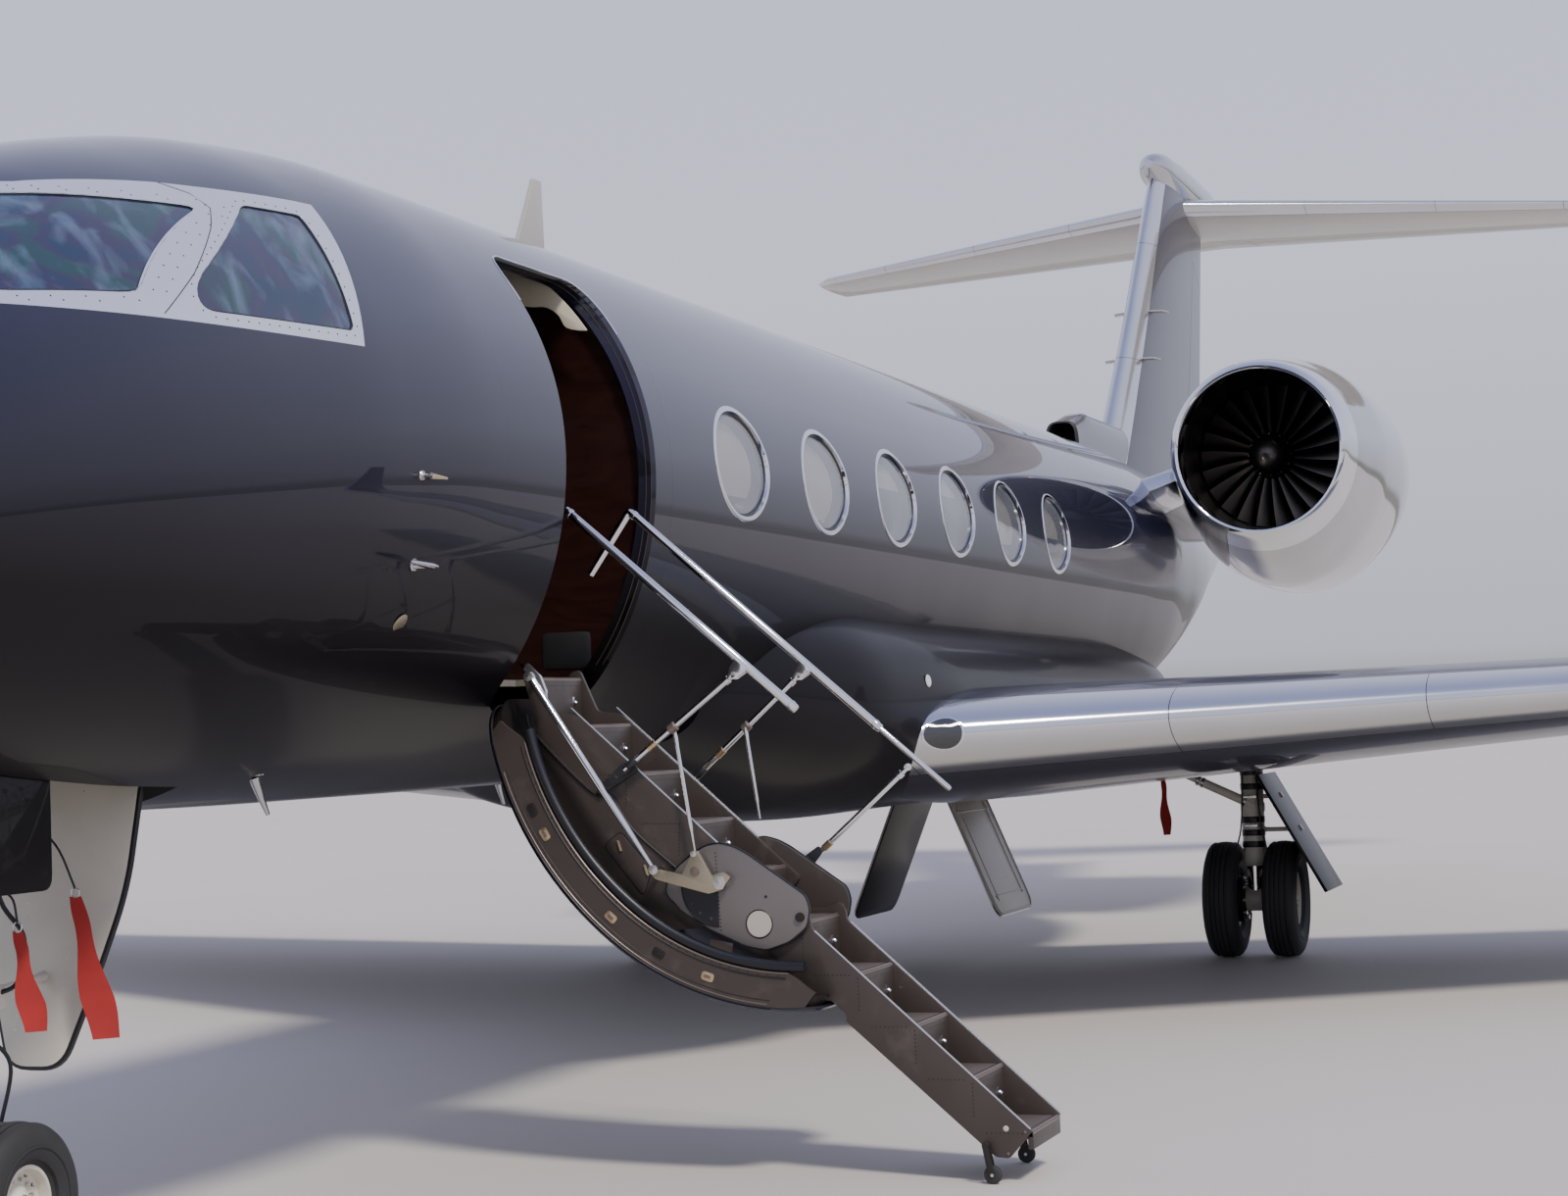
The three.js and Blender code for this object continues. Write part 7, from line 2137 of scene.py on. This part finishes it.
            flight.lathe([(0.0, 0.004 + radius * 0.2), (radius, 0.004 + radius * 0.1), (radius, 0.0)],
                         flight_point((u, v), rod + 0.014), (0, -1, 0), finish, 6 if radius > 0.02 else 16)
        flight.tube([flight_point((0.88, -0.09), rod + 0.01), flight_point((0.88, -0.09), front)], 0.016,
                    "bright_edge", 16)
        crescent = [(-0.318, 0.016), (-0.277, 0.043), (-0.212, 0.037), (-0.15, 0.006), (-0.105, -0.05),
                    (-0.15, -0.016), (-0.205, 0.006), (-0.27, 0.008)]
        flight.plate(rounded(crescent, 0.008, 3), flight_frame(4.9), 0.02, "chrome", 0.004)
        bracket = [(0.33, 0.005), (0.29, 0.02), (0.262, -0.02), (0.243, -0.17), (0.272, -0.175),
                   (0.31, -0.06)]
        flight.plate(rounded(bracket, 0.012, 3), flight_frame(front - 0.016), 0.012, "dark_plastic", 0.002)

    def lower_flight(self):
        """The steps that fold, between their stringers."""
        flight = Piece("lower_flight_parts")
        front, rear = FLIGHT["front"], FLIGHT["rear"]
        outline = rounded(STRINGER, (0.02,) * 4 + (0.01,) * 7 + (0.02,) * 4, 3)
        for station in (front + 0.006, rear - 0.026):
            flight.plate(outline, flight_frame(station), 0.02, "stair_paint", 0.0025)
        for low, high in ((front - 0.018, front + 0.02), (rear - 0.02, rear + 0.018)):
            flight.tube([flight_point(FLIGHT["pivot"], low), flight_point(FLIGHT["pivot"], high)], 0.0195,
                        "bright_edge", 20)
        for index in range(FLIGHT["upper"], FLIGHT["treads"]):
            deep = FLIGHT["first" if index == FLIGHT["upper"] else "depth"]
            riser = FLIGHT["riser" if index < FLIGHT["treads"] - 1 else "lip"]
            tread(flight, index, front + 0.026, rear - 0.026, deep, riser)
        for station, way in ((front + 0.006, -1), (rear - 0.006, 1)):
            flight.tube([flight_point((u, 0.001), station + way * -0.004) for u in (1.27, 1.8, 2.37)],
                        0.0042, "bright_edge", 8)
            face = Vector((0, way, 0))
            for index in range(FLIGHT["upper"], FLIGHT["treads"]):
                nose = FLIGHT["nosing"] + index * FLIGHT["pitch"]
                for t in np.linspace(0, 1, 9):
                    spots = [(nose - 0.022 - 0.1 * t, -0.032 - 0.09 * t)]
                    if nose + 0.147 * t < 2.36:
                        spots.append((nose + 0.012 + 0.08 * t, -0.02 - 0.088 * t))
                    for spot in spots:
                        flight.dome(flight_point(spot, station), face, 0.003, "stair_dark", 0.5, 6)
            for u, v in ((2.362, -0.02), (2.366, -0.125)):
                flight.dome(flight_point((u, v), station), face, 0.006, "worn_edge", 0.5, 8)
            flight.dome(flight_point((2.3, -0.06), station), face, 0.011, "white_plastic", 0.14, 12)
        flight.make("airstair_lower", ["airstair_lower"])

    @staticmethod
    def castors():
        """Two castors on the bar at the flight's foot."""
        foot = Piece("castor_parts")
        (px, pz), (wx, wz) = CASTOR["pivot"], CASTOR["wheel"]
        low, high = (along(station) for station in CASTOR["stations"])
        foot.tube([(px, low - 0.006, pz), (px, high + 0.006, pz)], 0.008, "bright_edge", 14)
        for y in (low, high):
            foot.lathe([(0.0, -0.012), (0.018, -0.012), (0.028, -0.011), (CASTOR["radius"], -0.007),
                        (CASTOR["radius"], 0.007), (0.028, 0.011), (0.018, 0.012), (0.0, 0.012)],
                       (wx, y, wz), (0, 1, 0), "rubber", 32)
            arm = rounded([(wx + 0.011, wz - 0.01), (px + 0.012, pz + 0.01), (px - 0.012, pz + 0.01),
                           (wx - 0.014, wz - 0.008)], 0.009, 4)
            for side in (0.0135, -0.0165):
                place = Matrix.Translation((0, y + side, 0)) @ FACING_Y
                foot.plate(arm, place, 0.003, "stair_dark", 0.0008)
            foot.tube([(wx, y - 0.0175, wz), (wx, y + 0.0175, wz)], 0.0065, "bright_edge", 12)
        foot.make("airstair_castors", ["airstair_castors"])

    def rails(self):
        """The posts and strut, then the handrails, then the tube that slides into the rear one."""
        for name, rail in (("front", FRONT_RAIL), ("rear", REAR_RAIL), ("strut", REAR_STRUT)):
            self.post(name, rail)
        for name, rail in (("front", FRONT_RAIL), ("rear", REAR_RAIL)):
            self.handrail(name, rail, sizes().rail_radius)
        slider = Piece("rear_rail_slider_tube")
        a, b = (flight_point(SLIDER[key], REAR_RAIL["station"]) for key in ("start", "end"))
        slider.tube([a, a.lerp(b, 0.985), b], [0.011, 0.011, 0.008], "chrome", 20)
        slider.make("rear_rail_slider", ["rear_rail_slider"])

    @staticmethod
    def post(name, rail):
        """A rail's post with its link rod, or the rear rail's strut with its foot."""
        station, web = rail["station"], rail["web"]
        inward = math.copysign(1, web - station)
        body = "rear_rail_strut" if name == "strut" else f"{name}_rail_post"
        post = Piece(f"{body}_tube")
        foot, head = flight_point(rail["foot"], station), flight_point(rail["head"], station)
        post.tube(between(foot, head, 0, 0.03, 0.06, 0.94, 0.97, 1),
                  [0.014, 0.014, 0.0125, 0.0115, 0.009, 0.009], "chrome", 20)
        post.tube([flight_point(rail["foot"], station - inward * 0.01),
                   flight_point(rail["foot"], web + inward * 0.012)], 0.012, "bright_edge", 16)
        post.lathe([(0.0, -0.012), (0.02, -0.011), (0.021, 0.0), (0.02, 0.011), (0.0, 0.012)], foot,
                   (0, 1, 0), "dark_plastic", 24)
        post.lathe([(0.0, -0.009), (0.014, -0.008), (0.015, 0.0), (0.014, 0.008), (0.0, 0.009)], head,
                   (0, 1, 0), "chrome", 20)
        post.tube(between(foot, head, 0.015, 0.04, 0.1, 0.11), [0.012, 0.0165, 0.0165, 0.0125],
                  "dark_plastic", 16)
        collar = [(0.0125, -0.012), (0.0155, -0.01), (0.0155, 0.01), (0.0125, 0.012)]
        for t, finish in ((0.24, "brass"), (0.27, "brass"), (0.93, "chrome")):
            post.lathe(collar, foot.lerp(head, t), head - foot, finish, 20)
        if name == "strut":
            post.plate(rounded(REAR_FOOT, 0.01, 3), flight_frame(station - 0.0225), 0.009, "dark_plastic",
                       0.001)
        else:
            clamp = [(0.0125, -0.02), (0.02, -0.014), (0.02, 0.014), (0.0125, 0.02)]
            post.lathe(clamp, flight_point(rail["clamp"], station), head - foot, "worn_edge", 20)
            end, line = LINKS[name]
            a, b = flight_point(rail["clamp"], line), flight_point(end, line)
            post.tube(between(a, b, 0, 0.08, 0.16, 0.8, 0.84, 1),
                      [0.005, 0.009, 0.0075, 0.0075, 0.005, 0.004], "chrome", 12)
        post.make(body, [body])

    @staticmethod
    def handrail(name, rail, radius):
        """A handrail with its ears, pin and end collars. The rear one bends down at its top."""
        station = rail["station"]
        hand = Piece(f"{name}_handrail_tube")
        start, end = flight_point(rail["start"], station), flight_point(rail["end"], station)
        path = between(start, end, 0, 0.004, 0.996, 1)
        size = [radius * 0.86, radius, radius, radius * 0.86]
        if name == "rear":
            bend = flight_point(REAR_BEND, station)
            corner = [*between(start, bend, 0.12, 0.03), start.lerp(end, 0.01)]
            path = [bend] + smoothed([bend.lerp(start, 0.5), *corner, start.lerp(end, 0.05)], 16)
            path += between(start, end, 0.996, 1)
            size = [radius * 0.9] + [radius * 0.97] * 16 + [radius, radius * 0.86]
        hand.tube(path, size, "chrome", 24)
        u, v = rail["head"]
        ear = [(u - 0.036, v + 0.05), (u + 0.036, v + 0.05), (u + 0.016, v - 0.02), (u - 0.016, v - 0.02)]
        for low in (-0.019, 0.0135):
            hand.plate(rounded(ear, 0.012, 4), flight_frame(station + low), 0.0055, "chrome", 0.001)
        pin = [flight_point(rail["head"], station + out) for out in (-0.024, 0.024)]
        hand.tube(pin, 0.007, "bright_edge", 12)
        wide = radius + 0.0022
        for spot in between(start, end, 0.02, 0.98):
            hand.lathe([(radius, -0.008), (wide, -0.006), (wide, 0.006), (radius, 0.008)], spot, end - start,
                       "chrome", 24)
        hand.make(f"{name}_handrail", [f"{name}_handrail"])

    @staticmethod
    def doorway_trim():
        """The doorway's bright strip and seals, and behind it the entry's lining and the hinge's cover."""
        trim = Piece("doorway_trim")
        for margin, radius, finish, inset, low in ((-0.004, 0.004, "lip_chrome", 0.0, 3.4),
                                                   (-0.002, 0.003, "stair_paint", 0.022, 2.0),
                                                   (-0.002, 0.003, "stair_paint", 0.046, 2.0),
                                                   (-0.012, 0.008, "seal", 0.074, 2.02)):
            path = [(y, z) for y, z in resampled(doorway_outline(margin, 10), 0.03) if z > low]
            start = max(range(len(path)), key=lambda k: math.dist(path[k], path[k - 1]))
            path = path[start:] + path[:start]
            trim.tube([(side_x(y + HALF_LENGTH, z, inset), y, z) for y, z in path], radius, finish, 8)
        curve = [(min(x, side_x(5.7, z, 0.08)), z) for x, z in smoothed(ENTRY_LINING, 40)]
        trim.plate(curve, Matrix.Translation((0, along(5.69), 0)) @ FACING_Y, 0.012, "headliner", 0.002)
        low, high = COVER_BOX
        trim.box((low[0], along(low[1]), low[2]), (high[0], along(high[1]), high[2]), "dark_plastic", 0.035)
        edge = [(high[0] + 0.002, along(low[1]) + 0.02, low[2] + 0.03 + t * (high[2] - low[2] - 0.06))
                for t in (0.0, 0.5, 1.0)]
        trim.tube(edge, 0.004, "chrome", 8)
        trim.make("airframe")


# Columns: piece, top, flat size, sway, and where its lanyard is held, measured from the nose leg's axis.
RIBBONS = (
    ("nose_ribbon_front", (0.232, NOSE["y"] - 0.06, 1.149), (0.08, 0.32), 0.06, (0.15, -0.05, 1.29)),
    ("nose_ribbon_rear", (0.205, NOSE["y"] + 0.3, 1.234), (0.1, 0.47), 0.106, (0.03, 0.3, 1.5)),
    ("main_ribbon", (1.57, MAIN["y"] - 0.12, 1.26), (0.07, 0.4), 0.012, None),
)


class BuildPins(bpy.types.Operator):
    """Builds the plain ribbons that hang from the gear's lock pins"""

    bl_idname = "jet.pins"
    bl_label = "Pin ribbons"

    def execute(self, context):
        for name, top, size, sway, anchor in RIBBONS:
            width, long = size
            rows, columns = 40, 6
            points = []
            for r in range(rows + 1):
                t = r / rows
                turn = 0.3 + 0.5 * t * t
                drop = long * t
                for c in range(columns + 1):
                    s = c / columns - 0.5
                    gather = 0.4 + 0.6 * min(1.0, t * 1.4)
                    wave = 0.006 * math.sin(t * 9 + s * 2) * min(1, t * 5)
                    points.append((top[0] + s * width * gather * math.cos(turn) + wave + sway * t,
                                   top[1] + s * width * gather * math.sin(turn) + wave * 0.6,
                                   top[2] - drop + abs(s) * 0.008 * (1 - gather)))
            faces = []
            stride = columns + 1
            for r in range(rows):
                for c in range(columns):
                    a = r * stride + c
                    faces.append((a, a + 1, a + 1 + stride, a + stride))
            cloth = Piece(name)
            cloth.add(points, faces, "ribbon")
            ribbon_piece = cloth.make("airframe")
            pin = Piece(f"{name}_pin")
            spot = Vector(top)
            ring = [spot + Vector((0.016 * math.cos(a), 0, 0.014 + 0.016 * math.sin(a))) for a in turns(24)]
            pin.loop(ring, 0.0025, "bright_edge", 8)
            if anchor:
                x, behind, z = anchor
                hold, low = Vector((x, NOSE["y"] + behind, z)), spot + Vector((0, 0, 0.028))
                sag = hold.lerp(low, 0.5) + Vector((0.02, 0, 0.02))
                pin.tube(smoothed([hold, sag, low], 12), 0.004, "seal", 8)
            else:
                shaft = [spot + Vector((0, 0, 0.028)), spot + Vector((0.03, 0.06, 0.06))]
                pin.tube(shaft, 0.005, "bright_edge", 10)
            pin.make("airframe")
        return {"FINISHED"}


# Cabin and cockpit


def cushion(piece, low, high, finish, crown=0.02, matrix=None, count=8, power=7.0):
    """A closed pad, crowned on its faces, with sides that pull in between its corners."""
    centre = (Vector(low) + Vector(high)) / 2
    half = (Vector(high) - Vector(low)) / 2
    build = bmesh.new()
    bmesh.ops.create_cube(build, size=2)
    bmesh.ops.subdivide_edges(build, edges=build.edges, cuts=count - 1, use_grid_fill=True)
    matrix = matrix or Matrix.Identity(4)
    for vert in build.verts:
        p = vert.co
        norm = (abs(p.x) ** power + abs(p.y) ** power + abs(p.z) ** power) ** (1 / power)
        q = p / norm
        place = Vector((q.x * half.x, q.y * half.y, q.z * half.z))
        for i in range(3):
            j, k = (i + 1) % 3, (i + 2) % 3
            swell = (1 - q[j] ** 2) * (1 - q[k] ** 2) * abs(q[i]) ** 3
            place[i] += math.copysign(crown * (swell - 0.5) * min(1.0, half[i] / 0.08), q[i])
        vert.co = matrix @ (centre + place)
    build.verts.index_update()
    piece.add([v.co for v in build.verts], [[v.index for v in f.verts] for f in build.faces], finish)
    build.free()


SEAT_ROWS = (6.9, 8.5, 10.1, 11.7, 13.2)
CABIN_FLOOR = 1.9588
COCKPIT_FLOOR = 2.1208
CARPET = {"low": 1.9303, "thick": 0.0277}
ROOM_INSET = WALL + 0.0006


def room_half(station, z):
    """Half the room inside the fuselage's wall."""
    return side_x(station, z, ROOM_INSET)


class BuildCabin(bpy.types.Operator):
    """Builds the cabin's seats, wall, floor covering, cupboard and the cockpit's fittings"""

    bl_idname = "jet.cabin"
    bl_label = "Cabin"

    def execute(self, context):
        self.seats(CABIN_FLOOR)
        self.walls(CABIN_FLOOR)
        self.cockpit(COCKPIT_FLOOR)
        self.carpet(CARPET["low"])
        return {"FINISHED"}

    @staticmethod
    def seats(floor):
        """Two rows of armchairs on their rails."""
        pads = Piece("cabin_seat_pads")
        shells = Piece("cabin_seat_shells")
        for station in SEAT_ROWS:
            for sign in (-1, 1):
                x, y = sign * 0.5, along(station)
                cushion(pads, (x - 0.21, y - 0.28, floor + 0.29), (x + 0.21, y + 0.2, floor + 0.45),
                        "leather", 0.03)
                cushion(pads, (x - 0.215, y + 0.17, floor + 0.42), (x + 0.215, y + 0.27, floor + 0.86),
                        "leather", 0.03)
                cushion(pads, (x - 0.17, y + 0.18, floor + 0.87), (x + 0.17, y + 0.28, floor + 1.09),
                        "leather", 0.025)
                for out in (-1, 1):
                    cushion(pads, (x + out * 0.228 - 0.022, y - 0.27, floor + 0.36),
                            (x + out * 0.228 + 0.022, y + 0.2, floor + 0.6), "leather", 0.01)
                shells.box((x - 0.2, y - 0.24, floor + 0.01), (x + 0.2, y + 0.24, floor + 0.28), "veneer",
                           0.02)
                shells.box((x - 0.22, y + 0.275, floor + 0.3), (x + 0.22, y + 0.315, floor + 1.08),
                           "leather", 0.018)
        for x in (-0.5, 0.5):
            shells.box((x - 0.04, along(6.6), floor), (x + 0.04, along(13.7), floor + 0.008), "bright_edge",
                       0.002)
        shells.make("airframe", ["cabin_seats"])
        pads.make("airframe")

    @staticmethod
    def walls(floor):
        """The cupboard opposite the door, and the bulkhead with its passage."""
        room = Piece("cabin_wall_panels")
        cupboard = [(-0.42, floor), (-0.42, 3.715)]
        for z in np.linspace(3.715, floor, 24):
            cupboard.append((-max(0.44, min(room_half(4.36, z), room_half(5.8, z))), z))
        room.plate(cupboard, Matrix.Translation((0, along(4.36), 0)) @ FACING_Y, 1.44, "veneer", 0.006)
        for y in (along(4.85), along(5.3)):
            room.box((-0.4195, y - 0.003, floor + 0.05), (-0.4165, y + 0.003, 3.66), "seal", 0.0005)
            for z in (2.6, 3.3):
                room.lathe([(0.0, 0.014), (0.012, 0.014), (0.014, 0.0)], (-0.42, y + 0.05, z), (1, 0, 0),
                           "brass", 16)
        place = Matrix.Translation((0, along(5.802), 0)) @ FACING_Y
        for sign in (1, -1):
            outline = [(sign * max(0.262, room_half(5.82, z)), z) for z in np.linspace(floor, 3.86, 22)]
            inner = [(sign * 0.262, 3.7), (sign * 0.262, floor)]
            room.plate(outline + inner, place, 0.046, "veneer", 0.0)
        room.box((-0.262, along(5.802), 3.722), (0.262, along(5.848), 3.86), "veneer", 0.0)
        room.make("airframe", ["forward_bulkhead"])

    @staticmethod
    def cockpit(high):
        """The cockpit's floor, panel, hood, pedestal, screens, seats and yokes."""
        deck = Piece("cockpit_fittings")
        ends = [(room_half(s, high), along(s)) for s in np.linspace(1.95, 4.18, 16)]
        deck.plate(ends + [(-x, y) for x, y in reversed(ends)], Matrix.Translation((0, 0, high)), 0.024,
                   "carpet")
        deck.box((-0.66, along(2.0), high), (0.66, along(2.44), 2.72), "dark_plastic", 0.03)
        hood = []
        for x in np.linspace(-0.8, 0.8, 18):
            drop = 0.16 * (abs(x) / 0.8) ** 3
            hood.append([(x, along(2.0), 2.78 - drop), (x, along(2.1), 2.93 - drop),
                         (x, along(2.44), 2.975 - drop), (x, along(2.455), 2.95 - drop),
                         (x, along(2.4), 2.7)])
        deck.skin(hood, "dark_plastic", wrap=False, caps=False)
        deck.box((-0.14, along(2.44), high), (0.14, along(3.5), 2.69), "dark_plastic", 0.02)
        for x in (-0.5, -0.17, 0.17, 0.5):
            deck.box((x - 0.14, along(2.405), 2.66), (x + 0.14, along(2.418), 2.86), "screen", 0.004)
        pads = Piece("pilot_seat_pads")
        for sign in (-1, 1):
            x = sign * 0.48
            deck.box((x - 0.17, along(3.08), high), (x + 0.17, along(3.58), 2.44), "dark_plastic", 0.03)
            cushion(pads, (x - 0.22, along(3.06), 2.46), (x + 0.22, along(3.5), 2.62), "leather", 0.03)
            cushion(pads, (x - 0.21, along(3.5), 2.6), (x + 0.21, along(3.65), 3.08), "leather", 0.03)
            cushion(pads, (x - 0.13, along(3.53), 3.09), (x + 0.13, along(3.64), 3.29), "leather", 0.02)
            yoke = [(x - 0.15, along(2.72), 2.86), (x - 0.16, along(2.72), 2.76),
                    (x - 0.08, along(2.7), 2.7), (x, along(2.68), 2.69), (x + 0.08, along(2.7), 2.7),
                    (x + 0.16, along(2.72), 2.76), (x + 0.15, along(2.72), 2.86)]
            deck.tube(smoothed(yoke, 30), 0.013, "dark_plastic", 10)
            deck.tube([(x, along(2.68), 2.69), (x, along(2.45), 2.66)], 0.02, "dark_plastic", 12)
        deck.box((-0.55, along(4.161), 1.935), (0.55, along(4.18), high + 0.02), "carpet", 0.0)
        deck.make("airframe", ["cabin_floor"])
        pads.make("airframe")

    @staticmethod
    def carpet(low):
        """The cabin's carpet, narrower at the doorway."""
        cover = Piece("cabin_carpet")
        port = [(room_half(s, low), along(s)) for s in (4.185, 4.83)]
        port += [(0.5, along(4.83)), (0.5, along(5.785))]
        port += [(room_half(s, low), along(s)) for s in (5.785, *np.linspace(6.0, 14.84, 30))]
        starboard = [(-room_half(s, low), along(s)) for s in np.linspace(14.84, 4.185, 30)]
        cover.plate(port + starboard, Matrix.Translation((0, 0, low)), CARPET["thick"], "carpet")
        cover.make("airframe", ["cabin_floor"])


# Stage

CAMERA = {"place": (5.537, -18.249, 1.722), "yaw": 19.744, "pitch": 2.690, "roll": -2.064, "lens": 62.15}


class BuildStage(bpy.types.Operator):
    """Sets the camera, the pale floor and the soft studio light"""

    bl_idname = "jet.stage"
    bl_label = "Studio"

    def execute(self, context):
        yaw, pitch, roll = (math.radians(CAMERA[key]) for key in ("yaw", "pitch", "roll"))
        level = Vector((-math.sin(yaw), math.cos(yaw), 0))
        right = Vector((math.cos(yaw), math.sin(yaw), 0))
        ahead = level * math.cos(pitch) + Vector((0, 0, math.sin(pitch)))
        up = right.cross(ahead)
        turned_right = right * math.cos(roll) + up * math.sin(roll)
        turned_up = up * math.cos(roll) - right * math.sin(roll)
        lens = bpy.data.cameras.new("photo_camera")
        lens.lens = CAMERA["lens"]
        lens.sensor_width = 36
        lens.clip_end = 400
        camera = placed("photo_camera", lens)
        matrix = Matrix((turned_right, turned_up, -ahead)).transposed().to_4x4()
        matrix.translation = Vector(CAMERA["place"])
        camera.matrix_world = matrix
        context.scene.camera = camera

        floor = Piece("studio_floor")
        ring = [[(r * math.cos(a), r * math.sin(a), -0.0005) for a in turns(48)] for r in (0.5, 30, 160)]
        floor.skin(ring, "floor_paint", caps=False)
        floor.add(ring[0], [tuple(range(48))], "floor_paint")
        mesh = bpy.data.meshes.new("studio_floor")
        mesh.from_pydata(floor.points, [], floor.faces)
        mesh.materials.append(finish_of("floor_paint"))
        placed("studio_floor", mesh)

        air = Air("studio_air")
        context.scene.world = air.world
        sun = bpy.data.lights.new("key_light", "SUN")
        sun.energy = 3.2
        sun.angle = math.radians(9)
        sun.color = (1.0, 0.94, 0.86)
        key = placed("key_light", sun)
        key.rotation_euler = Vector((-0.62, 0.52, -1.0)).to_track_quat("-Z", "Y").to_euler()
        return {"FINISHED"}


OPERATORS = (BuildStage, BuildFuselage, BuildGlass, BuildWings, BuildTail, BuildEngines, BuildMainGear,
             BuildNoseGear, BuildAirstair, BuildPins, BuildCabin)


class JetPanel(bpy.types.Panel):
    """Lists the jet's builders with its sizes and colours"""

    bl_idname = "JET_PT_parts"
    bl_label = "Business jet"
    bl_space_type = "VIEW_3D"
    bl_region_type = "UI"
    bl_category = "Jet"

    def draw(self, context):
        column = self.layout.column()
        for operator in OPERATORS:
            column.operator(operator.bl_idname)
        for group in (context.scene.jet_sizes, context.scene.jet_colours):
            for name in group.bl_rna.properties.keys():
                if name not in ("rna_type", "name"):
                    column.prop(group, name)


CLASSES = (JetSizes, JetColours, *OPERATORS, JetPanel)


def register():
    for item in CLASSES:
        bpy.utils.register_class(item)
    bpy.types.Scene.jet_sizes = PointerProperty(type=JetSizes)
    bpy.types.Scene.jet_colours = PointerProperty(type=JetColours)


def unregister():
    del bpy.types.Scene.jet_sizes
    del bpy.types.Scene.jet_colours
    for item in reversed(CLASSES):
        bpy.utils.unregister_class(item)


def main():
    register()
    for operator in OPERATORS:
        group, name = operator.bl_idname.split(".")
        getattr(getattr(bpy.ops, group), name)()


def plain(box):
    return [[float(value) for value in corner] for corner in box]


if __name__ == "__main__":
    main()
